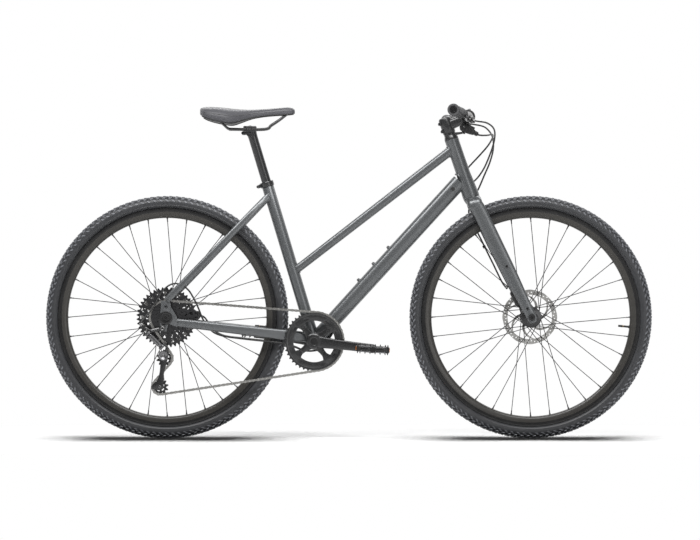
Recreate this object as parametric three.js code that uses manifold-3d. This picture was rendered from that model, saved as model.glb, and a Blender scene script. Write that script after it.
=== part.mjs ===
// Step-through fitness bicycle: low aluminium frame, rigid fork, one chainring and nine sprockets.
// Millimetres. +X is forward, +Y the rider's left, +Z up; the chain is on the right, at -Y.
// The origin lies on the ground, halfway between the axles, in the middle plane.

import * as THREE from 'three';
import { mergeVertices } from 'three/addons/utils/BufferGeometryUtils.js';
import Module from 'manifold-3d';

const wasm = await Module();
wasm.setup();

const { Vector2, Vector3 } = THREE;
const degree = Math.PI / 180;
const turn = 2 * Math.PI;

// Fits
const gap = 0.3;
const runningGap = 0.5;
const overrun = 4;
const weldDistance = 0.0001;
const levelShare = 0.999;
const steepShare = 0.3;

// Frame geometry
const wheelbase = 1056;
const tyreRadius = 353;
const bottomBracketDrop = 69.7;
const chainstayLength = 433;
const seatAngle = 73.25;
const headAngle = 71.1;
const forkOffset = 50;
const forkLength = 386;
const headTubeLength = 177;
const seatTubeLength = 478;
const hubWidthFront = 100;
const hubWidthRear = 135;

// Wheels
const tyreWidth = 42;
const beadRadius = 311;
const tyreWall = 3;
const rimBedRadius = 288;
const rimFlange = 6;
const rimWidth = 28;
const rimWall = 2.3;
const rimBedWidth = 14;
const spokeCount = 32;
const spokeCross = 3;
const spokeRadius = 1.1;
const spokeSlack = 2.4;
const flangeRadius = 30;
const flangeWidth = 4;
const flangeRim = 4;
const hubShellRadius = 13.5;
const hubEndRadius = 9.5;
const axleRadius = 6;
const axleHeadRadius = 9.5;
const axleHeadWidth = 4;
const flangeRightFront = -34;
const flangeLeftFront = 23;
const flangeRightRear = -20;
const flangeLeftRear = 31;

// Disc brakes
const rotorRadius = 80;
const rotorTrack = 14;
const rotorThickness = 1.8;
const rotorHubRadius = 27;
const rotorBoreRadius = 17;
const rotorArmWidth = 7;
const rotorArms = 6;
const sweepShare = 0.7;
const rotorInsetFront = 10.4;
const rotorInsetRear = 15.3;
const rotorSeatRadius = 21.5;

// Drive
const chainPitch = 12.7;
const chainLine = 42;
const sprocketTeeth = [11, 13, 15, 18, 21, 24, 28, 34, 42];
const chainSprocket = 5;
const sprocketSpacing = 4.34;
const sprocketThickness = 1.8;
const chainringTeeth = 42;
const pulleyTeeth = 11;
const pulleyThickness = 2.2;
const pulleyHubRadius = 7;
const rootDepth = 4.6;
const toothHeight = 3.2;
const valleyHalfWidth = 3.9;
const cassetteBodyRadius = 17;
const lockringRadius = 13.5;
const lockringWidth = 1.6;

// Chain
const rollerHalfLength = 3.1;
const plateHalfHeight = 3.9;
const innerPlateInside = 1.35;
const innerPlateOutside = 2.15;
const outerPlateInside = 2.1;
const outerPlateOutside = 2.95;

// Cranks, guard and pedals
const crankLength = 170;
const crankDroop = 6.8;
const crankWidth = 34;
const crankTipWidth = 26;
const crankThickness = 14;
const crankBossRadius = 20;
const crankBossRise = 1;
const spiderBossRadius = 24;
const crankInnerFace = 50;
const crankTipOffset = 12;
const crankBevel = 3.5;
const spindleRadius = 12;
const spindleRecessRadius = 10;
const spindleRecessDepth = 3;
const boltCircleRadius = 52;
const spiderArms = 4;
const spiderArmWidth = 15;
const spiderTabWidth = 19;
const spiderThickness = 3;
const chainringThickness = 2;
const ringInnerRadius = 60;
const guardRadius = 83;
const guardThickness = 3;
const ringBoltRadius = 5;
const tabReach = 7.5;
const pedalSpindleRadius = 4.5;
const pedalInner = 80;
const pedalWidth = 92;
const pedalLength = 92;
const pedalHeight = 24;
const pedalBar = 11;
const pedalBarrelRadius = 9.5;
const pedalTilt = 4;
const reflectorWidth = 58;
const reflectorThickness = 6;
const reflectorHeight = 15;

// Frame tubes
const headTubeTopRadius = 20.5;
const headTubeBaseRadius = 24.5;
const headTubeCollar = 12;
const headTubeSwell = 70;
const downTubeHeight = 46;
const downTubeWidth = 44;
const downTubeHeadWidth = 37;
const downTubeRise = 63;
const downTubeWall = 1.9;
const topTubeHeight = 28;
const topTubeSeatHeight = 24;
const topTubeWidth = 30;
const topTubeSeatWidth = 26;
const topTubeDrop = 25;
const topTubeStart = 210;
const topTubeWall = 1.7;
const seatTubeRadius = 17.2;
const seatpostRadius = 13.6;
const shellRadius = 21.5;
const shellWidth = 73;
const shellWall = 3.2;
const bottleBossDistance = 218;
const bottleBossSpacing = 64;
const bottleBossRadius = 5;
const bottleBossHeight = 4;
const cablePortDistance = 598;
const cablePortLength = 38;
const cablePortHeight = 22;
const cableExitDistance = 62;
const cableExitLength = 60;
const cableExitWidth = 24;
const chainstayDepth = 30;
const chainstayWidth = 17;
const chainstayRise = 9;
const chainstayEndDrop = 14.5;
const chainstayEndReach = 31;
const seatstayStart = 445;
const seatstayDepth = 20;
const seatstayWidth = 14;
const seatstayEndRise = 49;
const seatstayEndReach = 2;
const dropoutThickness = 6;
const dropoutHoleRise = 31;
const dropoutHoleRadius = 2.7;
const eyeletRadius = 6.2;
const eyeletHeight = 0.9;
const hangerReach = 9;
const hangerDrop = 31;
const collarHeight = 15;
const collarBelow = 9;
const collarWall = 3.2;
const collarLugLength = 17;
const collarLugWidth = 18;
const collarLugHeight = 10;
const collarSlit = 1.6;

// Fork
const steererRadius = 14.3;
const raceRadius = 17.2;
const raceHeight = 9;
const crownHeight = 34;
const crownDepth = 43;
const crownWidth = 90;
const legDepth = 42;
const legThickness = 19;
const legTopSpread = 36;
const legForward = 4;
const legOverhang = 17;

// Cockpit
const headsetCoverHeight = 13;
const spacerHeight = 7;
const stemClampHeight = 43;
const stemClampRadius = 18.6;
const stemCapHeight = 4;
const stemLength = 65;
const stemRise = 4;
const stemBodyHeight = 32;
const stemBodyWidth = 30;
const stemFrontWidth = 34.5;
const stemFrontHeight = 28.8;
const barClampWall = 5;
const barClampWidth = 42;
const stemBoltRadius = 4.6;
const stemBoltWidth = 30;
const stemBoltSpacing = 23;
const barClampRadius = 15.9;
const barRadius = 11.1;
const barHalfWidth = 318;
const barSweep = 52;
const barRise = 6;
const barBendStart = 28;
const barBendEnd = 85;
const gripLength = 128;
const gripRadius = 15.6;
const gripFlange = 17.2;
const gripFlangeWidth = 4;
const gripEndWall = 3;
const perchPosition = 178;
const perchWidth = 12;
const perchWall = 4.6;
const reservoirReach = 28;
const reservoirRadius = 9.5;
const reservoirEndRadius = 7.6;
const reservoirLength = 62;
const leverAngle = -31;
const leverPivotReach = 39;
const leverPivotRadius = 5.5;
const leverPivotOffset = 17;
const leverEarWall = 3;
const leverThickness = 11;
const leverLength = 92;
const leverTipReach = 60;
const leverBladeWidth = 8;
const shifterPosition = 150;
const shifterDrop = 43;
const shifterReach = 14;
const shifterLength = 50;
const shifterWidth = 34;
const shifterHeight = 25;
const shifterTilt = 28;
const shiftLeverLength = 36;
const shiftLeverWidth = 13;
const shiftLeverThickness = 4;

// Brake callipers
const calliperLength = 54;
const calliperWidth = 27;
const calliperHeight = 27;
const calliperReach = 67;
const frontCalliperTurn = 56;
const rearCalliperTurn = 5;
const rearCalliperLean = 5.75;
const calliperShift = 1.6;
const calliperRoom = 2;

// Saddle and post
const seatpostTop = 634;
const seatpostLength = 350;
const postHeadRadius = 15;
const postHeadWidth = 46;
const railRadius = 3.5;
const railSpread = 22;
const clampLength = 38;
const clampHeight = 19;
const clampForward = -3;
const knobReach = 36;
const knobRadius = 8.5;
const knobRootRadius = 10.5;
const railRise = 38;
const saddleHollow = 9;
const saddleLength = 275;
const saddleWidth = 156;
const saddleFront = -157;
const saddleTop = 963.5;
const saddleDip = 7.5;
const saddleWingDrop = 50;
const railHeight = 899;

// Rear derailleur
const knuckleRadius = 13;
const knuckleWidth = 22;
const mechLinkWidth = 17;
const mechLinkThickness = 6;
const cageThickness = 2;
const cageInside = 4.2;
const cageWidth = 20;
const cageLength = 84;
const cageTilt = 5;
const cageSearch = 40;
const searchSteps = 50;
const guideForward = 3;
const guideDrop = 7;
const mechPinAngle = 44;
const mechPinRadius = 2.4;
const mechPlate = 4;
const mechUpperReach = 42;
const mechUpperDrop = 15;
const mechUpperOut = 81;
const mechLowerReach = 5;
const mechLowerRise = 26;
const mechLowerOut = 63;
const mechBarrelRadius = 9;
const mechBarrelWidth = 16;
const mechArmRadius = 4.5;
const mechArmEndRadius = 5.9;
const mechUpperArmRadius = 6.3;
const mechElbowReach = 11.4;
const mechSkinHeight = 9;
const mechSkinWidth = 15.6;
const cagePinRadius = 4;
const pulleyBoltRadius = 2.5;
const housingStopReach = 16;
const housingStopRise = 22;
const stopRootRadius = 3.4;
const stopRadius = 4;
const cagePivotReach = 7.7;
const cagePivotDrop = 111;

// Hoses and housing
const hoseRadius = 2.5;

// Facets
const wheelSides = 28;
const guardSides = 24;
const shellSides = 16;
const tubeSides = 12;
const rodSides = 8;
const barSides = 8;
const staySides = 8;
const smallSides = 6;
const hoseSides = 5;
const rearHoseSteps = 31;
const housingSteps = 40;
const frontHoseSteps = 20;
const spokeSides = 3;

// Frame points
const rearAxle = new Vector3(-wheelbase / 2, 0, tyreRadius);
const frontAxle = new Vector3(wheelbase / 2, 0, tyreRadius);
const bracketReach = Math.sqrt(chainstayLength ** 2 - bottomBracketDrop ** 2);
const bracket = rearAxle.clone().add(new Vector3(bracketReach, 0, -bottomBracketDrop));
const seatUp = new Vector3(-Math.cos(seatAngle * degree), 0, Math.sin(seatAngle * degree));
const steerUp = new Vector3(-Math.cos(headAngle * degree), 0, Math.sin(headAngle * degree));
const steerForward = new Vector3(steerUp.z, 0, -steerUp.x);
const steerFoot = frontAxle.clone().addScaledVector(steerForward, -forkOffset);
const leftward = new Vector3(0, 1, 0);
const steerPoint = (height) => steerFoot.clone().addScaledVector(steerUp, height);
const seatPoint = (height) => bracket.clone().addScaledVector(seatUp, height);
const headTubeTop = forkLength + headTubeLength;

// Solids from three.js geometry
function signedVolume(points, triangles) {
  let sum = 0;
  const corner = [new Vector3(), new Vector3(), new Vector3()];
  for (let i = 0; i < triangles.length; i += 3) {
    corner.forEach((p, k) => p.fromArray(points, 3 * triangles[i + k]));
    sum += corner[0].dot(corner[1].clone().cross(corner[2]));
  }
  return sum;
}

function solidOf(geometry) {
  geometry.deleteAttribute('normal');
  geometry.deleteAttribute('uv');
  const welded = mergeVertices(geometry, weldDistance);
  const index = welded.index.array;
  const kept = [];
  for (let i = 0; i < index.length; i += 3) {
    const [a, b, c] = [index[i], index[i + 1], index[i + 2]];
    if (a !== b && b !== c && c !== a) kept.push(a, b, c);
  }
  const vertProperties = Float32Array.from(welded.attributes.position.array);
  const triVerts = Uint32Array.from(kept);
  if (signedVolume(vertProperties, triVerts) < 0) triVerts.reverse();
  return new wasm.Manifold(new wasm.Mesh({ numProp: 3, vertProperties, triVerts }));
}

function geometryOf(solid) {
  const mesh = solid.getMesh();
  const geometry = new THREE.BufferGeometry();
  geometry.setAttribute('position', new THREE.BufferAttribute(mesh.vertProperties, 3));
  geometry.setIndex(new THREE.BufferAttribute(mesh.triVerts, 1));
  geometry.computeVertexNormals();
  return geometry;
}

const join = (first, ...others) => others.reduce((sum, solid) => sum.add(solid), first);
const cut = (first, ...tools) => tools.reduce((rest, tool) => rest.subtract(tool), first);

function mirrored(solid) {
  const geometry = geometryOf(solid);
  geometry.scale(1, -1, 1);
  return solidOf(geometry);
}

// A polygon whose flats, not its corners, lie at the radius
const flatRadius = (radius, sides) => radius / Math.cos(Math.PI / sides);

// Stands a solid made about Y along a direction, the same on both sides of the middle plane
function standing(geometry, direction) {
  const upright = new Vector3(0, 0, 1);
  const near = Math.abs(direction.y) > levelShare ? upright : leftward;
  const side = near.clone().addScaledVector(direction, -near.dot(direction)).normalize();
  return geometry.applyMatrix4(
    new THREE.Matrix4().makeBasis(direction.clone().cross(side), direction, side));
}

function rod(from, to, radius, endRadius = radius, sides = rodSides) {
  const along = to.clone().sub(from);
  const geometry = new THREE.CylinderGeometry(endRadius, radius, along.length(), sides);
  standing(geometry, along.normalize());
  geometry.translate(...from.clone().add(to).multiplyScalar(0.5).toArray());
  return solidOf(geometry);
}

// A cutting rod whose flats lie at the radius, so that a rod of that radius turns in it
const flatRod = (from, to, radius, sides = smallSides) => rod(
  from, to, flatRadius(radius, sides), flatRadius(radius, sides), sides);

// A rod across the bicycle, from one Y to another
function crossRod(x, z, yFrom, yTo, radius, sides = rodSides) {
  return rod(new Vector3(x, yFrom, z), new Vector3(x, yTo, z), radius, radius, sides);
}

// Turned about the Y axis: the profile is a list of [radius, y]
function turned(profile, sides, phase = 0) {
  const points = profile.map(([radius, y]) => new Vector2(radius, y));
  if (profile[0][0] > 0) points.push(points[0].clone());
  return solidOf(new THREE.LatheGeometry(points, sides, phase));
}

// Turned about the steering axis: the profile is a list of [radius, height above the foot]
function turnedOnSteerer(profile, sides = tubeSides) {
  const points = profile.map(([radius, height]) => new Vector2(radius, height));
  if (profile[0][0] > 0) points.push(points[0].clone());
  const geometry = new THREE.LatheGeometry(points, sides);
  standing(geometry, steerUp);
  geometry.translate(...steerFoot.toArray());
  return solidOf(geometry);
}

function polygon(points) {
  return new THREE.Shape(points.map(([x, z]) => new Vector2(x, z)));
}

function circlePoints(radius, sides, x = 0, z = 0, phase = 0) {
  const angles = Array.from({ length: sides }, (_, i) => phase + turn * i / sides);
  return angles.map((angle) => [x + radius * Math.cos(angle), z + radius * Math.sin(angle)]);
}

// Flat points turned by an angle and set about a centre
function turnedAbout(centre, angle, points) {
  return points.map(([x, z]) => [
    centre.x + x * Math.cos(angle) - z * Math.sin(angle),
    centre.z + x * Math.sin(angle) + z * Math.cos(angle)]);
}

// A plate in the XZ plane between two values of Y; grow swells it on every side
function plate(shape, yLow, yHigh, grow = 0) {
  const depth = yHigh - yLow;
  const bevel = { bevelEnabled: grow > 0, bevelThickness: grow, bevelSize: grow, bevelSegments: 1 };
  const geometry = new THREE.ExtrudeGeometry(shape, { depth, steps: 1, curveSegments: 1, ...bevel });
  const basis = new THREE.Matrix4().makeBasis(
    new Vector3(1, 0, 0), new Vector3(0, 0, 1), new Vector3(0, -1, 0));
  geometry.applyMatrix4(basis);
  geometry.translate(0, yHigh, 0);
  return solidOf(geometry);
}

// A box with its long side along a direction in the XZ plane
function bar(centre, angle, length, width, height) {
  const geometry = new THREE.BoxGeometry(length, width, height);
  geometry.rotateY(-angle);
  geometry.translate(...centre.toArray());
  return solidOf(geometry);
}

// A closed skin over rings of equal count, with a fan at each end
function loft(rings) {
  const sides = rings[0].length;
  const positions = rings.flat().flatMap((point) => point.toArray());
  const index = [];
  for (let r = 0; r + 1 < rings.length; r += 1) {
    for (let i = 0; i < sides; i += 1) {
      const a = r * sides + i;
      const b = r * sides + (i + 1) % sides;
      index.push(a, b, a + sides, b, b + sides, a + sides);
    }
  }
  const last = (rings.length - 1) * sides;
  for (let i = 1; i + 1 < sides; i += 1) {
    index.push(0, i + 1, i, last, last + i, last + i + 1);
  }
  const geometry = new THREE.BufferGeometry();
  geometry.setAttribute('position', new THREE.Float32BufferAttribute(positions, 3));
  geometry.setIndex(index);
  return solidOf(geometry);
}

function directionsAlong(points) {
  return points.map((_, i) => {
    const before = points[Math.max(i - 1, 0)];
    const after = points[Math.min(i + 1, points.length - 1)];
    return after.clone().sub(before).normalize();
  });
}

// A rounded section: round is 1 for an ellipse and less for squarer corners
function section(centre, side, up, width, height, sides, round = 1) {
  return Array.from({ length: sides }, (_, i) => {
    const angle = turn * (i + 0.5) / sides;
    const across = Math.sign(Math.cos(angle)) * Math.abs(Math.cos(angle)) ** round;
    const rise = Math.sign(Math.sin(angle)) * Math.abs(Math.sin(angle)) ** round;
    return centre.clone().addScaledVector(side, across * width / 2).addScaledVector(up, rise * height / 2);
  });
}

// A tube of changing section: each station has at, width and height
function shapedTube(stations, { grow = 0, sides = rodSides, round = 0.8 } = {}) {
  const directions = directionsAlong(stations.map((station) => station.at));
  return loft(stations.map(({ at, width, height }, i) => {
    const side = leftward.clone().addScaledVector(directions[i], -directions[i].y).normalize();
    const up = directions[i].clone().cross(side);
    return section(at, side, up, width + 2 * grow, height + 2 * grow, sides, round);
  }));
}

// A round tube along points, its frames carried from ring to ring
function roundTube(points, radii, sides) {
  const directions = directionsAlong(points);
  let side = new Vector3(0, 0, 1).cross(directions[0]);
  if (side.length() < steepShare) side = new Vector3(1, 0, 0).cross(directions[0]);
  return loft(points.map((point, i) => {
    side.addScaledVector(directions[i], -side.dot(directions[i])).normalize();
    const up = directions[i].clone().cross(side);
    const radius = Array.isArray(radii) ? radii[i] : radii;
    return section(point, side, up, 2 * radius, 2 * radius, sides);
  }));
}

// Scene graph helpers
const bicycle = new THREE.Group();
bicycle.name = 'step_through_bike';

function finish(color, roughness, metalness) {
  return new THREE.MeshStandardMaterial({ color, roughness, metalness });
}

const satinGrey = () => finish(0x55585b, 0.42, 0.35);
const satinBlack = () => finish(0x1c1d1f, 0.5, 0.3);
const blackAlloy = () => finish(0x18191b, 0.38, 0.7);
const blackPlastic = () => finish(0x1a1a1c, 0.62, 0);
const rubber = () => finish(0x202022, 0.85, 0);
const steel = () => finish(0xa8a9ab, 0.32, 0.95);
const blackSteel = () => finish(0x2b2b2d, 0.4, 0.9);

function groupAt(position, parent = bicycle) {
  const group = new THREE.Group();
  group.position.copy(position);
  parent.add(group);
  return group;
}

function addPiece(name, solid, material, parent = bicycle) {
  const mesh = new THREE.Mesh(geometryOf(solid), material);
  mesh.name = name;
  parent.add(mesh);
  return mesh;
}

// Tyre, rim, hub with spokes, and rotor, each turned about the axle at the origin
const wheelPhase = Math.PI / wheelSides;
const wheelRing = (profile) => turned(
  profile.map(([radius, y]) => [flatRadius(radius, wheelSides), y]), wheelSides, wheelPhase);
const bothSides = (half) => [...half, ...half.slice().reverse().map(([radius, y]) => [radius, -y])];

// Half the rim's inside width at a radius, from its floor out to the flange
function rimInside(radius) {
  const floor = rimBedRadius + rimWall;
  const share = (radius - floor) / (beadRadius + rimFlange - floor);
  const narrow = rimBedWidth / 2 - rimWall;
  return narrow + share * (rimWidth / 2 - rimWall - narrow);
}

function tyre() {
  const height = tyreRadius - beadRadius;
  const flange = beadRadius + rimFlange;
  const outerShares = [[1, 0.3], [0.88, 0.8], [0.48, 1]];
  const outer = outerShares.map(([rise, across]) => [beadRadius + rise * height, across * tyreWidth / 2]);
  const outerHalf = [
    ...outer,
    [flange + gap, rimInside(flange) - gap],
    [beadRadius, rimInside(beadRadius) - gap]];
  const innerHalf = [
    [beadRadius, rimInside(beadRadius) - gap - tyreWall],
    [beadRadius + height * 0.72, tyreWidth / 2 - 2 * tyreWall]];
  const profile = [
    ...outerHalf,
    ...innerHalf,
    ...bothSides([...innerHalf].reverse()).slice(innerHalf.length),
    ...bothSides(outerHalf).slice(outerHalf.length)];
  return wheelRing(profile);
}

function rim() {
  const flange = beadRadius + rimFlange;
  const outerHalf = [
    [flange, rimWidth / 2],
    [rimBedRadius, rimBedWidth / 2]];
  const innerHalf = [
    [rimBedRadius + rimWall, rimInside(rimBedRadius + rimWall)],
    [flange, rimInside(flange)]];
  return wheelRing([
    ...outerHalf,
    ...bothSides(outerHalf).slice(outerHalf.length),
    ...innerHalf.slice().reverse().map(([radius, y]) => [radius, -y]),
    ...innerHalf]);
}

function spokes(flangeRight, flangeLeft) {
  const step = turn / spokeCount;
  const list = [];
  for (let i = 0; i < spokeCount; i += 1) {
    const left = i % 2 === 1;
    const leading = Math.floor(i / 2) % 2 === 1 ? 1 : -1;
    const rimAngle = i * step;
    const hubAngle = rimAngle - leading * spokeCross * 2 * step;
    const hubY = (left ? flangeLeft : flangeRight) + leading * spokeSlack;
    const hole = flangeRadius - flangeRim;
    const start = new Vector3(hole * Math.sin(hubAngle), hubY, hole * Math.cos(hubAngle));
    const end = new Vector3(rimBedRadius * Math.sin(rimAngle), 0, rimBedRadius * Math.cos(rimAngle));
    const along = end.clone().sub(start);
    end.addScaledVector(along.normalize(), -gap);
    list.push(rod(start, end, spokeRadius, spokeRadius, spokeSides));
  }
  return list;
}

function hub(rightFace, leftFace, flangeRight, flangeLeft, rotorFace) {
  const bore = flatRadius(axleRadius + gap, rodSides);
  const half = flangeWidth / 2;
  const shoulder = spokeSlack + spokeRadius + half;
  const profile = [
    [bore, -rightFace], [hubEndRadius, -rightFace], [hubEndRadius, flangeRight - shoulder],
    [flangeRadius, flangeRight - shoulder], [flangeRadius, flangeRight + shoulder],
    [hubShellRadius, flangeRight + 2 * shoulder], [hubShellRadius, flangeLeft - 2 * shoulder],
    [flangeRadius, flangeLeft - shoulder], [flangeRadius, flangeLeft + shoulder],
    [rotorSeatRadius, rotorFace], [hubEndRadius, rotorFace], [hubEndRadius, leftFace],
    [bore, leftFace]];
  return turned(profile, rodSides);
}

// A disc with a waved edge, a braking track and swept arms round its bore
function rotor() {
  const shape = polygon(circlePoints(rotorRadius, wheelSides));
  shape.holes.push(new THREE.Path(
    circlePoints(rotorBoreRadius, rodSides).map(([x, z]) => new Vector2(x, z))));
  const inner = rotorHubRadius;
  const outer = rotorRadius - rotorTrack;
  const sector = turn / rotorArms;
  const sweep = sector * sweepShare;
  for (let i = 0; i < rotorArms; i += 1) {
    const start = i * sector;
    const at = (radius, angle) => new Vector2(radius * Math.cos(angle), radius * Math.sin(angle));
    const armInner = rotorArmWidth / inner;
    const armOuter = rotorArmWidth / outer;
    const span = sector - armOuter;
    shape.holes.push(new THREE.Path([
      at(inner, start), at(inner, start + (sector - armInner) / 2), at(inner, start + sector - armInner),
      at(outer, start + sweep + span), at(outer, start + sweep + span / 2), at(outer, start + sweep)]));
  }
  return plate(shape, -rotorThickness / 2, rotorThickness / 2);
}

function wheel(name, axle, rightFace, leftFace, flangeRight, flangeLeft, rotorY) {
  const group = groupAt(axle);
  const rotorFace = rotorY - rotorThickness / 2 - gap;
  addPiece(`${name}_tyre`, tyre(), rubber(), group);
  addPiece(`${name}_rim`, rim(), satinBlack(), group);
  const body = hub(rightFace - gap, leftFace - gap, flangeRight, flangeLeft, rotorFace);
  addPiece(`${name}_hub`, join(body, ...spokes(flangeRight, flangeLeft)), blackAlloy(), group);
  addPiece(`${name}_rotor`, rotor(), steel(), group).position.y = rotorY;
}

const rotorYFront = hubWidthFront / 2 - rotorInsetFront;
const rotorYRear = hubWidthRear / 2 - rotorInsetRear;
const cassetteOuterFace = -chainLine - chainSprocket * sprocketSpacing;
const cassetteInnerFace = cassetteOuterFace + (sprocketTeeth.length - 1) * sprocketSpacing
  + sprocketThickness / 2;
wheel(
  'front', frontAxle, hubWidthFront / 2, hubWidthFront / 2, flangeRightFront, flangeLeftFront, rotorYFront);
wheel('rear', rearAxle, -cassetteInnerFace, hubWidthRear / 2, flangeRightRear, flangeLeftRear, rotorYRear);

// Toothed wheels: the valleys hold the rollers on the pitch circle
const pitchRadius = (teeth) => chainPitch / 2 / Math.sin(Math.PI / teeth);

function toothOutline(teeth, phase, engaged) {
  const pitch = pitchRadius(teeth);
  const root = pitch - rootDepth;
  const tip = pitch + toothHeight;
  const valley = valleyHalfWidth / root;
  const points = [];
  for (let i = 0; i < teeth; i += 1) {
    const centre = phase + turn * i / teeth;
    const half = turn / teeth / 2;
    const valleyAngles = engaged ? [centre - valley, centre + valley] : [centre];
    valleyAngles.forEach((angle) => points.push([root * Math.cos(angle), root * Math.sin(angle)]));
    points.push([tip * Math.cos(centre + half), tip * Math.sin(centre + half)]);
  }
  return points;
}

function toothedDisc(teeth, phase, engaged, thickness, y = 0) {
  return plate(polygon(toothOutline(teeth, phase, engaged)), y - thickness / 2, y + thickness / 2);
}

// Derailleur places: the hanger bolt, the cage pivot and the two pulleys
const hangerBolt = new Vector3(rearAxle.x - hangerReach, 0, rearAxle.z - hangerDrop);
const cagePivot = rearAxle.clone().add(new Vector3(-cagePivotReach, 0, -cagePivotDrop));
const guideCentre = cagePivot.clone().add(new Vector3(guideForward, 0, -guideDrop));
const sprocketRadius = pitchRadius(sprocketTeeth[chainSprocket]);
const chainringRadius = pitchRadius(chainringTeeth);
const pulleyRadius = pitchRadius(pulleyTeeth);

// A run of the chain between two circles, each with its sense: +1 clockwise seen from the right
function tangentRun(a, b) {
  const across = new Vector2(b.x - a.x, b.z - a.z);
  const distance = across.length();
  const heading = Math.atan2(across.y, across.x);
  const lift = Math.asin((a.sense * a.radius - b.sense * b.radius) / distance);
  const normal = heading + Math.PI / 2 - lift;
  const touch = (circle) => {
    const angle = circle.sense > 0 ? normal : normal + Math.PI;
    const [x, z] = [circle.x + circle.radius * Math.cos(angle), circle.z + circle.radius * Math.sin(angle)];
    return { angle, x, z };
  };
  return { from: touch(a), to: touch(b) };
}

// The circles in the order that the chain meets them, moving forward along the top run
function chainCircles(cageAngle) {
  const tension = guideCentre.clone().add(
    new Vector3(cageLength * Math.sin(cageAngle), 0, -cageLength * Math.cos(cageAngle)));
  return [
    { x: rearAxle.x, z: rearAxle.z, radius: sprocketRadius, sense: 1, teeth: sprocketTeeth[chainSprocket] },
    { x: bracket.x, z: bracket.z, radius: chainringRadius, sense: 1, teeth: chainringTeeth },
    { x: tension.x, z: tension.z, radius: pulleyRadius, sense: 1, teeth: pulleyTeeth },
    { x: guideCentre.x, z: guideCentre.z, radius: pulleyRadius, sense: -1, teeth: pulleyTeeth }];
}

function chainStretches(cageAngle) {
  const circles = chainCircles(cageAngle);
  const runs = circles.map((circle, i) => tangentRun(circle, circles[(i + 1) % circles.length]));
  return circles.flatMap((circle, i) => {
    const arrive = runs[(i + circles.length - 1) % circles.length].to;
    const { from, to } = runs[i];
    const wrap = (((circle.sense * (arrive.angle - from.angle)) % turn) + turn) % turn;
    const straight = Math.hypot(to.x - from.x, to.z - from.z);
    return [
      { circle, start: arrive.angle, links: wrap * circle.teeth / turn },
      { from, to, links: straight / chainPitch }];
  });
}

const countLinks = (parts) => parts.reduce((sum, part) => sum + part.links, 0);
const linkTotal = (angle) => countLinks(chainStretches(angle));

// The cage swings until the chain is a whole, even number of links
const linkCount = 2 * Math.round(linkTotal(-cageTilt * degree) / 2);
function settledCage() {
  let low = -(cageTilt + cageSearch) * degree;
  let high = (cageSearch - cageTilt) * degree;
  const rising = linkTotal(high) > linkTotal(low);
  for (let i = 0; i < searchSteps; i += 1) {
    const middle = (low + high) / 2;
    if ((linkTotal(middle) > linkCount) === rising) high = middle;
    else low = middle;
  }
  return (low + high) / 2;
}
const cageAngle = settledCage();
const stretches = chainStretches(cageAngle);
const wheelOrder = { sprocket: 0, chainring: 1, tension: 2, guide: 3 };
const tensionCircle = chainCircles(cageAngle)[wheelOrder.tension];
const tensionCentre = new Vector3(tensionCircle.x, 0, tensionCircle.z);

function chainPoint(link) {
  let left = link;
  for (const part of stretches) {
    if (left <= part.links) {
      if (part.circle) {
        const { x, z, radius, sense, teeth } = part.circle;
        const angle = part.start - sense * left * turn / teeth;
        return new Vector3(x + radius * Math.cos(angle), 0, z + radius * Math.sin(angle));
      }
      const share = left / part.links;
      return new Vector3(
        part.from.x + share * (part.to.x - part.from.x), 0, part.from.z + share * (part.to.z - part.from.z));
    }
    left -= part.links;
  }
  return chainPoint(0);
}
const pins = Array.from({ length: linkCount }, (_, i) => chainPoint(i));

// The angle of the first pin that lies on a circle sets the phase of its teeth
function toothPhase(index) {
  const before = countLinks(stretches.slice(0, 2 * index));
  const { circle } = stretches[2 * index];
  const pin = pins[Math.ceil(before) % linkCount];
  return Math.atan2(pin.z - circle.z, pin.x - circle.x);
}

// Links that lie on a toothed wheel, and their neighbours, are open between their side plates
function openLinks() {
  const open = new Array(linkCount).fill(false);
  let start = 0;
  stretches.forEach((part) => {
    if (part.circle) {
      const last = Math.ceil(start + part.links) + 1;
      for (let i = Math.floor(start) - 2; i <= last; i += 1) {
        open[(i + linkCount) % linkCount] = true;
      }
    }
    start += part.links;
  });
  return open;
}

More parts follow.
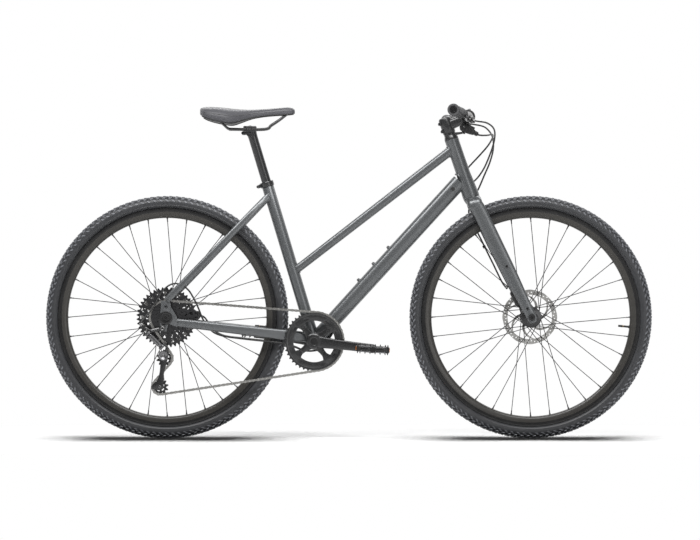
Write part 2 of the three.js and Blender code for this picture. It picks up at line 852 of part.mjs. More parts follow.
// Chain: side plates joined at each pin by a roller, narrow and wide links in turn
function chain() {
  const open = openLinks();
  const positions = [];
  const index = [];
  const addStation = (pin, along, reach, link) => {
    const wide = link % 2 === 0;
    const at = pin.clone().addScaledVector(along, reach);
    const up = new Vector3(-along.z, 0, along.x);
    const inside = wide ? outerPlateInside : innerPlateInside;
    const outside = wide ? outerPlateOutside : innerPlateOutside;
    const across = open[link] ? [-outside, -inside, inside, outside] : [-outside, outside];
    return [1, -1].map((face) => across.map((y) => {
      positions.push(at.x + face * plateHalfHeight * up.x, y, at.z + face * plateHalfHeight * up.z);
      return positions.length / 3 - 1;
    }));
  };
  // Two rows of corners joined by triangles, whichever row has more
  const strip = (first, second, flip) => {
    const add = (a, b, c) => (flip ? index.push(a, c, b) : index.push(a, b, c));
    const count = Math.max(first.length, second.length);
    const even = first.length === second.length;
    for (let i = 0; i + 1 < count; i += 1) {
      const long = first.length >= second.length;
      if (even) {
        add(first[i], first[i + 1], second[i + 1]);
        add(first[i], second[i + 1], second[i]);
      } else if (long) add(second[0], first[i], first[i + 1]);
      else add(first[0], second[i + 1], second[i]);
    }
    if (!even && first.length > second.length) add(second[0], first[count - 1], second[1]);
    if (!even && second.length > first.length) add(first[0], first[1], second[count - 1]);
  };
  const stations = pins.flatMap((pin, i) => {
    const last = (i + linkCount - 1) % linkCount;
    const before = pin.clone().sub(pins[last]).normalize();
    const after = pins[(i + 1) % linkCount].clone().sub(pin).normalize();
    return [
      { rows: addStation(pin, before, -rollerHalfLength, last), link: i, roller: true },
      { rows: addStation(pin, after, rollerHalfLength, i), link: i, roller: false }];
  });
  stations.forEach(({ rows: [top, base], link, roller }, s) => {
    const [nextTop, nextBase] = stations[(s + 1) % stations.length].rows;
    const last = top.length - 1;
    const nextLast = nextTop.length - 1;
    strip([top[0], base[0]], [nextTop[0], nextBase[0]], true);
    strip([top[last], base[last]], [nextTop[nextLast], nextBase[nextLast]], false);
    if (roller || !open[link]) {
      strip(top, nextTop, false);
      strip(base, nextBase, true);
      return;
    }
    [0, 2].forEach((k) => {
      strip([top[k], top[k + 1]], [nextTop[k], nextTop[k + 1]], false);
      strip([base[k], base[k + 1]], [nextBase[k], nextBase[k + 1]], true);
    });
    strip([top[1], base[1]], [nextTop[1], nextBase[1]], false);
    strip([top[2], base[2]], [nextTop[2], nextBase[2]], true);
    strip([top[1], top[2]], [base[1], base[2]], false);
    strip([nextTop[1], nextTop[2]], [nextBase[1], nextBase[2]], true);
  });
  const geometry = new THREE.BufferGeometry();
  geometry.setAttribute('position', new THREE.Float32BufferAttribute(positions, 3));
  geometry.setIndex(index);
  return solidOf(geometry);
}
addPiece('chain', chain(), steel()).position.y = -chainLine;

// Cassette: nine sprockets and the driver body that they stand on, with its lockring
function cassette() {
  const bore = flatRadius(axleRadius + gap, smallSides);
  const outerFace = cassetteOuterFace;
  const lockringFace = outerFace - sprocketThickness / 2 - lockringWidth;
  const core = turned([
    [bore, lockringFace], [lockringRadius, lockringFace], [cassetteBodyRadius, outerFace],
    [cassetteBodyRadius, cassetteInnerFace], [bore, cassetteInnerFace]], smallSides);
  const sprockets = sprocketTeeth.map((teeth, i) => {
    const engaged = i === chainSprocket;
    const phase = engaged ? toothPhase(wheelOrder.sprocket) : 0;
    return toothedDisc(teeth, phase, engaged, sprocketThickness, outerFace + i * sprocketSpacing);
  });
  const boreRod = crossRod(0, 0, outerFace - overrun, cassetteInnerFace + overrun, bore, smallSides);
  return cut(join(core, ...sprockets), boreRod);
}
addPiece('cassette', cassette(), blackSteel(), groupAt(rearAxle));

// Crankset about the bottom bracket, in line with its droop at rest
const crankAngle = -crankDroop * degree;
const crankTip = new Vector2(crankLength * Math.cos(crankAngle), crankLength * Math.sin(crankAngle));
const crankGroup = groupAt(bracket);
const ringFace = -chainLine - chainringThickness / 2;
const spiderFace = ringFace - gap;
const guardFace = spiderFace - spiderThickness - gap;

const spiderAngles = Array.from(
  { length: spiderArms }, (_, i) => crankAngle + turn * (i + 0.5) / spiderArms);
const boltPlaces = spiderAngles.map(
  (angle) => [boltCircleRadius * Math.cos(angle), boltCircleRadius * Math.sin(angle)]);

// A ring whose inner edge has a tab at each spider arm, with the bolt hole in it
function ringWithTabs(outerPoints, holeRadius) {
  const shape = polygon(outerPoints);
  const reach = boltCircleRadius - tabReach;
  const tabAngle = spiderTabWidth / 2 / ringInnerRadius;
  const inner = spiderAngles.flatMap((angle) => {
    const sector = turn / spiderArms;
    const arc = [tabAngle, sector / 3, sector / 2, sector * 2 / 3].map(
      (offset) => [ringInnerRadius * Math.cos(angle + offset), ringInnerRadius * Math.sin(angle + offset)]);
    const corner = (side) => [
      reach * Math.cos(angle) - side * ringBoltRadius * Math.sin(angle),
      reach * Math.sin(angle) + side * ringBoltRadius * Math.cos(angle)];
    const start = [
      ringInnerRadius * Math.cos(angle - tabAngle), ringInnerRadius * Math.sin(angle - tabAngle)];
    return [start, corner(-1), corner(1), ...arc];
  });
  shape.holes.push(new THREE.Path(inner.map(([x, z]) => new Vector2(x, z))));
  if (holeRadius > 0) {
    boltPlaces.forEach(([x, z]) => shape.holes.push(new THREE.Path(
      circlePoints(holeRadius, smallSides, x, z).map(([px, pz]) => new Vector2(px, pz)))));
  }
  return shape;
}
const ringBoltHole = flatRadius(ringBoltRadius + gap, smallSides);

function chainring() {
  const teeth = toothOutline(chainringTeeth, toothPhase(wheelOrder.chainring), true);
  const shape = ringWithTabs(teeth, ringBoltHole);
  return plate(shape, ringFace, ringFace + chainringThickness);
}

function chainGuard() {
  const shape = ringWithTabs(circlePoints(guardRadius, guardSides), 0);
  const disc = plate(shape, guardFace - guardThickness, guardFace);
  const bolts = boltPlaces.map(([x, z]) => plate(
    polygon(circlePoints(ringBoltRadius, smallSides, x, z)), guardFace - guardThickness / 2,
    ringFace + chainringThickness));
  return join(disc, ...bolts);
}
addPiece('chainring', chainring(), blackAlloy(), crankGroup);
addPiece('chain_guard', chainGuard(), satinBlack(), crankGroup);

// A crank arm on the right side: it steps outward from its boss to the pedal
function crankBlade() {
  const inner = crankInnerFace;
  const shares = [[0, 1, 0], [0.12, 1, 0.1], [0.35, 0.86, 0.7], [0.65, 0.78, 1], [1, 0.76, 1]];
  const tipShare = shares[shares.length - 1][1];
  const tipScale = crankTipWidth / crankWidth / tipShare;
  const stations = shares.map(([along, wide, out]) => {
    const at = new Vector3(
      along * crankLength * Math.cos(crankAngle),
      -(inner + out * crankTipOffset + crankThickness / 2),
      along * crankLength * Math.sin(crankAngle));
    const height = along === 0 ? crankWidth : crankWidth * wide * tipScale;
    return { at, height };
  });
  return loft(stations.map(({ at, height }) => {
    const up = new Vector3(-Math.sin(crankAngle), 0, Math.cos(crankAngle));
    const half = crankThickness / 2;
    const corners = [
      [half, height / 2], [half, -height / 2],
      [-half + crankBevel, -height / 2], [-half, -height / 2 + crankBevel],
      [-half, height / 2 - crankBevel * 2], [-half + crankBevel, height / 2]];
    return corners.map(([y, rise]) => at.clone().add(new Vector3(0, y, 0)).addScaledVector(up, rise));
  }));
}

const crankBossFace = -(crankInnerFace + crankThickness + crankBossRise);
function crankArm() {
  const tipFace = crankInnerFace + crankTipOffset;
  const faceOut = -(tipFace + crankThickness);
  const boss = crossRod(0, 0, crankBossFace, -crankInnerFace + spiderThickness, crankBossRadius);
  const eye = crossRod(crankTip.x, crankTip.y, faceOut, -tipFace, crankTipWidth / 2);
  const pedalSpindle = crossRod(
    crankTip.x, crankTip.y, -(pedalInner + pedalWidth - pedalBar), -tipFace - crankThickness / 2,
    pedalSpindleRadius, smallSides);
  return join(crankBlade(), boss, eye, pedalSpindle);
}

function spider() {
  const boss = crossRod(0, 0, spiderFace - 2 * spiderThickness, spiderFace, spiderBossRadius);
  const arms = spiderAngles.map((angle) => {
    const length = boltCircleRadius + ringBoltRadius;
    const centre = new Vector3(
      length / 2 * Math.cos(angle), spiderFace - spiderThickness / 2, length / 2 * Math.sin(angle));
    return bar(centre, angle, length, spiderThickness, spiderArmWidth);
  });
  const holes = boltPlaces.map(([x, z]) => plate(
    polygon(circlePoints(ringBoltHole, smallSides, x, z)), spiderFace - overrun, spiderFace + overrun));
  return cut(join(boss, ...arms), ...holes);
}

function spindleRecess() {
  return crossRod(
    0, 0, crankBossFace - overrun, crankBossFace + spindleRecessDepth, spindleRecessRadius);
}

function rightCrank() {
  const leftEnd = crankInnerFace + crankThickness / 2;
  const spindle = crossRod(0, 0, -crankInnerFace, leftEnd, spindleRadius);
  const solid = join(crankArm(), spider(), spindle);
  return cut(solid, spindleRecess());
}

function leftCrank() {
  const bore = crossRod(
    0, 0, -crankInnerFace + 2 * overrun, -(crankInnerFace + crankThickness / 2) - gap, spindleRadius + gap);
  const arm = cut(crankArm(), bore);
  const geometry = geometryOf(mirrored(arm));
  geometry.rotateY(Math.PI);
  return solidOf(geometry);
}
addPiece('crank_arm_right', rightCrank(), blackAlloy(), crankGroup);
addPiece('crank_arm_left', leftCrank(), blackAlloy(), crankGroup);

// A platform pedal: a frame round two windows, a barrel on the spindle and end reflectors
function pedal() {
  const [half, wide] = [pedalLength / 2, pedalWidth];
  const corner = pedalBar / 2;
  const geometryFor = (points, height) => {
    const shape = new THREE.Shape(points.map(([x, y]) => new Vector2(x, y)));
    const geometry = new THREE.ExtrudeGeometry(shape, { depth: height, bevelEnabled: false });
    geometry.translate(0, 0, -height / 2);
    return solidOf(geometry);
  };
  const outline = [
    [half - corner, 0], [half, -corner], [half, -wide + corner], [half - corner, -wide],
    [-half + corner, -wide], [-half, -wide + corner], [-half, -corner], [-half + corner, 0]];
  const body = geometryFor(outline, pedalHeight * 0.75);
  const window = (xLow, xHigh) => geometryFor(
    [[xLow, -pedalBar], [xHigh, -pedalBar], [xHigh, -wide + pedalBar], [xLow, -wide + pedalBar]],
    2 * pedalHeight);
  const barrel = rod(
    new Vector3(0, -wide, 0), new Vector3(0, 0, 0), pedalBarrelRadius, pedalBarrelRadius, rodSides);
  const reflectors = [-1, 1].map((end) => {
    const geometry = new THREE.BoxGeometry(reflectorThickness, reflectorWidth, reflectorHeight);
    geometry.translate(end * (half - reflectorThickness / 4), -wide / 2, 0);
    return solidOf(geometry);
  });
  const bore = flatRadius(pedalSpindleRadius + gap, smallSides);
  const hole = crossRod(0, 0, -wide + pedalBar - gap, overrun, bore, smallSides);
  const framed = cut(
    body, window(pedalBarrelRadius, half - pedalBar), window(-half + pedalBar, -pedalBarrelRadius));
  return cut(join(framed, barrel, ...reflectors), hole);
}

const pedalPlace = new Vector3(crankTip.x, -pedalInner, crankTip.y);
const rightPedal = addPiece('pedal_right', pedal(), blackPlastic(), crankGroup);
rightPedal.position.copy(pedalPlace);
rightPedal.rotation.y = pedalTilt * degree;
const leftPedal = addPiece('pedal_left', mirrored(pedal()), blackPlastic(), crankGroup);
leftPedal.position.copy(pedalPlace).negate();
leftPedal.rotation.y = pedalTilt * degree;

// Frame tubes, each also as a tool that leaves the gap
function headTubeOuter(grow = 0) {
  const top = headTubeTop;
  return [
    [headTubeBaseRadius + grow, forkLength - grow], [headTubeBaseRadius + grow, forkLength + headTubeCollar],
    [headTubeTopRadius + grow, forkLength + headTubeSwell], [headTubeTopRadius + grow, top + grow]];
}

function headTube() {
  const bore = flatRadius(raceRadius + gap, tubeSides);
  return turnedOnSteerer([[bore, forkLength], ...headTubeOuter(), [bore, headTubeTop]]);
}
const headTubeTool = turnedOnSteerer([
  [0, forkLength - gap], ...headTubeOuter(gap), [0, headTubeTop + gap]]);

const shellTool = crossRod(
  bracket.x, bracket.z, -shellWidth, shellWidth, shellRadius + gap, shellSides);
function bracketShell() {
  const half = shellWidth / 2;
  const tube = (end, radius) => crossRod(bracket.x, bracket.z, -end, end, radius, shellSides);
  return cut(tube(half, shellRadius), tube(half + overrun, shellRadius - shellWall));
}

// Bearing cartridge between the shell and the spindle, with a flange outside each face
function bracketUnit() {
  const half = shellWidth / 2;
  const fit = (shellRadius - shellWall) * Math.cos(Math.PI / shellSides) - gap;
  const bore = flatRadius(spindleRadius + gap, rodSides);
  const flange = (crankInnerFace - half - spiderThickness) / 2;
  const group = groupAt(bracket);
  const profile = [
    [bore, -half - flange], [fit, -half - flange], [fit, half + flange], [bore, half + flange]];
  addPiece('bottom_bracket', turned(profile, rodSides), blackAlloy(), group);
}
bracketUnit();

const seatTubeTool = rod(
  bracket, seatPoint(seatTubeLength), seatTubeRadius + gap, seatTubeRadius + gap, tubeSides);
const postBore = rod(
  seatPoint(0), seatPoint(seatTubeLength + overrun), seatpostRadius + gap, seatpostRadius + gap, tubeSides);
function seatTube() {
  const outer = rod(bracket, seatPoint(seatTubeLength), seatTubeRadius, seatTubeRadius, tubeSides);
  return cut(outer, postBore, shellTool);
}

const downTubeTop = steerPoint(forkLength + downTubeRise);
const downTubeAlong = downTubeTop.clone().sub(bracket).normalize();
const downTubeUp = new Vector3(-downTubeAlong.z, 0, downTubeAlong.x);
const downTubePoint = (distance) => bracket.clone().addScaledVector(downTubeAlong, distance);
function downTubeSkin(shrink) {
  const length = downTubeTop.distanceTo(bracket);
  const shares = [[0, 1, 0.96], [0.5, 1, 1], [0.82, 1, 1], [1, downTubeHeadWidth / downTubeWidth, 1]];
  return shapedTube(shares.map(([along, wide, tall]) => ({
    at: downTubePoint(along * length),
    width: downTubeWidth * wide,
    height: downTubeHeight * tall,
  })), { grow: -shrink, sides: rodSides, round: 0.85 });
}

function downTube() {
  const angle = Math.atan2(downTubeAlong.z, downTubeAlong.x);
  const bosses = [0, 1, 2].map((i) => {
    const foot = downTubePoint(bottleBossDistance + i * bottleBossSpacing)
      .addScaledVector(downTubeUp, downTubeHeight / 2 - 2 * downTubeWall);
    const head = foot.clone().addScaledVector(downTubeUp, 2 * downTubeWall + bottleBossHeight);
    return rod(foot, head, bottleBossRadius, bottleBossRadius, smallSides);
  });
  const portShares = [[-0.5, 0], [-0.25, -0.5], [0.25, -0.5], [0.5, 0], [0.25, 0.5], [-0.25, 0.5]];
  const portShape = turnedAbout(
    downTubePoint(cablePortDistance), angle,
    portShares.map(([x, z]) => [x * cablePortLength, z * cablePortHeight]));
  const ports = plate(polygon(portShape), -downTubeWidth, downTubeWidth);
  const exitCentre = downTubePoint(cableExitDistance).addScaledVector(downTubeUp, -downTubeHeight / 2);
  const exit = bar(exitCentre, angle, cableExitLength, cableExitWidth, downTubeHeight / 2);
  const skin = join(downTubeSkin(0), ...bosses);
  return cut(skin, downTubeSkin(downTubeWall), headTubeTool, shellTool, seatTubeTool, ports, exit);
}

function topTube() {
  const low = seatPoint(topTubeStart);
  const high = steerPoint(headTubeTop - topTubeDrop);
  const skin = (grow) => shapedTube([
    { at: low, width: topTubeSeatWidth, height: topTubeSeatHeight },
    { at: high, width: topTubeWidth, height: topTubeHeight }], { grow });
  return cut(skin(0), skin(-topTubeWall), headTubeTool, seatTubeTool);
}

// Dropouts: a forging between the stays, with the hanger on the right
const dropoutInner = hubWidthRear / 2;
const dropoutOuter = dropoutInner + dropoutThickness;
function dropoutShape(withHanger) {
  const rise = seatstayEndRise;
  const [x, z] = [rearAxle.x, rearAxle.z];
  const outlineShares = [
    [-0.28, 0.98], [0.24, 0.98], [0.3, 0.62], [0.66, 0.02], [0.66, -0.56], [0.16, -0.36]];
  const hangerShares = withHanger
    ? [[0.02, -0.82], [-0.36, -0.82], [-0.36, -0.3]]
    : [[-0.2, -0.33]];
  const points = [...outlineShares, ...hangerShares, [-0.34, 0.1]];
  const shape = polygon(points.map(([across, up]) => [x + across * rise, z + up * rise]));
  shape.holes.push(new THREE.Path(
    circlePoints(flatRadius(axleRadius + gap, rodSides), rodSides, x, z)
      .map(([px, pz]) => new Vector2(px, pz))));
  return shape;
}

// A dropout on the right side, with a raised eyelet for a rack above the axle
function dropout(withHanger) {
  const body = plate(dropoutShape(withHanger), -dropoutOuter, -dropoutInner);
  const [x, z] = [rearAxle.x, rearAxle.z + dropoutHoleRise];
  const eyelet = crossRod(x, z, -dropoutOuter - eyeletHeight, -dropoutInner, eyeletRadius, smallSides);
  const bolt = crossRod(
    x, z, -dropoutOuter - overrun, -dropoutInner + overrun, dropoutHoleRadius, smallSides);
  return cut(join(body, eyelet), bolt);
}

function dropoutTool() {
  const shape = dropoutShape(true);
  shape.holes = [];
  return plate(shape, -dropoutOuter, -dropoutInner, gap);
}
const rightDropoutTool = dropoutTool();

// Stays on the right side: each share row is along, spread, depth and width
function chainstayStations() {
  const start = bracket.clone().add(new Vector3(0, 0, chainstayRise));
  const end = rearAxle.clone().add(new Vector3(chainstayEndReach, 0, -chainstayEndDrop));
  const staySpread = dropoutInner;
  const shares = [
    [0.02, 0.29, 0.9, 0.82], [0.12, 0.4, 1, 0.82], [0.2, 0.48, 1, 0.76], [0.4, 0.63, 0.96, 1],
    [0.7, 0.84, 0.88, 1], [0.9, 0.965, 0.8, 0.82], [1, 0.985, 0.74, 0.74]];
  return shares.map(([along, spread, deep, wide]) => {
    const at = start.clone().lerp(end, along);
    at.y = -spread * staySpread;
    return { at, width: wide * chainstayWidth, height: deep * chainstayDepth };
  });
}

function chainstay() {
  const skin = shapedTube(chainstayStations(), { round: 0.72, sides: staySides });
  return cut(skin, shellTool, seatTubeTool, rightDropoutTool);
}
const chainstayTool = shapedTube(chainstayStations(), { round: 0.72, sides: staySides, grow: gap });

function seatstay() {
  const start = seatPoint(seatstayStart);
  const end = rearAxle.clone().add(new Vector3(seatstayEndReach, 0, seatstayEndRise));
  const shares = [[0, 0.13], [0.05, 0.2], [0.12, 0.35], [0.22, 0.5], [0.5, 0.74], [0.85, 0.96], [1, 1]];
  const stations = shares.map(([along, spread]) => {
    const at = start.clone().lerp(end, along);
    at.y = -spread * (dropoutInner + dropoutThickness / 2);
    return { at, width: seatstayWidth, height: seatstayDepth };
  });
  return cut(shapedTube(stations, { round: 0.8, sides: staySides }), seatTubeTool, rightDropoutTool);
}

function seatCollar() {
  const low = seatPoint(seatTubeLength - collarBelow);
  const high = seatPoint(seatTubeLength - collarBelow + collarHeight);
  const radius = seatTubeRadius + gap + collarWall;
  const sleeve = rod(low, high, radius, radius, tubeSides);
  const angle = Math.atan2(seatUp.z, seatUp.x);
  const backward = new Vector3(-Math.sin(angle), 0, Math.cos(angle));
  const lugCentre = low.clone().lerp(high, 0.5).addScaledVector(backward, radius);
  const lug = bar(lugCentre, angle, collarLugHeight, collarLugWidth, collarLugLength);
  const slit = bar(lugCentre, angle, 2 * collarHeight, collarSlit, 2 * radius);
  const tubeHole = rod(
    bracket, seatPoint(seatTubeLength + collarHeight), seatTubeRadius + gap, seatTubeRadius + gap, tubeSides);
  return cut(join(sleeve, lug), tubeHole, slit);
}

addPiece('head_tube', headTube(), satinGrey());
addPiece('down_tube', downTube(), satinGrey());
addPiece('top_tube', topTube(), satinGrey());
addPiece('seat_tube', seatTube(), satinGrey());
addPiece('bottom_bracket_shell', bracketShell(), satinGrey());
addPiece('chainstay_right', chainstay(), satinGrey());
addPiece('chainstay_left', mirrored(chainstay()), satinGrey());
addPiece('seatstay_right', seatstay(), satinGrey());
addPiece('seatstay_left', mirrored(seatstay()), satinGrey());
addPiece('dropout_right', dropout(true), satinGrey());
addPiece('dropout_left', mirrored(dropout(false)), satinGrey());
addPiece('seat_collar', seatCollar(), satinBlack());

// Through axles with a round head at each end
function throughAxle(halfWidth) {
  const shaft = crossRod(0, 0, -halfWidth - gap, halfWidth + gap, axleRadius);
  const heads = [-1, 1].map((side) => {
    const [a, b] = [side * (halfWidth + gap), side * (halfWidth + gap + axleHeadWidth)];
    return crossRod(0, 0, Math.min(a, b), Math.max(a, b), axleHeadRadius);
  });
  return join(shaft, ...heads);
}
addPiece('rear_axle', throughAxle(dropoutOuter), blackAlloy(), groupAt(rearAxle));

// Fork: steerer with crown race, arched crown and two tapered legs
const crownTop = forkLength - gap;
const legTop = crownTop - crownHeight - gap;
function forkCrown() {
  const top = headTubeTop + headsetCoverHeight + spacerHeight + stemClampHeight;
  const steerer = turnedOnSteerer([
    [0, crownTop - crownHeight / 3], [raceRadius, crownTop - crownHeight / 3],
    [raceRadius, forkLength + raceHeight],
    [steererRadius, forkLength + raceHeight], [steererRadius, top], [0, top]]);
  const half = crownWidth / 2;
  const drop = crownHeight;
  const archShares = [
    [0.5, 0], [0.8, -0.25], [1, -0.72], [1, -1], [0.58, -1], [0.5, -0.72], [0.28, -0.5],
    [-0.28, -0.5], [-0.5, -0.72], [-0.58, -1], [-1, -1], [-1, -0.72], [-0.8, -0.25], [-0.5, 0]];
  const shape = new THREE.Shape(archShares.map(([across, up]) => new Vector2(across * half, up * drop)));
  const geometry = new THREE.ExtrudeGeometry(shape, { depth: crownDepth, bevelEnabled: false });
  geometry.translate(0, 0, -crownDepth / 2);
  geometry.applyMatrix4(new THREE.Matrix4().makeBasis(leftward, steerUp, leftward.clone().cross(steerUp)));
  geometry.translate(...steerPoint(crownTop).addScaledVector(steerForward, legForward / 2).toArray());
  return join(solidOf(geometry), steerer);
}

function legStations() {
  const top = steerPoint(legTop + crownHeight / 2).addScaledVector(steerForward, legForward);
  const down = frontAxle.clone().sub(top);
  const length = down.length();
  const dropoutY = hubWidthFront / 2 + runningGap + legThickness * 0.34;
  const shares = [[0, 0, 1, 1], [0.3, 0.18, 1, 1], [0.62, 0.56, 0.93, 0.88], [0.86, 0.88, 0.76, 0.74],
    [1, 1, 0.68, 0.68], [1 + legOverhang / length, 1, 0.44, 0.62]];
  return shares.map(([along, spread, deep, thick]) => {
    const at = top.clone().addScaledVector(down, along);
    at.y = -(legTopSpread + spread * (dropoutY - legTopSpread));
    return { at, width: legThickness * thick, height: legDepth * deep };
  });
}

function forkLeg() {
  const skin = shapedTube(legStations(), { round: 0.75, sides: staySides });
  const hole = crossRod(
    frontAxle.x, frontAxle.z, -hubWidthFront, 0, flatRadius(axleRadius + gap, rodSides));
  const above = bar(
    steerPoint(legTop + crownHeight), Math.atan2(steerUp.z, steerUp.x), 2 * crownHeight, 2 * crownWidth,
    2 * crownDepth);
  return cut(skin, hole, above);
}
const legTool = shapedTube(legStations(), { grow: gap, round: 0.75, sides: staySides });
addPiece('fork_crown', forkCrown(), satinGrey());
addPiece('fork_leg_right', forkLeg(), satinGrey());
addPiece('fork_leg_left', mirrored(forkLeg()), satinGrey());
const legOuter = hubWidthFront / 2 + runningGap + legThickness * 0.68;
addPiece('front_axle', throughAxle(legOuter), blackAlloy(), groupAt(frontAxle));

// Headset cover and spacer, then the stem with its cap and faceplate
const steererHole = flatRadius(steererRadius + gap, tubeSides);
function headsetCover() {
  const base = headTubeTop + gap;
  const coneTop = headTubeTop + headsetCoverHeight;
  return turnedOnSteerer([
    [steererHole, headTubeTop - raceHeight], [raceRadius, headTubeTop - raceHeight], [raceRadius, base],
    [headTubeTopRadius, base], [headTubeTopRadius, base + headsetCoverHeight / 4], [raceRadius, coneTop],
    [raceRadius, coneTop + spacerHeight - gap], [steererHole, coneTop + spacerHeight - gap]]);
}
addPiece('headset_cover', headsetCover(), satinBlack());

const stemBase = headTubeTop + headsetCoverHeight + spacerHeight;
const stemTop = stemBase + stemClampHeight + gap;
const stemTurn = Math.PI / 2 - headAngle * degree + stemRise * degree;
const stemAlong = new Vector3(Math.cos(stemTurn), 0, Math.sin(stemTurn));
const stemStart = steerPoint(stemBase + stemClampHeight / 2);
const barCentre = stemStart.clone().addScaledVector(stemAlong, stemLength);
const clampRadius = barClampRadius + gap + barClampWall;

function stemSolids() {
  const sleeve = turnedOnSteerer([
    [0, stemBase], [stemClampRadius, stemBase], [stemClampRadius, stemTop],
    [steererRadius + gap, stemTop + stemCapHeight], [0, stemTop + stemCapHeight]]);
  const body = shapedTube([
    { at: stemStart, width: stemBodyWidth, height: stemBodyHeight },
    { at: barCentre, width: stemFrontWidth, height: stemFrontHeight }]);
  const eye = crossRod(
    barCentre.x, barCentre.z, -barClampWidth / 2, barClampWidth / 2, clampRadius, rodSides);
  const bolts = [-1, 1].map((side) => {
    const centre = stemStart.clone().addScaledVector(steerUp, side * stemBoltSpacing / 2)
      .addScaledVector(steerForward, -(stemClampRadius + stemBoltRadius / 3));
    return crossRod(centre.x, centre.z, -stemBoltWidth / 2, stemBoltWidth / 2, stemBoltRadius, smallSides);
  });
  const hole = turnedOnSteerer([
    [0, stemBase - overrun], [steererHole, stemBase - overrun], [steererHole, stemTop], [0, stemTop]]);
  const barHole = crossRod(
    barCentre.x, barCentre.z, -barClampWidth, barClampWidth, flatRadius(barClampRadius + gap, barSides),
    barSides);
  const whole = cut(join(sleeve, body, eye, ...bolts), hole, barHole);
  const front = barCentre.clone().addScaledVector(stemAlong, clampRadius + collarSlit / 2);
  const splitter = bar(front, stemTurn, 2 * clampRadius, 2 * barClampWidth, 4 * clampRadius);
  const behind = barCentre.clone().addScaledVector(stemAlong, -collarSlit / 2 - 2 * stemLength);
  const rest = bar(behind, stemTurn, 4 * stemLength, 2 * barClampWidth, 6 * clampRadius);
  return { stem: whole.intersect(rest), faceplate: whole.intersect(splitter) };
}
const { stem, faceplate } = stemSolids();
addPiece('stem', stem, satinBlack());
addPiece('stem_faceplate', faceplate, satinBlack());

// Handlebar: thick in the clamp, then swept back and a little up
function barPoint(y) {
  const share = Math.max(Math.abs(y) - barBendEnd, 0) / (barHalfWidth - barBendEnd);
  const bend = Math.min(Math.max((Math.abs(y) - barBendStart) / (barBendEnd - barBendStart), 0), 1);
  const bendSweep = barSweep * (barBendEnd - barBendStart) / 2 / (barHalfWidth - barBendEnd);
  const back = bendSweep * bend ** 2 + (barSweep - bendSweep) * share;
  return new Vector3(barCentre.x - back, y, barCentre.z + barRise * share);
}

function handlebar() {
  const shares = [0, 0.25, 0.5, 0.75, 1];
  const bendStations = shares.map((share) => barBendStart + share * (barBendEnd - barBendStart));
  const half = [...bendStations, barHalfWidth - gripEndWall - gap];
  const stations = [...half.slice().reverse().map((y) => -y), ...half];
  const radii = stations.map((y) => {
    const bend = Math.min(Math.max((Math.abs(y) - barBendStart) / (barBendEnd - barBendStart), 0), 1);
    return barClampRadius + bend * (barRadius - barClampRadius);
  });
  return roundTube(stations.map(barPoint), radii, barSides);
}
addPiece('handlebar', handlebar(), satinBlack());

// Everything on the right half of the bar stands in a frame at a place on it
const outboard = barPoint(-barHalfWidth).sub(barPoint(-barBendEnd)).normalize();
const leverDirection = new Vector3(Math.cos(leverAngle * degree), 0, Math.sin(leverAngle * degree));
const reachOut = leverDirection.clone().addScaledVector(outboard, -leverDirection.dot(outboard)).normalize();
const barPlace = (distance, reach = 0) => barPoint(-distance).addScaledVector(reachOut, reach);
const alongBar = (distance, length, radius, sides = rodSides) => rod(
  barPlace(distance), barPlace(distance).addScaledVector(outboard, length), radius, radius, sides);

function grip() {
  const start = barHalfWidth - gripLength;
  const length = barPlace(barHalfWidth).distanceTo(barPlace(start));
  const sleeve = alongBar(start, length, gripRadius, barSides);
  const flange = rod(
    barPlace(barHalfWidth).addScaledVector(outboard, -gripFlangeWidth), barPlace(barHalfWidth),
    gripFlange, gripFlange, barSides);
  const inside = length - gripEndWall;
  const hole = flatRod(
    barPlace(start).addScaledVector(outboard, -overrun), barPlace(start).addScaledVector(outboard, inside),
    barRadius + gap, barSides);
  return cut(join(sleeve, flange), hole);
}

const clampRing = (distance, width) => cut(
  alongBar(distance, width, barRadius + gap + perchWall, barSides),
  flatRod(
    barPlace(distance).addScaledVector(outboard, -overrun),
    barPlace(distance).addScaledVector(outboard, width + overrun), barRadius + gap, barSides));

// Brake perch: clamp, arm, master cylinder beside the bar, and a forked ear for the lever
const leverNormal = outboard.clone().cross(reachOut).normalize();
const leverPivot = barPlace(perchPosition, leverPivotReach).addScaledVector(outboard, leverPivotOffset);
const perchPlace = (reach, offset) => barPlace(perchPosition, reach).addScaledVector(outboard, offset);
const hoseStart = perchPlace(reservoirReach, perchWidth / 2 - reservoirLength);
function brakePerch() {
  const ring = clampRing(perchPosition, perchWidth);
  const mid = perchWidth / 2;
  const arm = rod(
    perchPlace(barRadius + gap + perchWall / 2, mid), perchPlace(reservoirReach, mid),
    perchWidth / 2, perchWidth / 2, smallSides);
  const cylinder = rod(
    perchPlace(reservoirReach, mid), hoseStart, reservoirRadius, reservoirEndRadius, smallSides);
  const earHeight = leverThickness + 2 * (gap + leverEarWall);
  const earSection = (at, width) => section(
    at, reachOut, leverNormal, width, earHeight, smallSides, 0.5);
  const ears = loft([
    earSection(perchPlace(reservoirReach, 0), reservoirRadius),
    earSection(leverPivot, 2 * leverPivotRadius)]);
  const half = leverThickness / 2 + gap;
  const room = flatRod(
    leverPivot.clone().addScaledVector(leverNormal, half),
    leverPivot.clone().addScaledVector(leverNormal, -half), leverPivotRadius + 2 * runningGap);
  return join(cut(join(ears, cylinder), room), ring, arm);
}

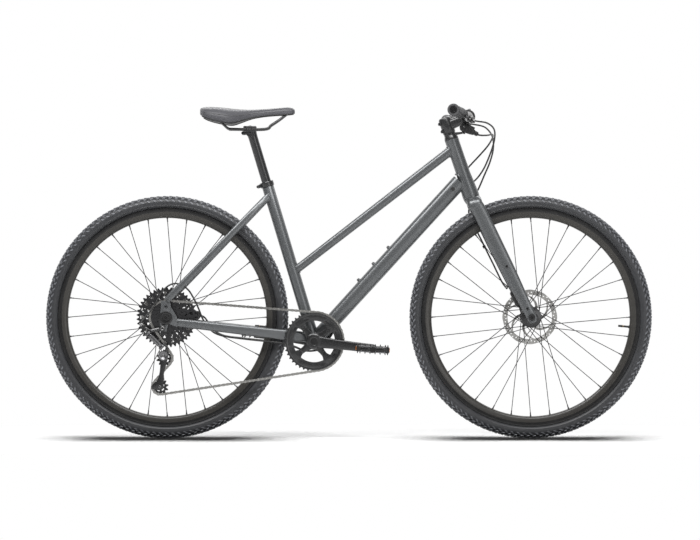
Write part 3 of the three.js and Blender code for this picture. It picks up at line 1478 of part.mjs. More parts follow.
// Lever blade: from its pivot outward along the bar, curling forward at the tip
function brakeLever() {
  const eye = rod(
    leverPivot.clone().addScaledVector(leverNormal, leverThickness / 2),
    leverPivot.clone().addScaledVector(leverNormal, -leverThickness / 2),
    leverPivotRadius, leverPivotRadius, smallSides);
  const shares = [[0, 0, 1], [0.2, 0.45, 1], [0.5, 0.62, 0.95], [0.85, 0.85, 0.9], [1, 1.2, 0.75]];
  const rise = leverTipReach - leverPivotReach;
  const rings = shares.map(([along, out, wide]) => {
    const at = leverPivot.clone().addScaledVector(outboard, along * leverLength)
      .addScaledVector(reachOut, out * rise);
    return section(at, reachOut, leverNormal, leverBladeWidth * wide, leverThickness * wide, smallSides, 0.8);
  });
  return join(eye, loft(rings));
}

// Shifter pod hung under the bar, and its thumb paddle
const podCentre = barPlace(shifterPosition).add(new Vector3(shifterReach, 0, -shifterDrop));
function shifterPod() {
  const ring = clampRing(shifterPosition - perchWidth / 2, perchWidth);
  const angle = -shifterTilt * degree;
  const outlineShares = [
    [-0.5, 0.2], [-0.3, 0.5], [0.2, 0.5], [0.5, 0.15], [0.44, -0.3], [0.1, -0.5], [-0.36, -0.5],
    [-0.5, -0.2]];
  const points = turnedAbout(
    podCentre, angle, outlineShares.map(([x, z]) => [x * shifterLength, z * shifterHeight]));
  const pod = plate(polygon(points), podCentre.y - shifterWidth / 2, podCentre.y + shifterWidth / 2);
  const top = barPlace(shifterPosition)
    .addScaledVector(new Vector3(0, 0, -1), barRadius + gap + perchWall / 2);
  const neck = rod(top, podCentre, perchWidth / 2, perchWidth / 2, smallSides);
  return join(ring, pod, neck);
}

const podAlong = new Vector3(Math.cos(shifterTilt * degree), 0, -Math.sin(shifterTilt * degree));
const podDown = new Vector3(podAlong.z, 0, -podAlong.x);
const paddlePivot = podCentre.clone().addScaledVector(podAlong, -shifterLength / 8)
  .addScaledVector(podDown, shifterHeight / 2);
function shiftPaddle() {
  const below = (point, depth) => point.clone().addScaledVector(podDown, gap + depth);
  const [rootShare, tipShare] = [[0.7, 0.9], [1, 1.4]];
  const [backShare, inwardShare] = [0.6, 0.75];
  const disc = rod(
    below(paddlePivot, 0), below(paddlePivot, shiftLeverThickness), shiftLeverWidth / 2, shiftLeverWidth / 2);
  const tip = paddlePivot.clone().add(
    new Vector3(-shiftLeverLength * backShare, shiftLeverLength * inwardShare, 0));
  const start = below(paddlePivot, shiftLeverThickness / 2);
  const end = below(tip, shiftLeverThickness);
  const across = end.clone().sub(start).cross(podDown).normalize();
  const bladeEnd = (at, [wide, thick]) => section(
    at, across, podDown, wide * shiftLeverWidth, thick * shiftLeverThickness, smallSides, 0.7);
  return join(disc, loft([bladeEnd(start, rootShare), bladeEnd(end, tipShare)]));
}

addPiece('grip_right', grip(), rubber());
addPiece('grip_left', mirrored(grip()), rubber());
addPiece('brake_perch_right', brakePerch(), satinBlack());
addPiece('brake_perch_left', mirrored(brakePerch()), satinBlack());
addPiece('brake_lever_right', brakeLever(), blackAlloy());
addPiece('brake_lever_left', mirrored(brakeLever()), blackAlloy());
addPiece('shifter', shifterPod(), blackPlastic());
addPiece('shift_lever', shiftPaddle(), blackPlastic());

// Callipers: a rounded block over the rotor edge, slotted by the disc it grips
function calliper(axle, rotorY, angle, lean) {
  const centre = axle.clone().add(
    new Vector3(calliperReach * Math.cos(angle), 0, calliperReach * Math.sin(angle)));
  const [half, tall, bevel] = [calliperLength / 2, calliperHeight / 2, calliperHeight / 4];
  const outline = [
    [-half, -tall + bevel], [-half + bevel, -tall], [half - bevel, -tall], [half, -tall + bevel],
    [half, tall - bevel], [half - bevel, tall], [-half + bevel, tall], [-half, tall - bevel]];
  const points = turnedAbout(centre, lean, outline);
  const centreY = rotorY + calliperShift;
  const body = plate(polygon(points), centreY - calliperWidth / 2, centreY + calliperWidth / 2);
  const slotHalf = rotorThickness / 2 + gap;
  const slot = crossRod(
    axle.x, axle.z, rotorY - slotHalf, rotorY + slotHalf, rotorRadius + calliperRoom, wheelSides);
  return cut(body, slot);
}

const [legRoot] = legStations();
const legAngle = Math.atan2(frontAxle.z - legRoot.at.z, frontAxle.x - legRoot.at.x);
const frontCalliper = calliper(frontAxle, rotorYFront, Math.PI - frontCalliperTurn * degree, legAngle);
const rearCalliper = calliper(rearAxle, rotorYRear, rearCalliperTurn * degree, -rearCalliperLean * degree);
addPiece('front_calliper', cut(frontCalliper, mirrored(legTool)), blackAlloy());
addPiece('rear_calliper', cut(rearCalliper, mirrored(chainstayTool)), blackAlloy());

// Seatpost with its clamp block round the two rails
const clampCentre = seatPoint(seatpostTop).setZ(railHeight);
clampCentre.x += clampForward;
function railPath() {
  const [x, z] = [clampCentre.x, railHeight];
  const shares = [
    [-0.33, 2.1, 0.66], [-0.29, 2.1, 0.4], [-0.235, 1.5, 0.06], [-0.17, 1.05, 0], [0.15, 1, 0],
    [0.22, 0.92, 0.28], [0.3, 0.7, 0.62], [0.4, 0.45, 0.9], [0.44, 0, 0.95]];
  return shares.map(([along, spread, up]) => new Vector3(
    x + along * saddleLength, -spread * railSpread, z + up * railRise));
}

function seatpost() {
  const top = seatPoint(seatpostTop);
  const post = rod(
    seatPoint(seatpostTop - seatpostLength), top, seatpostRadius, seatpostRadius, tubeSides);
  const block = bar(clampCentre, 0, clampLength, postHeadWidth + 4 * railRadius, clampHeight);
  const yoke = crossRod(
    top.x, top.z - postHeadRadius / 2, -postHeadWidth / 2, postHeadWidth / 2, postHeadRadius);
  const knob = rod(
    clampCentre.clone().add(new Vector3(-knobReach, 0, -clampHeight / 2)), clampCentre, knobRadius,
    knobRootRadius, smallSides);
  const grooves = [-1, 1].map((side) => flatRod(
    new Vector3(clampCentre.x - clampLength, side * railSpread, railHeight),
    new Vector3(clampCentre.x + clampLength, side * railSpread, railHeight), railRadius + 2 * gap));
  return cut(join(post, block, yoke, knob), ...grooves);
}

// Saddle: rings from tail to nose, each with its crown, side skirt and hollow underside
function saddleSolid(grow = 0) {
  const rowShares = [
    [0, 0.52, 0.6, 0.46], [0.05, 0.83, 0.05, 0.66], [0.15, 0.98, 0, 0.84], [0.26, 1, 0.3, 0.96],
    [0.34, 0.9, 0.62, 1], [0.43, 0.7, 0.9, 0.86], [0.54, 0.46, 1, 0.66], [0.67, 0.32, 0.8, 0.54],
    [0.8, 0.27, 0.45, 0.48], [0.91, 0.245, 0.1, 0.45], [0.97, 0.19, 0.3, 0.42], [1, 0.1, 1.1, 0.38]];
  const crossShares = [
    [0, 0, 0], [0.4, 0.03, 0], [0.74, 0.14, 0], [0.94, 0.42, 0], [1, 0.72, 0],
    [0.94, 1, 0], [0.6, 1, 0.35], [0, 1, 0.6]];
  const rear = saddleFront - saddleLength;
  const rings = rowShares.map(([along, wide, dip, deep], row) => {
    const end = row === 0 ? -1 : Number(row === rowShares.length - 1);
    const x = rear + along * saddleLength + end * grow;
    const top = saddleTop - dip * saddleDip + grow;
    const base = saddleTop - deep * saddleWingDrop - grow;
    const half = wide * saddleWidth / 2 + grow;
    const corner = ([across, down, hollow], side) => new Vector3(
      x, side * across * half, top - down * (top - base) + hollow * saddleHollow * wide);
    return [
      ...crossShares.map((share) => corner(share, 1)),
      ...crossShares.slice(1, -1).reverse().map((share) => corner(share, -1))];
  });
  return loft(rings);
}

function saddleRails() {
  const right = railPath();
  const left = right.slice(0, -1).reverse().map((point) => point.clone().setY(-point.y));
  return cut(roundTube([...right, ...left], railRadius, smallSides), saddleSolid(gap));
}

addPiece('seatpost', seatpost(), satinBlack());
addPiece('saddle', saddleSolid(), finish(0x3a383c, 0.6, 0));
addPiece('saddle_rails', saddleRails(), steel());

// Rear derailleur: knuckle on the hanger, slanted link, lower knuckle and cage with two pulleys
const mechPin = new Vector3(Math.cos(mechPinAngle * degree), 0, Math.sin(mechPinAngle * degree));
const mechUpper = hangerBolt.clone().add(new Vector3(-mechUpperReach, -mechUpperOut, -mechUpperDrop));
const mechLower = cagePivot.clone().add(new Vector3(-mechLowerReach, -mechLowerOut, mechLowerRise));
const pinPlace = (centre, height) => centre.clone().addScaledVector(mechPin, height);
const mechEyeHalf = mechLinkWidth / 2;

const stopStart = pinPlace(mechUpper, mechEyeHalf + gap + mechPlate / 2);
const housingEnd = mechUpper.clone().add(new Vector3(-housingStopReach, 0, housingStopRise));
const stopAlong = housingEnd.clone().sub(stopStart).normalize();

function mechPinAndPlate(centre, reachTo, armRadius, ...more) {
  const pin = rod(
    pinPlace(centre, -mechEyeHalf), pinPlace(centre, mechEyeHalf + 2 * gap), mechPinRadius, mechPinRadius,
    smallSides);
  const cap = rod(
    pinPlace(centre, mechEyeHalf + gap), pinPlace(centre, mechEyeHalf + gap + mechPlate), mechLinkThickness,
    mechLinkThickness, smallSides);
  const arm = rod(
    pinPlace(centre, mechEyeHalf + gap + mechPlate / 2), reachTo, armRadius, armRadius, smallSides);
  const room = flatRod(
    pinPlace(centre, -3 * mechEyeHalf), pinPlace(centre, mechEyeHalf + gap), mechLinkThickness + runningGap);
  return join(cut(join(arm, ...more), room), pin, cap);
}

function upperKnuckle() {
  const face = -(dropoutOuter + gap);
  const barrel = crossRod(hangerBolt.x, hangerBolt.z, face - mechBarrelWidth, face, mechBarrelRadius);
  const target = new Vector3(hangerBolt.x, face - mechBarrelWidth / 2, hangerBolt.z);
  const housingStop = rod(stopStart, housingEnd, stopRootRadius, stopRadius, smallSides);
  return join(barrel, mechPinAndPlate(mechUpper, target, mechUpperArmRadius, housingStop));
}

function mechLink() {
  const along = mechLower.clone().sub(mechUpper).normalize();
  const across = along.clone().cross(mechPin);
  const eye = (centre) => rod(
    pinPlace(centre, -mechEyeHalf), pinPlace(centre, mechEyeHalf), mechLinkThickness, mechLinkThickness,
    smallSides);
  const skin = loft([mechUpper, mechLower].map(
    (centre) => section(centre, across, mechPin, mechSkinHeight, mechSkinWidth, smallSides, 0.6)));
  const bores = [mechUpper, mechLower].map((centre) => flatRod(
    pinPlace(centre, -mechLinkWidth), pinPlace(centre, mechLinkWidth), mechPinRadius + gap));
  return cut(join(skin, eye(mechUpper), eye(mechLower)), ...bores);
}

const knuckleFace = -(chainLine + cageInside + cageThickness + runningGap);
function lowerKnuckle() {
  const barrel = crossRod(
    cagePivot.x, cagePivot.z, knuckleFace - knuckleWidth, knuckleFace, knuckleRadius);
  const target = new Vector3(cagePivot.x + knuckleRadius / 3, knuckleFace - knuckleWidth / 2, cagePivot.z);
  const elbow = pinPlace(mechLower, mechEyeHalf + gap + mechPlate / 2)
    .addScaledVector(new Vector3(mechPin.z, 0, -mechPin.x), mechElbowReach);
  const arm = rod(elbow, target, mechArmRadius, mechArmEndRadius, smallSides);
  const bore = crossRod(
    cagePivot.x, cagePivot.z, knuckleFace - knuckleWidth / 2, knuckleFace + overrun,
    flatRadius(cagePinRadius + gap, smallSides), smallSides);
  return cut(join(barrel, arm, mechPinAndPlate(mechLower, elbow, mechArmRadius)), bore);
}

// Cage: two plates held apart by the pulley bolts, its axle pointing outward into the knuckle
function cage() {
  const along = tensionCentre.clone().sub(guideCentre).normalize();
  const back = new Vector3(along.z, 0, -along.x);
  const place = (share, side) => {
    const point = guideCentre.clone().addScaledVector(along, share * cageLength)
      .addScaledVector(back, side * cageWidth / 2);
    return [point.x, point.z];
  };
  const outlineShares = [
    [-0.16, 0], [-0.1, 0.75], [0.1, 1.05], [0.5, 0.8], [0.8, 1.1], [0.95, 2.2], [1.12, 2.3], [1.14, 0.6],
    [1.1, -0.6], [0.98, -1], [0.6, -0.5], [0.2, -0.7], [-0.08, -0.8]];
  const shape = () => polygon(outlineShares.map(([share, side]) => place(share, side)));
  const inner = plate(shape(), cageInside, cageInside + cageThickness);
  const outer = plate(shape(), -cageInside - cageThickness, -cageInside);
  const bolts = [guideCentre, tensionCentre].map(({ x, z }) => crossRod(
    x, z, -cageInside - cageThickness / 2, cageInside + cageThickness / 2, pulleyBoltRadius, smallSides));
  const pin = crossRod(
    cagePivot.x, cagePivot.z, knuckleFace + chainLine - knuckleWidth / 2 + gap,
    -cageInside - cageThickness / 2, cagePinRadius, smallSides);
  return join(inner, outer, ...bolts, pin);
}

function pulley(name, order, centre) {
  const disc = toothedDisc(pulleyTeeth, toothPhase(order), true, pulleyThickness);
  const boss = crossRod(0, 0, -cageInside + gap, cageInside - gap, pulleyHubRadius, smallSides);
  const boreRadius = flatRadius(pulleyBoltRadius + gap, smallSides);
  const bore = crossRod(0, 0, -2 * overrun, 2 * overrun, boreRadius, smallSides);
  const group = groupAt(centre.clone().setY(-chainLine));
  addPiece(name, cut(join(disc, boss), bore), blackPlastic(), group);
}

addPiece('derailleur_knuckle_upper', upperKnuckle(), blackAlloy());
addPiece('derailleur_link', mechLink(), finish(0x4a4b4e, 0.4, 0.7));
addPiece('derailleur_knuckle_lower', lowerKnuckle(), blackAlloy());
addPiece('derailleur_cage', cage(), blackAlloy(), groupAt(new Vector3(0, -chainLine, 0)));
pulley('guide_pulley', wheelOrder.guide, guideCentre);
pulley('tension_pulley', wheelOrder.tension, tensionCentre);

// Brake hoses and gear housing along their routes, from the controls to what they work
function line(name, points, steps) {
  const places = points.map((point) => new Vector3(...point));
  const curve = new THREE.CatmullRomCurve3(places, false, 'centripetal');
  addPiece(name, roundTube(curve.getPoints(steps), hoseRadius, hoseSides), rubber());
}

const beyond = (start, direction, distance) => start.clone().addScaledVector(direction, distance);
const inboard = outboard.clone().negate();
const perchExit = [beyond(hoseStart, inboard, 2 * gap), beyond(hoseStart, inboard, 3 * hoseRadius)];
const leftExit = perchExit.map((point) => point.clone().setY(-point.y));
const podExit = [gap, 4 * hoseRadius].map((away) => beyond(podCentre, podAlong, shifterLength / 2 + away));
const stopExit = [3 * hoseRadius, 2 * gap].map((away) => beyond(housingEnd, stopAlong, away));
line('rear_brake_hose', [
  ...perchExit.map((point) => point.toArray()), [366, -104, 918], [398, -72, 914], [420, -34, 898],
  [423, 6, 868], [410, 37, 823], [391, 45, 781], [366, 43, 750], [336, 33, 735], [308, 19, 725],
  [284, 7, 703], [205, 7, 612], [62, 6, 455], [-4, 6, 376], [-34, 6, 328], [-58, 6, 290],
  [-80, 6, 262], [-104, 7, 255], [-130, 12, 256], [-158, 24, 267], [-190, 31, 277], [-300, 40, 290],
  [-372, 42, 301], [-402, 44, 322], [-416, 47, 344], [-424, 49, 353], [-433.5, 50, 356]], rearHoseSteps);
line('shift_housing', [
  ...podExit.map((point) => point.toArray()), [394, -128, 876], [412, -92, 880], [415, -46, 872],
  [403, 0, 850], [377, 29, 820], [350, 37, 791], [326, 33, 761], [303, 20, 731], [281, 6, 708],
  [258, -6, 684], [200, -7, 608], [60, -6, 455], [-4, -6, 376], [-34, -6, 328], [-58, -6, 290],
  [-80, -6, 262], [-104, -7, 255], [-130, -12, 256], [-158, -24, 267], [-190, -31, 277],
  [-300, -40, 290], [-368, -41, 300], [-395, -43, 312], [-420, -46, 343], [-436, -49, 381],
  [-450, -50, 410], [-465, -51, 433], [-485, -52, 447], [-505, -54, 451], [-528, -57, 440],
  [-549, -61, 411], [-564, -66, 384], [-584, -73, 358],
  ...stopExit.map((point) => point.toArray())], housingSteps);
line('front_brake_hose', [
  ...leftExit.map((point) => point.toArray()), [368, 104, 918], [400, 80, 908], [420, 62, 880],
  [422, 56, 845], [412, 54, 805], [395, 54, 765], [380, 55, 730], [364, 55, 700], [351, 49, 670],
  [353, 43, 640], [373, 40, 604], [418, 44, 514], [452, 46, 447], [463, 46, 435]], frontHoseSteps);

export default bicycle;
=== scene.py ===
# Step-through bicycle with a low frame, disc brakes and a nine-sprocket chain drive.
# Metres: +X forward, +Y the rider's left, +Z up, origin on the ground halfway between the axles.

import math

import bmesh
import bpy
from bpy.props import FloatProperty, FloatVectorProperty, IntProperty, PointerProperty
from mathutils import Matrix, Vector


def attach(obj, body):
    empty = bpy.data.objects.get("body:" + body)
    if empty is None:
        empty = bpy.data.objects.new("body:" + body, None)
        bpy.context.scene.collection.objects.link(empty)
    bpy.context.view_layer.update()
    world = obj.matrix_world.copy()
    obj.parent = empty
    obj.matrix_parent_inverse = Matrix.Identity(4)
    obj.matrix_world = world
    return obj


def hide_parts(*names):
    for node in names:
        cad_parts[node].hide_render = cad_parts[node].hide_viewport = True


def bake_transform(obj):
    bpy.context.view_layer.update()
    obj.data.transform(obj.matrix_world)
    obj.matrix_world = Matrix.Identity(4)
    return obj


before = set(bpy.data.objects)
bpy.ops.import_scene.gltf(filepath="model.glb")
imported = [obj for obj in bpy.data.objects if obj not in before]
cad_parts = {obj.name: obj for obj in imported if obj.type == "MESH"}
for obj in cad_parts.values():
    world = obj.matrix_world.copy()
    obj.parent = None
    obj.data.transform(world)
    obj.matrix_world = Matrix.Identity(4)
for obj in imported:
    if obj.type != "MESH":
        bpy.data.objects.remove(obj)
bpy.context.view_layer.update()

bl_info = {
    "name": "Step-through bicycle",
    "version": (1, 0, 0),
    "blender": (4, 5, 0),
    "location": "3D View > Sidebar > Bicycle",
    "description": "Dresses the bicycle's solids with detailed pieces and finishes",
    "category": "Add Mesh",
}

MM = 0.001
TURN = 2 * math.pi
LEFT = Vector((0, 1, 0))


def mm(x, y, z):
    """A place in metres from millimetres."""
    return Vector((x, y, z)) * MM


# Places that the frame is laid out from
REAR_AXLE = mm(-528, 0, 353)
FRONT_AXLE = mm(528, 0, 353)
BRACKET = mm(-100.647, 0, 283.3)
SEAT_UP = Vector((-math.cos(math.radians(73.25)), 0, math.sin(math.radians(73.25))))
STEER_UP = Vector((-math.cos(math.radians(71.1)), 0, math.sin(math.radians(71.1))))
STEER_FORWARD = Vector((STEER_UP.z, 0, -STEER_UP.x))
STEER_FOOT = FRONT_AXLE - STEER_FORWARD * 50 * MM
CHAIN_LINE = 42 * MM
PITCH = 12.7 * MM


def on_seat(height):
    """A place on the seat tube's axis, by its height above the bracket in millimetres."""
    return BRACKET + SEAT_UP * height * MM


def on_steerer(height):
    """A place on the steering axis, in millimetres above its foot."""
    return STEER_FOOT + STEER_UP * height * MM


# Sizes and colours that a user may change
class WheelSizes(bpy.types.PropertyGroup):
    """Sizes of the tyres, spokes and tread."""

    crown_radius: FloatProperty(
        name="Tyre radius", description="Axle to the top of the tread", default=0.353, unit="LENGTH")
    knob_height: FloatProperty(
        name="Knob height", description="Height of the centre tread blocks", default=0.0026, unit="LENGTH")
    tread_pitches: IntProperty(
        name="Tread pitches", description="Repeats of the tread round the tyre", default=118, min=24, max=160)
    spoke_radius: FloatProperty(
        name="Spoke radius", description="Half the thickness of a spoke", default=0.0011, unit="LENGTH")
    round_steps: IntProperty(
        name="Round steps", description="Facets round each tyre and rim", default=144, min=48, max=240)


class FrameSizes(bpy.types.PropertyGroup):
    """Sizes of the frame's tubes and welds."""

    down_tube_width: FloatProperty(
        name="Down tube width", description="Width of the down tube", default=0.044, unit="LENGTH")
    down_tube_height: FloatProperty(
        name="Down tube height", description="Height of the down tube", default=0.046, unit="LENGTH")
    weld_radius: FloatProperty(
        name="Weld radius", description="Radius of the weld beads", default=0.0026, unit="LENGTH")
    tube_steps: IntProperty(
        name="Tube steps", description="Facets round each frame tube", default=40, min=16, max=96)


class BicycleColours(bpy.types.PropertyGroup):
    """Colours of the paint and the covers."""

    paint: FloatVectorProperty(
        name="Frame paint", description="Satin grey of frame and fork", default=(0.105, 0.110, 0.114),
        subtype="COLOR", min=0, max=1)
    black: FloatVectorProperty(
        name="Satin black", description="Black of stem, post, rims and guard", default=(0.016, 0.0162, 0.017),
        subtype="COLOR", min=0, max=1)
    tyre: FloatVectorProperty(
        name="Tyre rubber", description="Dark grey of the tyres", default=(0.030, 0.031, 0.034),
        subtype="COLOR", min=0, max=1)
    saddle: FloatVectorProperty(
        name="Saddle cover", description="Dark grey of the saddle", default=(0.064, 0.064, 0.071),
        subtype="COLOR", min=0, max=1)


# Making meshes: everything is deselected before a piece is started
def deselect():
    """Leaves edit mode with nothing selected."""
    if bpy.context.object and bpy.context.object.mode != "OBJECT":
        bpy.ops.object.mode_set(mode="OBJECT")
    bpy.ops.object.select_all(action="DESELECT")


def select_only(*pieces):
    """Selects these objects, the first one active."""
    deselect()
    for piece in pieces:
        piece.select_set(True)
    bpy.context.view_layer.objects.active = pieces[0]


def edit(piece):
    """Opens one object in edit mode."""
    select_only(piece)
    bpy.ops.object.mode_set(mode="EDIT")
    bpy.ops.mesh.select_mode(type="VERT")


def new_circle(name, count):
    """A circle of vertices, in edit mode and all selected."""
    deselect()
    bpy.ops.mesh.primitive_circle_add(vertices=count, radius=1, fill_type="NOTHING")
    piece = bpy.context.object
    piece.name = name
    bpy.ops.object.mode_set(mode="EDIT")
    bpy.ops.mesh.select_mode(type="VERT")
    return piece


def put_selected(piece, places):
    """Moves the selected vertices, in their order, to these places."""
    mesh = bmesh.from_edit_mesh(piece.data)
    chosen = [vert for vert in mesh.verts if vert.select]
    for vert, place in zip(chosen, places):
        vert.co = place
    bmesh.update_edit_mesh(piece.data)
    return [tuple(vert.co) for vert in chosen]


def extrude_to(piece, before, places):
    """Extrudes the selected ring and moves each new vertex to its place."""
    bpy.ops.mesh.extrude_edges_move()
    mesh = bmesh.from_edit_mesh(piece.data)
    order = {spot: step for step, spot in enumerate(before)}
    moved = [None] * len(places)
    for vert in mesh.verts:
        if vert.select:
            step = order[tuple(vert.co)]
            vert.co = places[step]
            moved[step] = tuple(vert.co)
    bmesh.update_edit_mesh(piece.data)
    return moved


def select_ring(piece, spots):
    """Selects the vertices that lie at these places."""
    bpy.ops.mesh.select_all(action="DESELECT")
    wanted = set(spots)
    mesh = bmesh.from_edit_mesh(piece.data)
    for vert in mesh.verts:
        vert.select = tuple(vert.co) in wanted
    mesh.select_flush(True)
    bmesh.update_edit_mesh(piece.data)


def in_mm(rows):
    """Rows of numbers in millimetres, in metres."""
    return [tuple(number * MM for number in row) for row in rows]


def close_up():
    """Merges doubles and turns every face outwards."""
    bpy.ops.mesh.select_all(action="SELECT")
    bpy.ops.mesh.remove_doubles(threshold=1e-6)
    bpy.ops.mesh.normals_make_consistent(inside=False)
    bpy.ops.object.mode_set(mode="OBJECT")


def skin(name, rings, capped=True):
    """A skin extruded from ring to ring; a last ring equal to the first closes it into a loop."""
    piece = new_circle(name, len(rings[0]))
    spots = first = put_selected(piece, rings[0])
    for ring in rings[1:]:
        spots = extrude_to(piece, spots, ring)
    if capped:
        bpy.ops.mesh.edge_face_add()
        select_ring(piece, first)
        bpy.ops.mesh.edge_face_add()
    close_up()
    return piece


def turned(name, profile, centre, axis, steps, closed=False):
    """A profile of (radius, height) in metres, turned about an axis."""
    axis = axis.normalized()
    side = axis.cross(Vector((0, 0, 1)) if abs(axis.z) < 0.9 else Vector((1, 0, 0))).normalized()
    up = axis.cross(side)
    rings = []
    for radius, height in profile + ([profile[0]] if closed else []):
        middle = centre + axis * height
        rings.append([
            middle + (side * math.cos(TURN * i / steps) + up * math.sin(TURN * i / steps)) * radius
            for i in range(steps)])
    return skin(name, rings, capped=not closed)


def rod(name, start, end, radius, steps=20, end_radius=None, bevel=0.0):
    """A round rod, its end edges broken by a small chamfer."""
    length = (end - start).length
    last = radius if end_radius is None else end_radius
    profile = [(radius, 0), (last, length)]
    if bevel:
        profile = [(radius - bevel, 0), (radius, bevel), (last, length - bevel), (last - bevel, length)]
    return turned(name, profile, start, end - start, steps)


def section(centre, side, up, width, height, steps, squareness=1.0):
    """A ring of places: squareness 1 is an ellipse, less is squarer."""
    ring = []
    for i in range(steps):
        angle = TURN * (i + 0.5) / steps
        across = math.copysign(abs(math.cos(angle)) ** squareness, math.cos(angle))
        rise = math.copysign(abs(math.sin(angle)) ** squareness, math.sin(angle))
        ring.append(centre + side * across * width / 2 + up * rise * height / 2)
    return ring


def eased(stations, steps):
    """Rows of numbers joined by a smooth curve through all of them."""
    rows = []
    last = len(stations) - 1
    for i in range(last):
        a, b, c, d = (stations[max(i - 1, 0)], stations[i], stations[i + 1], stations[min(i + 2, last)])
        for k in range(steps):
            t = k / steps
            rows.append([
                0.5 * (2 * q + (r - p) * t + (2 * p - 5 * q + 4 * r - s) * t * t
                       + (3 * q - p - 3 * r + s) * t ** 3)
                for p, q, r, s in zip(a, b, c, d)])
    rows.append(list(stations[last]))
    return rows


def headings(places):
    """The direction of travel at each place."""
    last = len(places) - 1
    return [(places[min(i + 1, last)] - places[max(i - 1, 0)]).normalized() for i in range(last + 1)]


def shaped_tube(name, stations, steps=40, squareness=0.8):
    """A tube through stations of (place, width, height), its width kept level."""
    ways = headings([station[0] for station in stations])
    rings = []
    for (place, width, height), way in zip(stations, ways):
        side = (LEFT - way * way.y).normalized()
        rings.append(section(place, side, way.cross(side), width, height, steps, squareness))
    return skin(name, rings)


def cut_back(piece, low, high, radius):
    """Cut a tube's end off where it would stand in another tube's bore."""
    bore = rod("bore", low, high, radius, 56)
    cut = piece.modifiers.new("Bore", "BOOLEAN")
    cut.operation = "DIFFERENCE"
    cut.solver = "EXACT"
    cut.object = bore
    bpy.ops.object.select_all(action="DESELECT")
    bpy.context.view_layer.objects.active = piece
    piece.select_set(True)
    bpy.ops.object.modifier_apply(modifier=cut.name)
    bpy.data.objects.remove(bore)
    return piece


def round_tube(name, places, radii, steps=14):
    """A round tube along places, its frame carried from ring to ring."""
    ways = headings(places)
    side = Vector((0, 0, 1)).cross(ways[0])
    if side.length < 0.3:
        side = Vector((1, 0, 0)).cross(ways[0])
    rings = []
    for i, (place, way) in enumerate(zip(places, ways)):
        side = (side - way * side.dot(way)).normalized()
        radius = radii[i] if isinstance(radii, list) else radii
        rings.append(section(place, side, way.cross(side), 2 * radius, 2 * radius, steps))
    return skin(name, rings)


def circle(radius, steps, x=0.0, z=0.0, phase=0.0):
    """Flat points on a circle in the XZ plane."""
    return [
        (x + radius * math.cos(phase + TURN * i / steps), z + radius * math.sin(phase + TURN * i / steps))
        for i in range(steps)]


def plate(name, outlines, low, high, bevel=0.0):
    """Outlines in the XZ plane, the first one outside, filled and extruded between two values of Y."""
    piece = new_circle(name, len(outlines[0]))
    put_selected(piece, [Vector((x, low, z)) for x, z in outlines[0]])
    for outline in outlines[1:]:
        bpy.ops.mesh.select_all(action="DESELECT")
        bpy.ops.mesh.primitive_circle_add(vertices=len(outline), radius=1, fill_type="NOTHING")
        put_selected(piece, [Vector((x, low, z)) for x, z in outline])
    bpy.ops.mesh.select_all(action="SELECT")
    bpy.ops.mesh.fill(use_beauty=True)
    bpy.ops.mesh.extrude_region_move(TRANSFORM_OT_translate={"value": (0, high - low, 0)})
    close_up()
    if bevel:
        modify(piece, "BEVEL", width=bevel, segments=2, limit_method="ANGLE", angle_limit=math.radians(50))
    return piece


def modify(piece, kind, **values):
    """Adds a modifier with these values and applies it."""
    select_only(piece)
    modifier = piece.modifiers.new(kind.title(), kind)
    for key, value in values.items():
        setattr(modifier, key, value)
    bpy.ops.object.modifier_apply(modifier=modifier.name)
    return piece


def smoothed(piece, levels=2):
    """Rounds a piece with a subdivision surface."""
    return modify(piece, "SUBSURF", levels=levels, render_levels=levels)


def block(name, centre, size, bevel, axes=None, taper=1.0):
    """A block with rounded edges, its top drawn in by the taper."""
    deselect()
    bpy.ops.mesh.primitive_cube_add(size=1, scale=size)
    piece = bpy.context.object
    piece.name = name
    bpy.ops.object.transform_apply(location=True, rotation=True, scale=True)
    if taper != 1.0:
        edit(piece)
        mesh = bmesh.from_edit_mesh(piece.data)
        for vert in mesh.verts:
            vert.select = vert.co.z > 0
        mesh.select_flush(True)
        bmesh.update_edit_mesh(piece.data)
        bpy.ops.transform.resize(value=(taper, taper, 1), center_override=(0, 0, size[2] / 2))
        bpy.ops.object.mode_set(mode="OBJECT")
    if bevel:
        modify(piece, "BEVEL", width=bevel, segments=2, limit_method="NONE")
    turn = axes if axes else Matrix.Identity(3)
    piece.data.transform(Matrix.Translation(centre) @ turn.to_4x4())
    return piece


def facing(forward, up):
    """Axes with X along forward and Z as near up as it can be."""
    x = forward.normalized()
    y = up.cross(x).normalized()
    return Matrix((x, y, x.cross(y))).transposed()


def copies(name, pattern, places):
    """One object from a pattern set at each matrix; the pattern itself is used up."""
    joined = bmesh.new()
    for place in places:
        count = len(joined.verts)
        joined.from_mesh(pattern.data)
        joined.verts.ensure_lookup_table()
        bmesh.ops.transform(joined, matrix=place, verts=joined.verts[count:])
    mesh = bpy.data.meshes.new(name)
    joined.to_mesh(mesh)
    joined.free()
    piece = bpy.data.objects.new(name, mesh)
    bpy.context.scene.collection.objects.link(piece)
    bpy.data.objects.remove(pattern)
    return piece


def joined(name, *pieces):
    """Several objects made into one, each with its own finish."""
    select_only(*pieces)
    if len(pieces) > 1:
        bpy.ops.object.join()
    piece = bpy.context.object
    piece.name = name
    return piece


def mirror_copy(piece, name):
    """The same piece on the other side of the middle plane."""
    twin = bpy.data.objects.new(name, piece.data.copy())
    bpy.context.scene.collection.objects.link(twin)
    edit(twin)
    bpy.ops.mesh.select_all(action="SELECT")
    bpy.ops.transform.resize(value=(1, -1, 1), center_override=(0, 0, 0))
    bpy.ops.mesh.normals_make_consistent(inside=False)
    bpy.ops.object.mode_set(mode="OBJECT")
    return twin


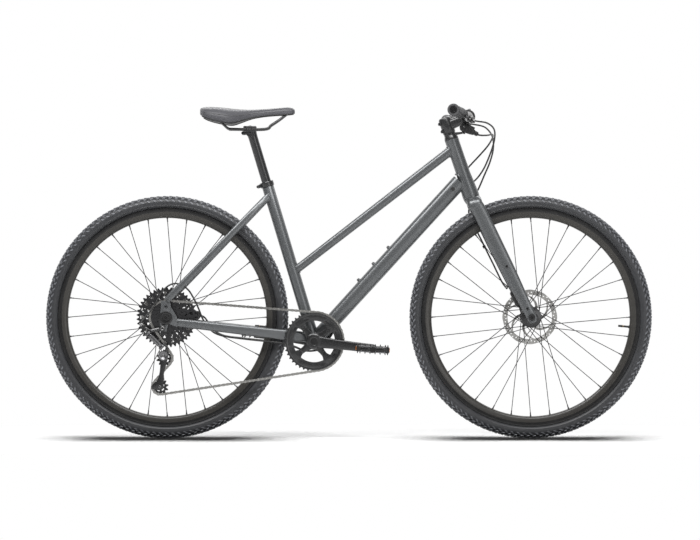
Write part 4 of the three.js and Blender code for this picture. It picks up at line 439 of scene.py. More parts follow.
def refined(node, name, sharp=50, crease=0.85, levels=2, bevel=0.0):
    """A smooth copy of a solid: its flats stay, its hard edges are eased and its rounds become rounder."""
    piece = bpy.data.objects.new(name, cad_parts[node].data.copy())
    bpy.context.scene.collection.objects.link(piece)
    piece.data.materials.clear()
    edit(piece)
    bpy.ops.mesh.select_all(action="SELECT")
    bpy.ops.mesh.remove_doubles(threshold=1e-5)
    bpy.ops.mesh.dissolve_limited(angle_limit=math.radians(2))
    bpy.ops.mesh.tris_convert_to_quads(face_threshold=math.radians(40), shape_threshold=math.radians(60))
    mesh = bmesh.from_edit_mesh(piece.data)
    layer = mesh.edges.layers.float.get("crease_edge") or mesh.edges.layers.float.new("crease_edge")
    for edge in mesh.edges:
        if len(edge.link_faces) == 2 and edge.calc_face_angle(0) > math.radians(sharp):
            edge[layer] = crease
    bmesh.update_edit_mesh(piece.data)
    bpy.ops.object.mode_set(mode="OBJECT")
    if bevel:
        modify(piece, "BEVEL", width=bevel, segments=2, limit_method="ANGLE",
               angle_limit=math.radians(sharp), use_clamp_overlap=True)
    if levels:
        smoothed(piece, levels)
    return piece


def finish(piece, material, body, nodes=(), angle=38):
    """Shades a piece, gives it its material and sets it on its body, in place of the nodes."""
    select_only(piece)
    bpy.ops.object.shade_smooth_by_angle(angle=math.radians(angle))
    if material:
        piece.data.materials.clear()
        piece.data.materials.append(bpy.data.materials[material])
    if body:
        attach(piece, body)
    if nodes:
        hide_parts(*nodes)
    return piece


def paint(piece, material):
    """Gives a part of a piece its material before the parts are joined."""
    piece.data.materials.clear()
    piece.data.materials.append(bpy.data.materials[material])
    return piece


# Finishes: shared effects are node groups, and each finish keeps its own shader
def new_group(name, inputs, outputs):
    """A shader node group with named number and vector sockets."""
    tree = bpy.data.node_groups.new(name, "ShaderNodeTree")
    for label, kind, value in inputs:
        socket = tree.interface.new_socket(label, in_out="INPUT", socket_type=kind)
        if value is not None:
            socket.default_value = value
    for label, kind in outputs:
        tree.interface.new_socket(label, in_out="OUTPUT", socket_type=kind)
    return tree, tree.nodes.new("NodeGroupInput"), tree.nodes.new("NodeGroupOutput")


def node(tree, kind, links=None, **values):
    """A node with its settings; links maps an input's name or number to a socket or a value."""
    made = tree.nodes.new(kind)
    for key, value in values.items():
        setattr(made, key, value)
    for key, value in (links or {}).items():
        if isinstance(value, bpy.types.NodeSocket):
            tree.links.new(value, made.inputs[key])
        else:
            made.inputs[key].default_value = value
    return made


def math_node(tree, operation, first, second=0.0, clamp=False):
    """One sum or comparison, as a socket."""
    return node(tree, "ShaderNodeMath", {0: first, 1: second}, operation=operation,
        use_clamp=clamp).outputs[0]


def grain_group():
    """Fine and coarse grain for bump and roughness."""
    tree, start, end = new_group(
        "Grain", [("Vector", "NodeSocketVector", None), ("Scale", "NodeSocketFloat", 900.0),
                  ("Mottle scale", "NodeSocketFloat", 14.0)],
        [("Height", "NodeSocketFloat"), ("Mottle", "NodeSocketFloat")])
    fine = node(tree, "ShaderNodeTexNoise", {
        "Vector": start.outputs["Vector"], "Scale": start.outputs["Scale"], "Detail": 3.0, "Roughness": 0.6})
    coarse = node(tree, "ShaderNodeTexNoise", {
        "Vector": start.outputs["Vector"], "Scale": start.outputs["Mottle scale"], "Detail": 5.0,
        "Roughness": 0.62, "Distortion": 0.4})
    spread = node(tree, "ShaderNodeMapRange", {
        "Value": coarse.outputs["Fac"], "From Min": 0.32, "From Max": 0.68, "To Min": 0.0, "To Max": 1.0})
    tree.links.new(fine.outputs["Fac"], end.inputs["Height"])
    tree.links.new(spread.outputs["Result"], end.inputs["Mottle"])


def edge_wear_group():
    """Where outer edges are rubbed, broken up by noise."""
    tree, start, end = new_group(
        "Edge wear", [("Vector", "NodeSocketVector", None), ("Amount", "NodeSocketFloat", 0.5)],
        [("Mask", "NodeSocketFloat")])
    bend = node(tree, "ShaderNodeNewGeometry")
    edges = node(tree, "ShaderNodeMapRange", {"Value": bend.outputs["Pointiness"], "From Min": 0.56,
        "From Max": 0.66, "To Min": 0.0, "To Max": 1.0})
    patches = node(tree, "ShaderNodeTexNoise", {
        "Vector": start.outputs["Vector"], "Scale": 160.0, "Detail": 6.0, "Roughness": 0.7})
    broken = node(tree, "ShaderNodeMapRange", {
        "Value": patches.outputs["Fac"], "From Min": 0.45, "From Max": 0.65, "To Min": 0.0, "To Max": 1.0})
    worn = math_node(tree, "MULTIPLY", edges.outputs["Result"], broken.outputs["Result"])
    tree.links.new(math_node(tree, "MULTIPLY", worn, start.outputs["Amount"], True), end.inputs["Mask"])


def dust_group():
    """Thin dust that lies on surfaces that face up."""
    tree, start, end = new_group(
        "Dust", [("Vector", "NodeSocketVector", None), ("Amount", "NodeSocketFloat", 0.2)],
        [("Mask", "NodeSocketFloat")])
    surface = node(tree, "ShaderNodeNewGeometry")
    parts = node(tree, "ShaderNodeSeparateXYZ", {"Vector": surface.outputs["Normal"]})
    upward = node(tree, "ShaderNodeMapRange", {
        "Value": parts.outputs["Z"], "From Min": -0.2, "From Max": 1.0, "To Min": 0.15, "To Max": 1.0})
    cloud = node(tree, "ShaderNodeTexNoise", {
        "Vector": start.outputs["Vector"], "Scale": 40.0, "Detail": 8.0, "Roughness": 0.7})
    drift = node(tree, "ShaderNodeMapRange", {
        "Value": cloud.outputs["Fac"], "From Min": 0.35, "From Max": 0.75, "To Min": 0.0, "To Max": 1.0})
    film = math_node(tree, "MULTIPLY", upward.outputs["Result"], drift.outputs["Result"])
    tree.links.new(math_node(tree, "MULTIPLY", film, start.outputs["Amount"], True), end.inputs["Mask"])


def turned_lines_group():
    """Fine circular marks left by turning, about an axle that runs along Y."""
    tree, start, end = new_group(
        "Turned lines", [("Vector", "NodeSocketVector", None), ("Scale", "NodeSocketFloat", 900.0)],
        [("Height", "NodeSocketFloat")])
    parts = node(tree, "ShaderNodeSeparateXYZ", {"Vector": start.outputs["Vector"]})
    flat = node(tree, "ShaderNodeCombineXYZ", {"X": parts.outputs["X"], "Y": 0.0, "Z": parts.outputs["Z"]})
    radius = node(tree, "ShaderNodeVectorMath", {0: flat.outputs[0]}, operation="LENGTH")
    lines = node(tree, "ShaderNodeTexNoise", {
        "W": radius.outputs["Value"], "Scale": start.outputs["Scale"], "Detail": 2.0}, noise_dimensions="1D")
    tree.links.new(lines.outputs["Fac"], end.inputs["Height"])


def leather_group():
    """Pebbled grain of the saddle's cover."""
    tree, start, end = new_group(
        "Cover grain", [("Vector", "NodeSocketVector", None), ("Scale", "NodeSocketFloat", 700.0)],
        [("Height", "NodeSocketFloat")])
    cells = node(tree, "ShaderNodeTexVoronoi", {
        "Vector": start.outputs["Vector"], "Scale": start.outputs["Scale"]}, feature="DISTANCE_TO_EDGE")
    pebbles = node(tree, "ShaderNodeMapRange", {
        "Value": cells.outputs["Distance"], "From Min": 0.0, "From Max": 0.25, "To Min": 0.0, "To Max": 1.0})
    tree.links.new(pebbles.outputs["Result"], end.inputs["Height"])


def grip_group():
    """Diamond knurl for the grips, wound round the bar."""
    tree, start, end = new_group(
        "Grip knurl", [("Vector", "NodeSocketVector", None), ("Scale", "NodeSocketFloat", 520.0)],
        [("Height", "NodeSocketFloat")])
    parts = node(tree, "ShaderNodeSeparateXYZ", {"Vector": start.outputs["Vector"]})
    first = math_node(tree, "ADD", parts.outputs["Y"], parts.outputs["Z"])
    second = math_node(tree, "SUBTRACT", parts.outputs["Y"], parts.outputs["Z"])
    waves = [
        math_node(tree, "SINE", math_node(tree, "MULTIPLY", value, math_node(
            tree, "MULTIPLY", start.outputs["Scale"], 3.4)))
        for value in (first, second)]
    tree.links.new(math_node(tree, "MAXIMUM", waves[0], waves[1]), end.inputs["Height"])


def use_group(tree, name, links):
    """Places a shared effect in a finish."""
    placed = tree.nodes.new("ShaderNodeGroup")
    placed.node_tree = bpy.data.node_groups[name]
    for key, value in links.items():
        if isinstance(value, bpy.types.NodeSocket):
            tree.links.new(value, placed.inputs[key])
        else:
            placed.inputs[key].default_value = value
    return placed


def tinted(colour, factor):
    """The colour made lighter or darker, with full alpha."""
    return tuple(min(part * factor, 1.0) for part in colour[:3]) + (1.0,)


def blend_colours(tree, mask, low, high):
    """A mix of two colours by a mask, as a socket."""
    mixed = tree.nodes.new("ShaderNodeMix")
    mixed.data_type = "RGBA"
    for socket, value in ((mixed.inputs[0], mask), (mixed.inputs[6], low), (mixed.inputs[7], high)):
        if isinstance(value, bpy.types.NodeSocket):
            tree.links.new(value, socket)
        else:
            socket.default_value = value
    return mixed.outputs[2]


def make_finish(name, colour, roughness, metallic=0.0, coat=0.0, grain=(900.0, 0.02), mottle=0.1,
                wear=(0.0, (0.3, 0.3, 0.3)), dust=0.06, pattern=None, centre=None, sheen=0.0, specular=0.5):
    """One finish: grain, mottling, rubbed edges, dust and its own pattern on one shader."""
    material = bpy.data.materials.new(name)
    material.use_nodes = True
    tree = material.node_tree
    shader = tree.nodes["Principled BSDF"]
    shader.inputs["Metallic"].default_value = metallic
    shader.inputs["Coat Weight"].default_value = coat
    shader.inputs["Coat Roughness"].default_value = 0.22
    shader.inputs["Sheen Weight"].default_value = sheen
    shader.inputs["Specular IOR Level"].default_value = specular
    place = tree.nodes.new("ShaderNodeTexCoord").outputs["Object"]
    if centre is not None:
        place = node(tree, "ShaderNodeVectorMath", {0: place, 1: tuple(-part for part in centre)},
                     operation="ADD").outputs[0]
    marks = use_group(tree, "Grain", {"Vector": place, "Scale": grain[0]})
    rubbed = use_group(tree, "Edge wear", {"Vector": place, "Amount": wear[0]})
    film = use_group(tree, "Dust", {"Vector": place, "Amount": dust})
    base = blend_colours(
        tree, marks.outputs["Mottle"], tinted(colour, 1 - mottle), tinted(colour, 1 + mottle))
    height, depth = marks.outputs["Height"], grain[1]
    if pattern:
        laid = use_group(tree, pattern[0], {"Vector": place, "Scale": pattern[1]})
        height = math_node(tree, "ADD", height, math_node(tree, "MULTIPLY", laid.outputs["Height"],
            pattern[2]))
    base = blend_colours(tree, rubbed.outputs["Mask"], base, tuple(wear[1]) + (1.0,))
    base = blend_colours(tree, film.outputs["Mask"], base, (0.32, 0.30, 0.27, 1.0))
    tree.links.new(base, shader.inputs["Base Color"])
    rough = node(tree, "ShaderNodeMapRange", {
        "Value": marks.outputs["Mottle"], "From Min": 0.0, "From Max": 1.0,
        "To Min": max(roughness - 0.4 * mottle, 0.03), "To Max": min(roughness + 0.6 * mottle, 1.0)})
    rough = math_node(tree, "ADD", rough.outputs["Result"],
                      math_node(tree, "MULTIPLY", film.outputs["Mask"], 0.4), True)
    tree.links.new(rough, shader.inputs["Roughness"])
    bump = node(tree, "ShaderNodeBump", {"Height": height, "Strength": 1.0, "Distance": depth * MM})
    tree.links.new(bump.outputs["Normal"], shader.inputs["Normal"])
    return material


class BICYCLE_OT_finishes(bpy.types.Operator):
    """Make the finishes: paint, black parts, steel, rubber, plastic and saddle cover"""

    bl_idname = "bicycle.finishes"
    bl_label = "Finishes"

    def execute(self, context):
        colours = context.scene.bicycle_colours
        for make in (grain_group, edge_wear_group, dust_group, turned_lines_group, leather_group, grip_group):
            make()
        bright = (0.42, 0.42, 0.42)
        make_finish("frame paint", colours.paint, 0.32, 0.5, coat=0.4, grain=(2600.0, 0.0), mottle=0.02,
                    wear=(0.0, bright), dust=0.0)
        make_finish("satin black", colours.black, 0.26, 0.0, coat=0.4, specular=0.45, grain=(2200.0, 0.003),
            mottle=0.05, wear=(0.05, (0.12, 0.12, 0.12)), dust=0.02)
        make_finish("rim black", (0.034, 0.032, 0.029), 0.3, 0.0, coat=0.15, specular=0.3, grain=(1800.0,
            0.003), mottle=0.05, wear=(0.04, (0.12, 0.12, 0.12)), dust=0.02)
        make_finish("black alloy", (0.016, 0.0162, 0.017), 0.26, 0.3, coat=0.45, specular=0.5, grain=(2400.0,
            0.01), mottle=0.05, wear=(0.06, bright), dust=0.015)
        make_finish("grey alloy", (0.16, 0.16, 0.165), 0.26, 0.9, grain=(2400.0, 0.01), mottle=0.04,
                    wear=(0.08, bright), dust=0.02)
        make_finish("dark steel", (0.075, 0.075, 0.078), 0.24, 1.0, grain=(1800.0, 0.01), mottle=0.05,
                    wear=(0.06, bright), dust=0.01, pattern=("Turned lines", 1600.0, 1.0), centre=REAR_AXLE)
        make_finish("chain steel", (0.36, 0.355, 0.34), 0.26, 1.0, grain=(1500.0, 0.01), mottle=0.08,
                    wear=(0.1, (0.6, 0.6, 0.58)), dust=0.03)
        make_finish("bolt steel", (0.22, 0.22, 0.22), 0.26, 0.95, grain=(1500.0, 0.01), mottle=0.05,
                    wear=(0.08, bright), dust=0.02)
        for side, axle in (("front", FRONT_AXLE), ("rear", REAR_AXLE)):
            make_finish(f"{side} rotor steel", (0.46, 0.455, 0.44), 0.3, 1.0, grain=(1200.0, 0.01),
                        pattern=("Turned lines", 2200.0, 1.6), centre=axle, dust=0.05)
        make_finish("spoke black", (0.012, 0.012, 0.0125), 0.5, 0.0, specular=0.2, grain=(1500.0, 0.005),
            mottle=0.03, wear=(0.0, bright), dust=0.0)
        # Painted highlight: the tread blocks take the tyre's rubber made 4.4 times lighter, standing for
        # light caught on the knobs.
        make_finish("tread rubber", tinted(colours.tyre, 4.4)[:3], 0.45, grain=(1300.0, 0.06), mottle=0.06,
                    wear=(0.3, (0.12, 0.12, 0.12)), dust=0.05, specular=0.35)
        make_finish("tyre rubber", colours.tyre, 0.4, specular=0.4, grain=(1300.0, 0.06), mottle=0.08,
                    wear=(0.35, (0.09, 0.09, 0.09)), dust=0.05)
        make_finish("hose rubber", (0.012, 0.012, 0.0125), 0.42, coat=0.15, grain=(1400.0, 0.03))
        make_finish("grip rubber", (0.045, 0.045, 0.047), 0.6, grain=(1500.0, 0.06), mottle=0.08,
                    pattern=("Grip knurl", 520.0, 2.5), dust=0.03)
        make_finish("black plastic", (0.015, 0.015, 0.0155), 0.4, specular=0.35, grain=(2800.0, 0.04),
            mottle=0.06, wear=(0.08, (0.07, 0.07, 0.07)), dust=0.02)
        # Near-black gloss: for real black parts, and also as painted shade in sockets, recesses, pedal
        # windows and the rim's outer band.
        make_finish("gloss black", (0.006, 0.006, 0.0065), 0.18, specular=0.3, coat=0.4, grain=(900.0, 0.01))
        make_finish("saddle cover", colours.saddle, 0.42, specular=0.4, grain=(1500.0, 0.02), mottle=0.05,
                    pattern=("Cover grain", 1500.0, 1.2), dust=0.01, sheen=0.1)
        make_finish("saddle panel", (0.022, 0.022, 0.024), 0.4, specular=0.4, grain=(1500.0, 0.02),
            mottle=0.05, pattern=("Cover grain", 1900.0, 1.0), dust=0.01)
        make_finish("stitching", (0.09, 0.09, 0.095), 0.7, grain=(2500.0, 0.1))
        make_finish("amber reflector", (0.75, 0.23, 0.02), 0.16, coat=0.6, grain=(700.0, 0.1),
                    pattern=("Grip knurl", 700.0, 2.0))
        make_finish("brass", (0.5, 0.34, 0.12), 0.3, 1.0, grain=(1400.0, 0.02))
        return {"FINISHED"}


# Wheels
RIM_BED = 288 * MM
SPOKES = 32


def round_axle(axle, angle, radius, y):
    """A place at an angle about an axle, at a radius and a distance to the left."""
    return axle + Vector((radius * math.sin(angle), y, radius * math.cos(angle)))


def tread_place(axle, angle, tilt, lift, crown):
    """A matrix on the tread: X along the tread, Y across it and Z out of it."""
    waist = crown - 22.2 * MM
    out = Vector((math.cos(tilt) * math.sin(angle), math.sin(tilt), math.cos(tilt) * math.cos(angle)))
    along = Vector((math.cos(angle), 0, -math.sin(angle)))
    radius = waist + (18.9 * MM + lift) * math.cos(tilt)
    place = round_axle(axle, angle, radius, (20.1 * MM + lift) * math.sin(tilt))
    turn = Matrix((along, out.cross(along), out)).transposed()
    return Matrix.Translation(place) @ turn.to_4x4()


def knob(name, length, width, height, slant):
    """A tread block: a cube drawn in at the top and sheared to a slant."""
    piece = block(name, Vector((0, 0, 0)), (length * MM, width * MM, height * MM), 0, taper=0.82)
    for vert in piece.data.vertices:
        vert.co.x += vert.co.y * slant
    return piece


def make_tyre(side, axle, sizes):
    """Casing with its beads, and the blocks of the tread."""
    crown = sizes.crown_radius
    half = [(317.2, 11.2), (318.6, 13.4), (321.0, 16.6), (325.5, 19.2), (331.0, 20.1), (336.5, 19.5),
            (341.5, 17.3), (345.6, 13.6), (348.4, 8.8), (349.6, 4.4)]
    inner = [(345.0, 0.0), (343.0, 9.0), (331.0, 16.5), (320.0, 11.0), (312.0, 8.0), (311.6, 10.6)]
    lift = crown - 353 * MM
    outline = [(r, y) for r, y in half] + [(349.9, 0.0)] + [(r, -y) for r, y in reversed(half)]
    outline += [(r, -y) for r, y in reversed(inner[1:])] + inner
    casing = turned(
        f"{side}_casing", [(r * MM + lift, y * MM) for r, y in outline], axle, LEFT, sizes.round_steps,
        closed=True)
    step = TURN / sizes.tread_pitches
    height = sizes.knob_height
    rows = [
        ("centre", 8.6, 5.6, 0.0, [0.0], 0.5),
        ("flank", 8.6, 5.4, 0.45, [0.37, -0.37], 0.0),
        ("shoulder", 7.6, 6.4, -0.9, [0.78, -0.78], 0.5),
        ("edge", 7.0, 7.4, 1.1, [1.16, -1.16], 0.0),
    ]
    parts = [paint(casing, "tyre rubber")]
    for row, length, width, slant, tilts, offset in rows:
        depth = height * 1.5
        for tilt in tilts:
            pattern = knob(f"{side}_{row}", length, width, depth / MM, slant * math.copysign(1, tilt))
            rise = height * 0.5 if row == "edge" else min(height, 3.3 * MM)
            places = [
                tread_place(axle, (i + offset) * step, tilt, rise - depth / 2 + 0.1 * MM, crown)
                for i in range(sizes.tread_pitches)]
            # The blocks take the lighter tread rubber: a painted highlight on the knobs.
            parts.append(paint(copies(f"{side}_{row}_row", pattern, places), "tread rubber"))
    ridge = 325.0
    for y in (-1, 1):
        line = [(ridge - 0.7, 19.0), (ridge, 19.7), (ridge + 0.7, 19.4), (ridge + 0.2, 18.6)]
        ring = turned(f"{side}_line", [(r * MM, y * w * MM) for r, w in line], axle, LEFT, sizes.round_steps,
            closed=True)
        parts.append(paint(ring, "tyre rubber"))
    tyre = joined(f"{side}_tyre_dressed", *parts)
    finish(tyre, None, f"{side}_wheel", [f"{side}_tyre"], angle=32)


class BICYCLE_OT_tyres(bpy.types.Operator):
    """Make both tyres with their tread"""

    bl_idname = "bicycle.tyres"
    bl_label = "Tyres"

    def execute(self, context):
        sizes = context.scene.wheel_sizes
        make_tyre("front", FRONT_AXLE, sizes)
        make_tyre("rear", REAR_AXLE, sizes)
        return {"FINISHED"}


def make_rim(side, axle, sizes):
    """Box-section rim with hooked edges, and its valve."""
    half = [(313.4, 11.6), (315.6, 11.7), (316.8, 12.3), (317.0, 13.2), (316.4, 13.9), (314.5, 14.0),
            (306.0, 13.3), (299.5, 12.3), (294.6, 11.0), (291.0, 9.0), (288.9, 6.2), (288.1, 3.0)]
    inner = [(291.0, 4.2), (296.5, 6.0), (302.6, 8.4), (308.5, 10.4), (311.6, 11.2)]
    outline = half + [(288.0, 0.0)] + [(r, -y) for r, y in reversed(half)]
    outline += [(r, -y) for r, y in reversed(inner)] + inner
    rim = turned(f"{side}_rim_dressed", [(r * MM, y * MM) for r, y in outline], axle, LEFT,
                 sizes.round_steps, closed=True)
    paint(rim, "rim black")
    rim.data.materials.append(bpy.data.materials["gloss black"])
    # Painted shade: faces more than 305 mm out, the band where the tyre meets the rim, take near-black gloss,
    # darker than the rest of the rim.
    for face in rim.data.polygons:
        out = face.center - axle
        face.material_index = 1 if math.hypot(out.x, out.z) > 305 * MM else 0
    finish(rim, None, f"{side}_wheel", [f"{side}_rim"], angle=40)
    angle = TURN / 4 + TURN / SPOKES / 2
    inward = round_axle(Vector((0, 0, 0)), angle, -1, 0)
    foot = round_axle(axle, angle, RIM_BED + 1 * MM, 0)
    parts = [paint(rod("stem", foot, foot + inward * 19 * MM, 3.1 * MM, 20, bevel=0.3 * MM), "hose rubber"),
        paint(rod("collar", foot, foot + inward * 3 * MM, 4.6 * MM, 20, bevel=0.5 * MM), "hose rubber"),
        paint(rod("thread", foot + inward * 19 * MM, foot + inward * 24 * MM, 2.3 * MM, 16, bevel=0.2 * MM),
        "brass"), paint(rod("cap", foot + inward * 20 * MM, foot + inward * 33 * MM, 3.6 * MM, 12,
        end_radius=3.0 * MM, bevel=0.5 * MM), "black plastic")]
    finish(joined(f"{side}_valve", *parts), None, f"{side}_wheel")


class BICYCLE_OT_rims(bpy.types.Operator):
    """Make both rims with their valves"""

    bl_idname = "bicycle.rims"
    bl_label = "Rims"

    def execute(self, context):
        for side, axle in (("front", FRONT_AXLE), ("rear", REAR_AXLE)):
            make_rim(side, axle, context.scene.wheel_sizes)
        return {"FINISHED"}


def make_hub(side, axle, right, left, half_width, rotor_face, radius):
    """Hub shell with flanges, spokes laced three-cross, nipples and spoke heads."""
    lay = 3 * 2 * TURN / SPOKES
    spokes, nipples, heads = [], [], []
    for i in range(SPOKES):
        is_left = i % 2 == 1
        leading = 1 if (i // 2) % 2 == 1 else -1
        rim_angle = i * TURN / SPOKES
        hub_y = (left if is_left else right) * MM + leading * 2.4 * MM
        start = round_axle(axle, rim_angle - leading * lay, 26 * MM, hub_y)
        end = round_axle(axle, rim_angle, RIM_BED - 0.5 * MM, (2.2 if is_left else -2.2) * MM)
        way = (end - start).normalized()
        turn = Vector((0, 0, 1)).rotation_difference(way).to_matrix().to_4x4()
        spokes.append(Matrix.Translation(start) @ turn @ Matrix.Diagonal((1, 1, (end - start).length, 1)))
        nipples.append(Matrix.Translation(end - way * 11 * MM) @ turn)
        outward = Vector((0, 1 if (left if is_left else right) > 0 else -1, 0)) * leading
        head = Vector((0, 0, 1)).rotation_difference(outward).to_matrix().to_4x4()
        heads.append(Matrix.Translation(start + outward * -0.4 * MM) @ head)
    origin, top = Vector((0, 0, 0)), Vector((0, 0, 1))
    spoke = rod("spoke", origin, top, radius, 8)
    nipple = turned("nipple", in_mm([(1.5, 0), (1.75, 0.4), (1.75, 7.5), (2.5, 9), (2.5, 11.6), (1.6, 12.4)]),
        origin, top, 8)
    head = turned("head", in_mm([(1.2, -1), (1.9, 0), (1.9, 0.7), (1.0, 1.3)]), origin, top, 10)
    lacing = joined(
        f"{side}_spokes", paint(copies("laced", spoke, spokes), "spoke black"),
        paint(copies("nipple_set", nipple, nipples), "black alloy"),
        paint(copies("head_set", head, heads), "bolt steel"))
    finish(lacing, None, f"{side}_wheel")
    profile = [(7.0, -half_width), (9.2, -half_width), (9.4, -half_width + 1), (9.4, right - 11),
               (13.0, right - 8), (24.0, right - 6.0), (29.0, right - 5.4), (30.0, right - 4.4),
               (30.0, right + 4.4), (29.0, right + 5.4), (22.0, right + 6.4), (15.0, right + 9.5),
               (13.6, right + 14), (13.4, (right + left) / 2), (13.6, left - 14), (15.0, left - 9.5),
               (22.0, left - 6.4), (29.0, left - 5.4), (30.0, left - 4.4), (30.0, left + 4.4),
               (29.0, left + 5.4), (24.0, left + 6.0), (21.4, rotor_face - 3), (21.4, rotor_face),
               (17.4, rotor_face), (9.4, rotor_face + 0.4), (9.4, half_width - 1), (9.2, half_width),
               (7.0, half_width)]
    if side == "rear":
        profile[:5] = [(8.4, right - 8.2), (22.0, right - 8.2), (23.4, right - 7.4)]
    shell = turned(f"{side}_hub_shell", [(r * MM, y * MM) for r, y in profile], axle, LEFT, 56, closed=False)
    finish(shell, "black alloy", f"{side}_wheel", [f"{side}_hub"], angle=30)


class BICYCLE_OT_hubs(bpy.types.Operator):
    """Make both hubs and lace their spokes"""

    bl_idname = "bicycle.hubs"
    bl_label = "Hubs and spokes"

    def execute(self, context):
        radius = context.scene.wheel_sizes.spoke_radius
        make_hub("front", FRONT_AXLE, -34, 23, 49.6, 38.4, radius)
        make_hub("rear", REAR_AXLE, -20, 31, 67.1, 51.0, radius)
        return {"FINISHED"}


def make_rotor(side, axle, y):
    """Disc with a waved and drilled track on swept arms, and its six bolts."""
    outer = [
        (axle.x + r * math.cos(a), axle.z + r * math.sin(a))
        for a, r in ((TURN * i / 144, (79.4 + 0.6 * math.cos(12 * TURN * i / 144)) * MM) for i in range(144))]
    holes = [circle(17 * MM, 32, axle.x, axle.z)]
    arms = 6
    for i in range(arms):
        start = TURN * i / arms
        inner, rim = 29 * MM, 65 * MM
        sweep = TURN / arms * 0.7
        near, far = 8.0 * MM / inner, 8.0 * MM / rim
        low = [start + (TURN / arms - near) * k / 5 for k in range(6)]
        high = [start + sweep + (TURN / arms - far) * k / 9 for k in range(10)]
        points = [(inner, a) for a in low]
        points += [(inner + (rim - inner) * k / 5,
            low[-1] + (high[-1] - low[-1]) * (k / 5) ** 1.3) for k in (1, 2, 3, 4)]
        points += [(rim, a) for a in reversed(high)]
        points += [(inner + (rim - inner) * k / 5, low[0] + (high[0] - low[0]) * (k / 5) ** 1.3) for k in (4,
            3, 2, 1)]
        holes.append([(axle.x + r * math.cos(a), axle.z + r * math.sin(a)) for r, a in points])
        for k in range(8):
            a = start + TURN / arms * (k + 0.5) / 8
            r = (69.6, 73.0, 76.0, 72.0)[k % 4] * MM
            holes.append(circle(1.9 * MM, 10, axle.x + r * math.cos(a), axle.z + r * math.sin(a)))
    disc = plate(f"{side}_disc", [outer] + holes, y - 0.9 * MM, y + 0.9 * MM)
    bolts = []
    for i in range(6):
        place = round_axle(axle, TURN * (i + 0.25) / 6, 22 * MM, y)
        bolts.append(paint(rod("bolt", place, place + LEFT * 2.6 * MM, 3.1 * MM, 12, bevel=0.5 * MM),
            "bolt steel"))
    rotor = joined(f"{side}_rotor_dressed", paint(disc, f"{side} rotor steel"), *bolts)
    finish(rotor, None, f"{side}_wheel", [f"{side}_rotor"], angle=30)


class BICYCLE_OT_rotors(bpy.types.Operator):
    """Make both brake rotors"""

    bl_idname = "bicycle.rotors"
    bl_label = "Brake rotors"

    def execute(self, context):
        make_rotor("front", FRONT_AXLE, 39.6 * MM)
        make_rotor("rear", REAR_AXLE, 52.2 * MM)
        return {"FINISHED"}


# Drive: the chain runs round the sprocket, the chainring and both pulleys
SPROCKETS = [11, 13, 15, 18, 21, 24, 28, 34, 42]
DRIVEN = 5
SPROCKET_STEP = 4.34 * MM
CHAINRING_TEETH = 42
PULLEY_TEETH = 11
CRANK_ANGLE = math.radians(-6.8)
CAGE_PIVOT = mm(-535.7, 0, 242)
GUIDE = mm(-532.7, 0, 235)
CAGE_LENGTH = 84 * MM
LINKS = 118


def pitch_radius(teeth):
    """The radius on which a wheel's chain pins lie."""
    return PITCH / 2 / math.sin(math.pi / teeth)


def tangent_run(first, second):
    """The straight run between two circles of (x, z, radius, sense, teeth)."""
    across, rise = second[0] - first[0], second[1] - first[1]
    lift = math.asin((first[3] * first[2] - second[3] * second[2]) / math.hypot(across, rise))
    normal = math.atan2(rise, across) + math.pi / 2 - lift
    ends = []
    for x, z, radius, sense, _teeth in (first, second):
        angle = normal if sense > 0 else normal + math.pi
        ends.append((angle, x + radius * math.cos(angle), z + radius * math.sin(angle)))
    return ends


def chain_stretches(cage_angle):
    """Arcs and straight runs of the chain in order, each with its length in links."""
    tension = GUIDE + Vector((math.sin(cage_angle), 0, -math.cos(cage_angle))) * CAGE_LENGTH
    circles = [
        (REAR_AXLE.x, REAR_AXLE.z, pitch_radius(SPROCKETS[DRIVEN]), 1, SPROCKETS[DRIVEN]),
        (BRACKET.x, BRACKET.z, pitch_radius(CHAINRING_TEETH), 1, CHAINRING_TEETH),
        (tension.x, tension.z, pitch_radius(PULLEY_TEETH), 1, PULLEY_TEETH),
        (GUIDE.x, GUIDE.z, pitch_radius(PULLEY_TEETH), -1, PULLEY_TEETH)]
    runs = [tangent_run(circles[i], circles[(i + 1) % 4]) for i in range(4)]
    stretches = []
    for i, circle in enumerate(circles):
        arrive, leave = runs[i - 1][1], runs[i][0]
        wrap = (circle[3] * (arrive[0] - leave[0])) % TURN
        stretches.append((circle, arrive[0], wrap * circle[4] / TURN))
        start, end = leave[1:], runs[i][1][1:]
        stretches.append((start, end, math.dist(start, end) / PITCH))
    return stretches


def settled_cage():
    """The cage angle at which the chain is a whole number of links."""
    low, high = math.radians(-45), math.radians(35)
    rising = sum(part[2] for part in chain_stretches(high)) > sum(part[2] for part in chain_stretches(low))
    for _ in range(50):
        middle = (low + high) / 2
        if (sum(part[2] for part in chain_stretches(middle)) > LINKS) == rising:
            high = middle
        else:
            low = middle
    return middle


CAGE_ANGLE = settled_cage()
STRETCHES = chain_stretches(CAGE_ANGLE)
TENSION = GUIDE + Vector((math.sin(CAGE_ANGLE), 0, -math.cos(CAGE_ANGLE))) * CAGE_LENGTH


def chain_pin(link):
    """The place of a pin in the XZ plane."""
    left = link
    for first, second, length in STRETCHES:
        if left <= length:
            if len(first) == 5:
                x, z, radius, sense, teeth = first
                angle = second - sense * left * TURN / teeth
                return Vector((x + radius * math.cos(angle), 0, z + radius * math.sin(angle)))
            share = left / length
            return Vector((first[0] + share * (second[0] - first[0]), 0,
                first[1] + share * (second[1] - first[1])))
        left -= length
    return chain_pin(0)


PINS = [chain_pin(i) for i in range(LINKS)]


def tooth_phase(order):
    """The angle of the first pin that lies on a wheel."""
    before = sum(part[2] for part in STRETCHES[:2 * order])
    circle_x, circle_z = STRETCHES[2 * order][0][:2]
    pin = PINS[math.ceil(before) % LINKS]
    return math.atan2(pin.z - circle_z, pin.x - circle_x)


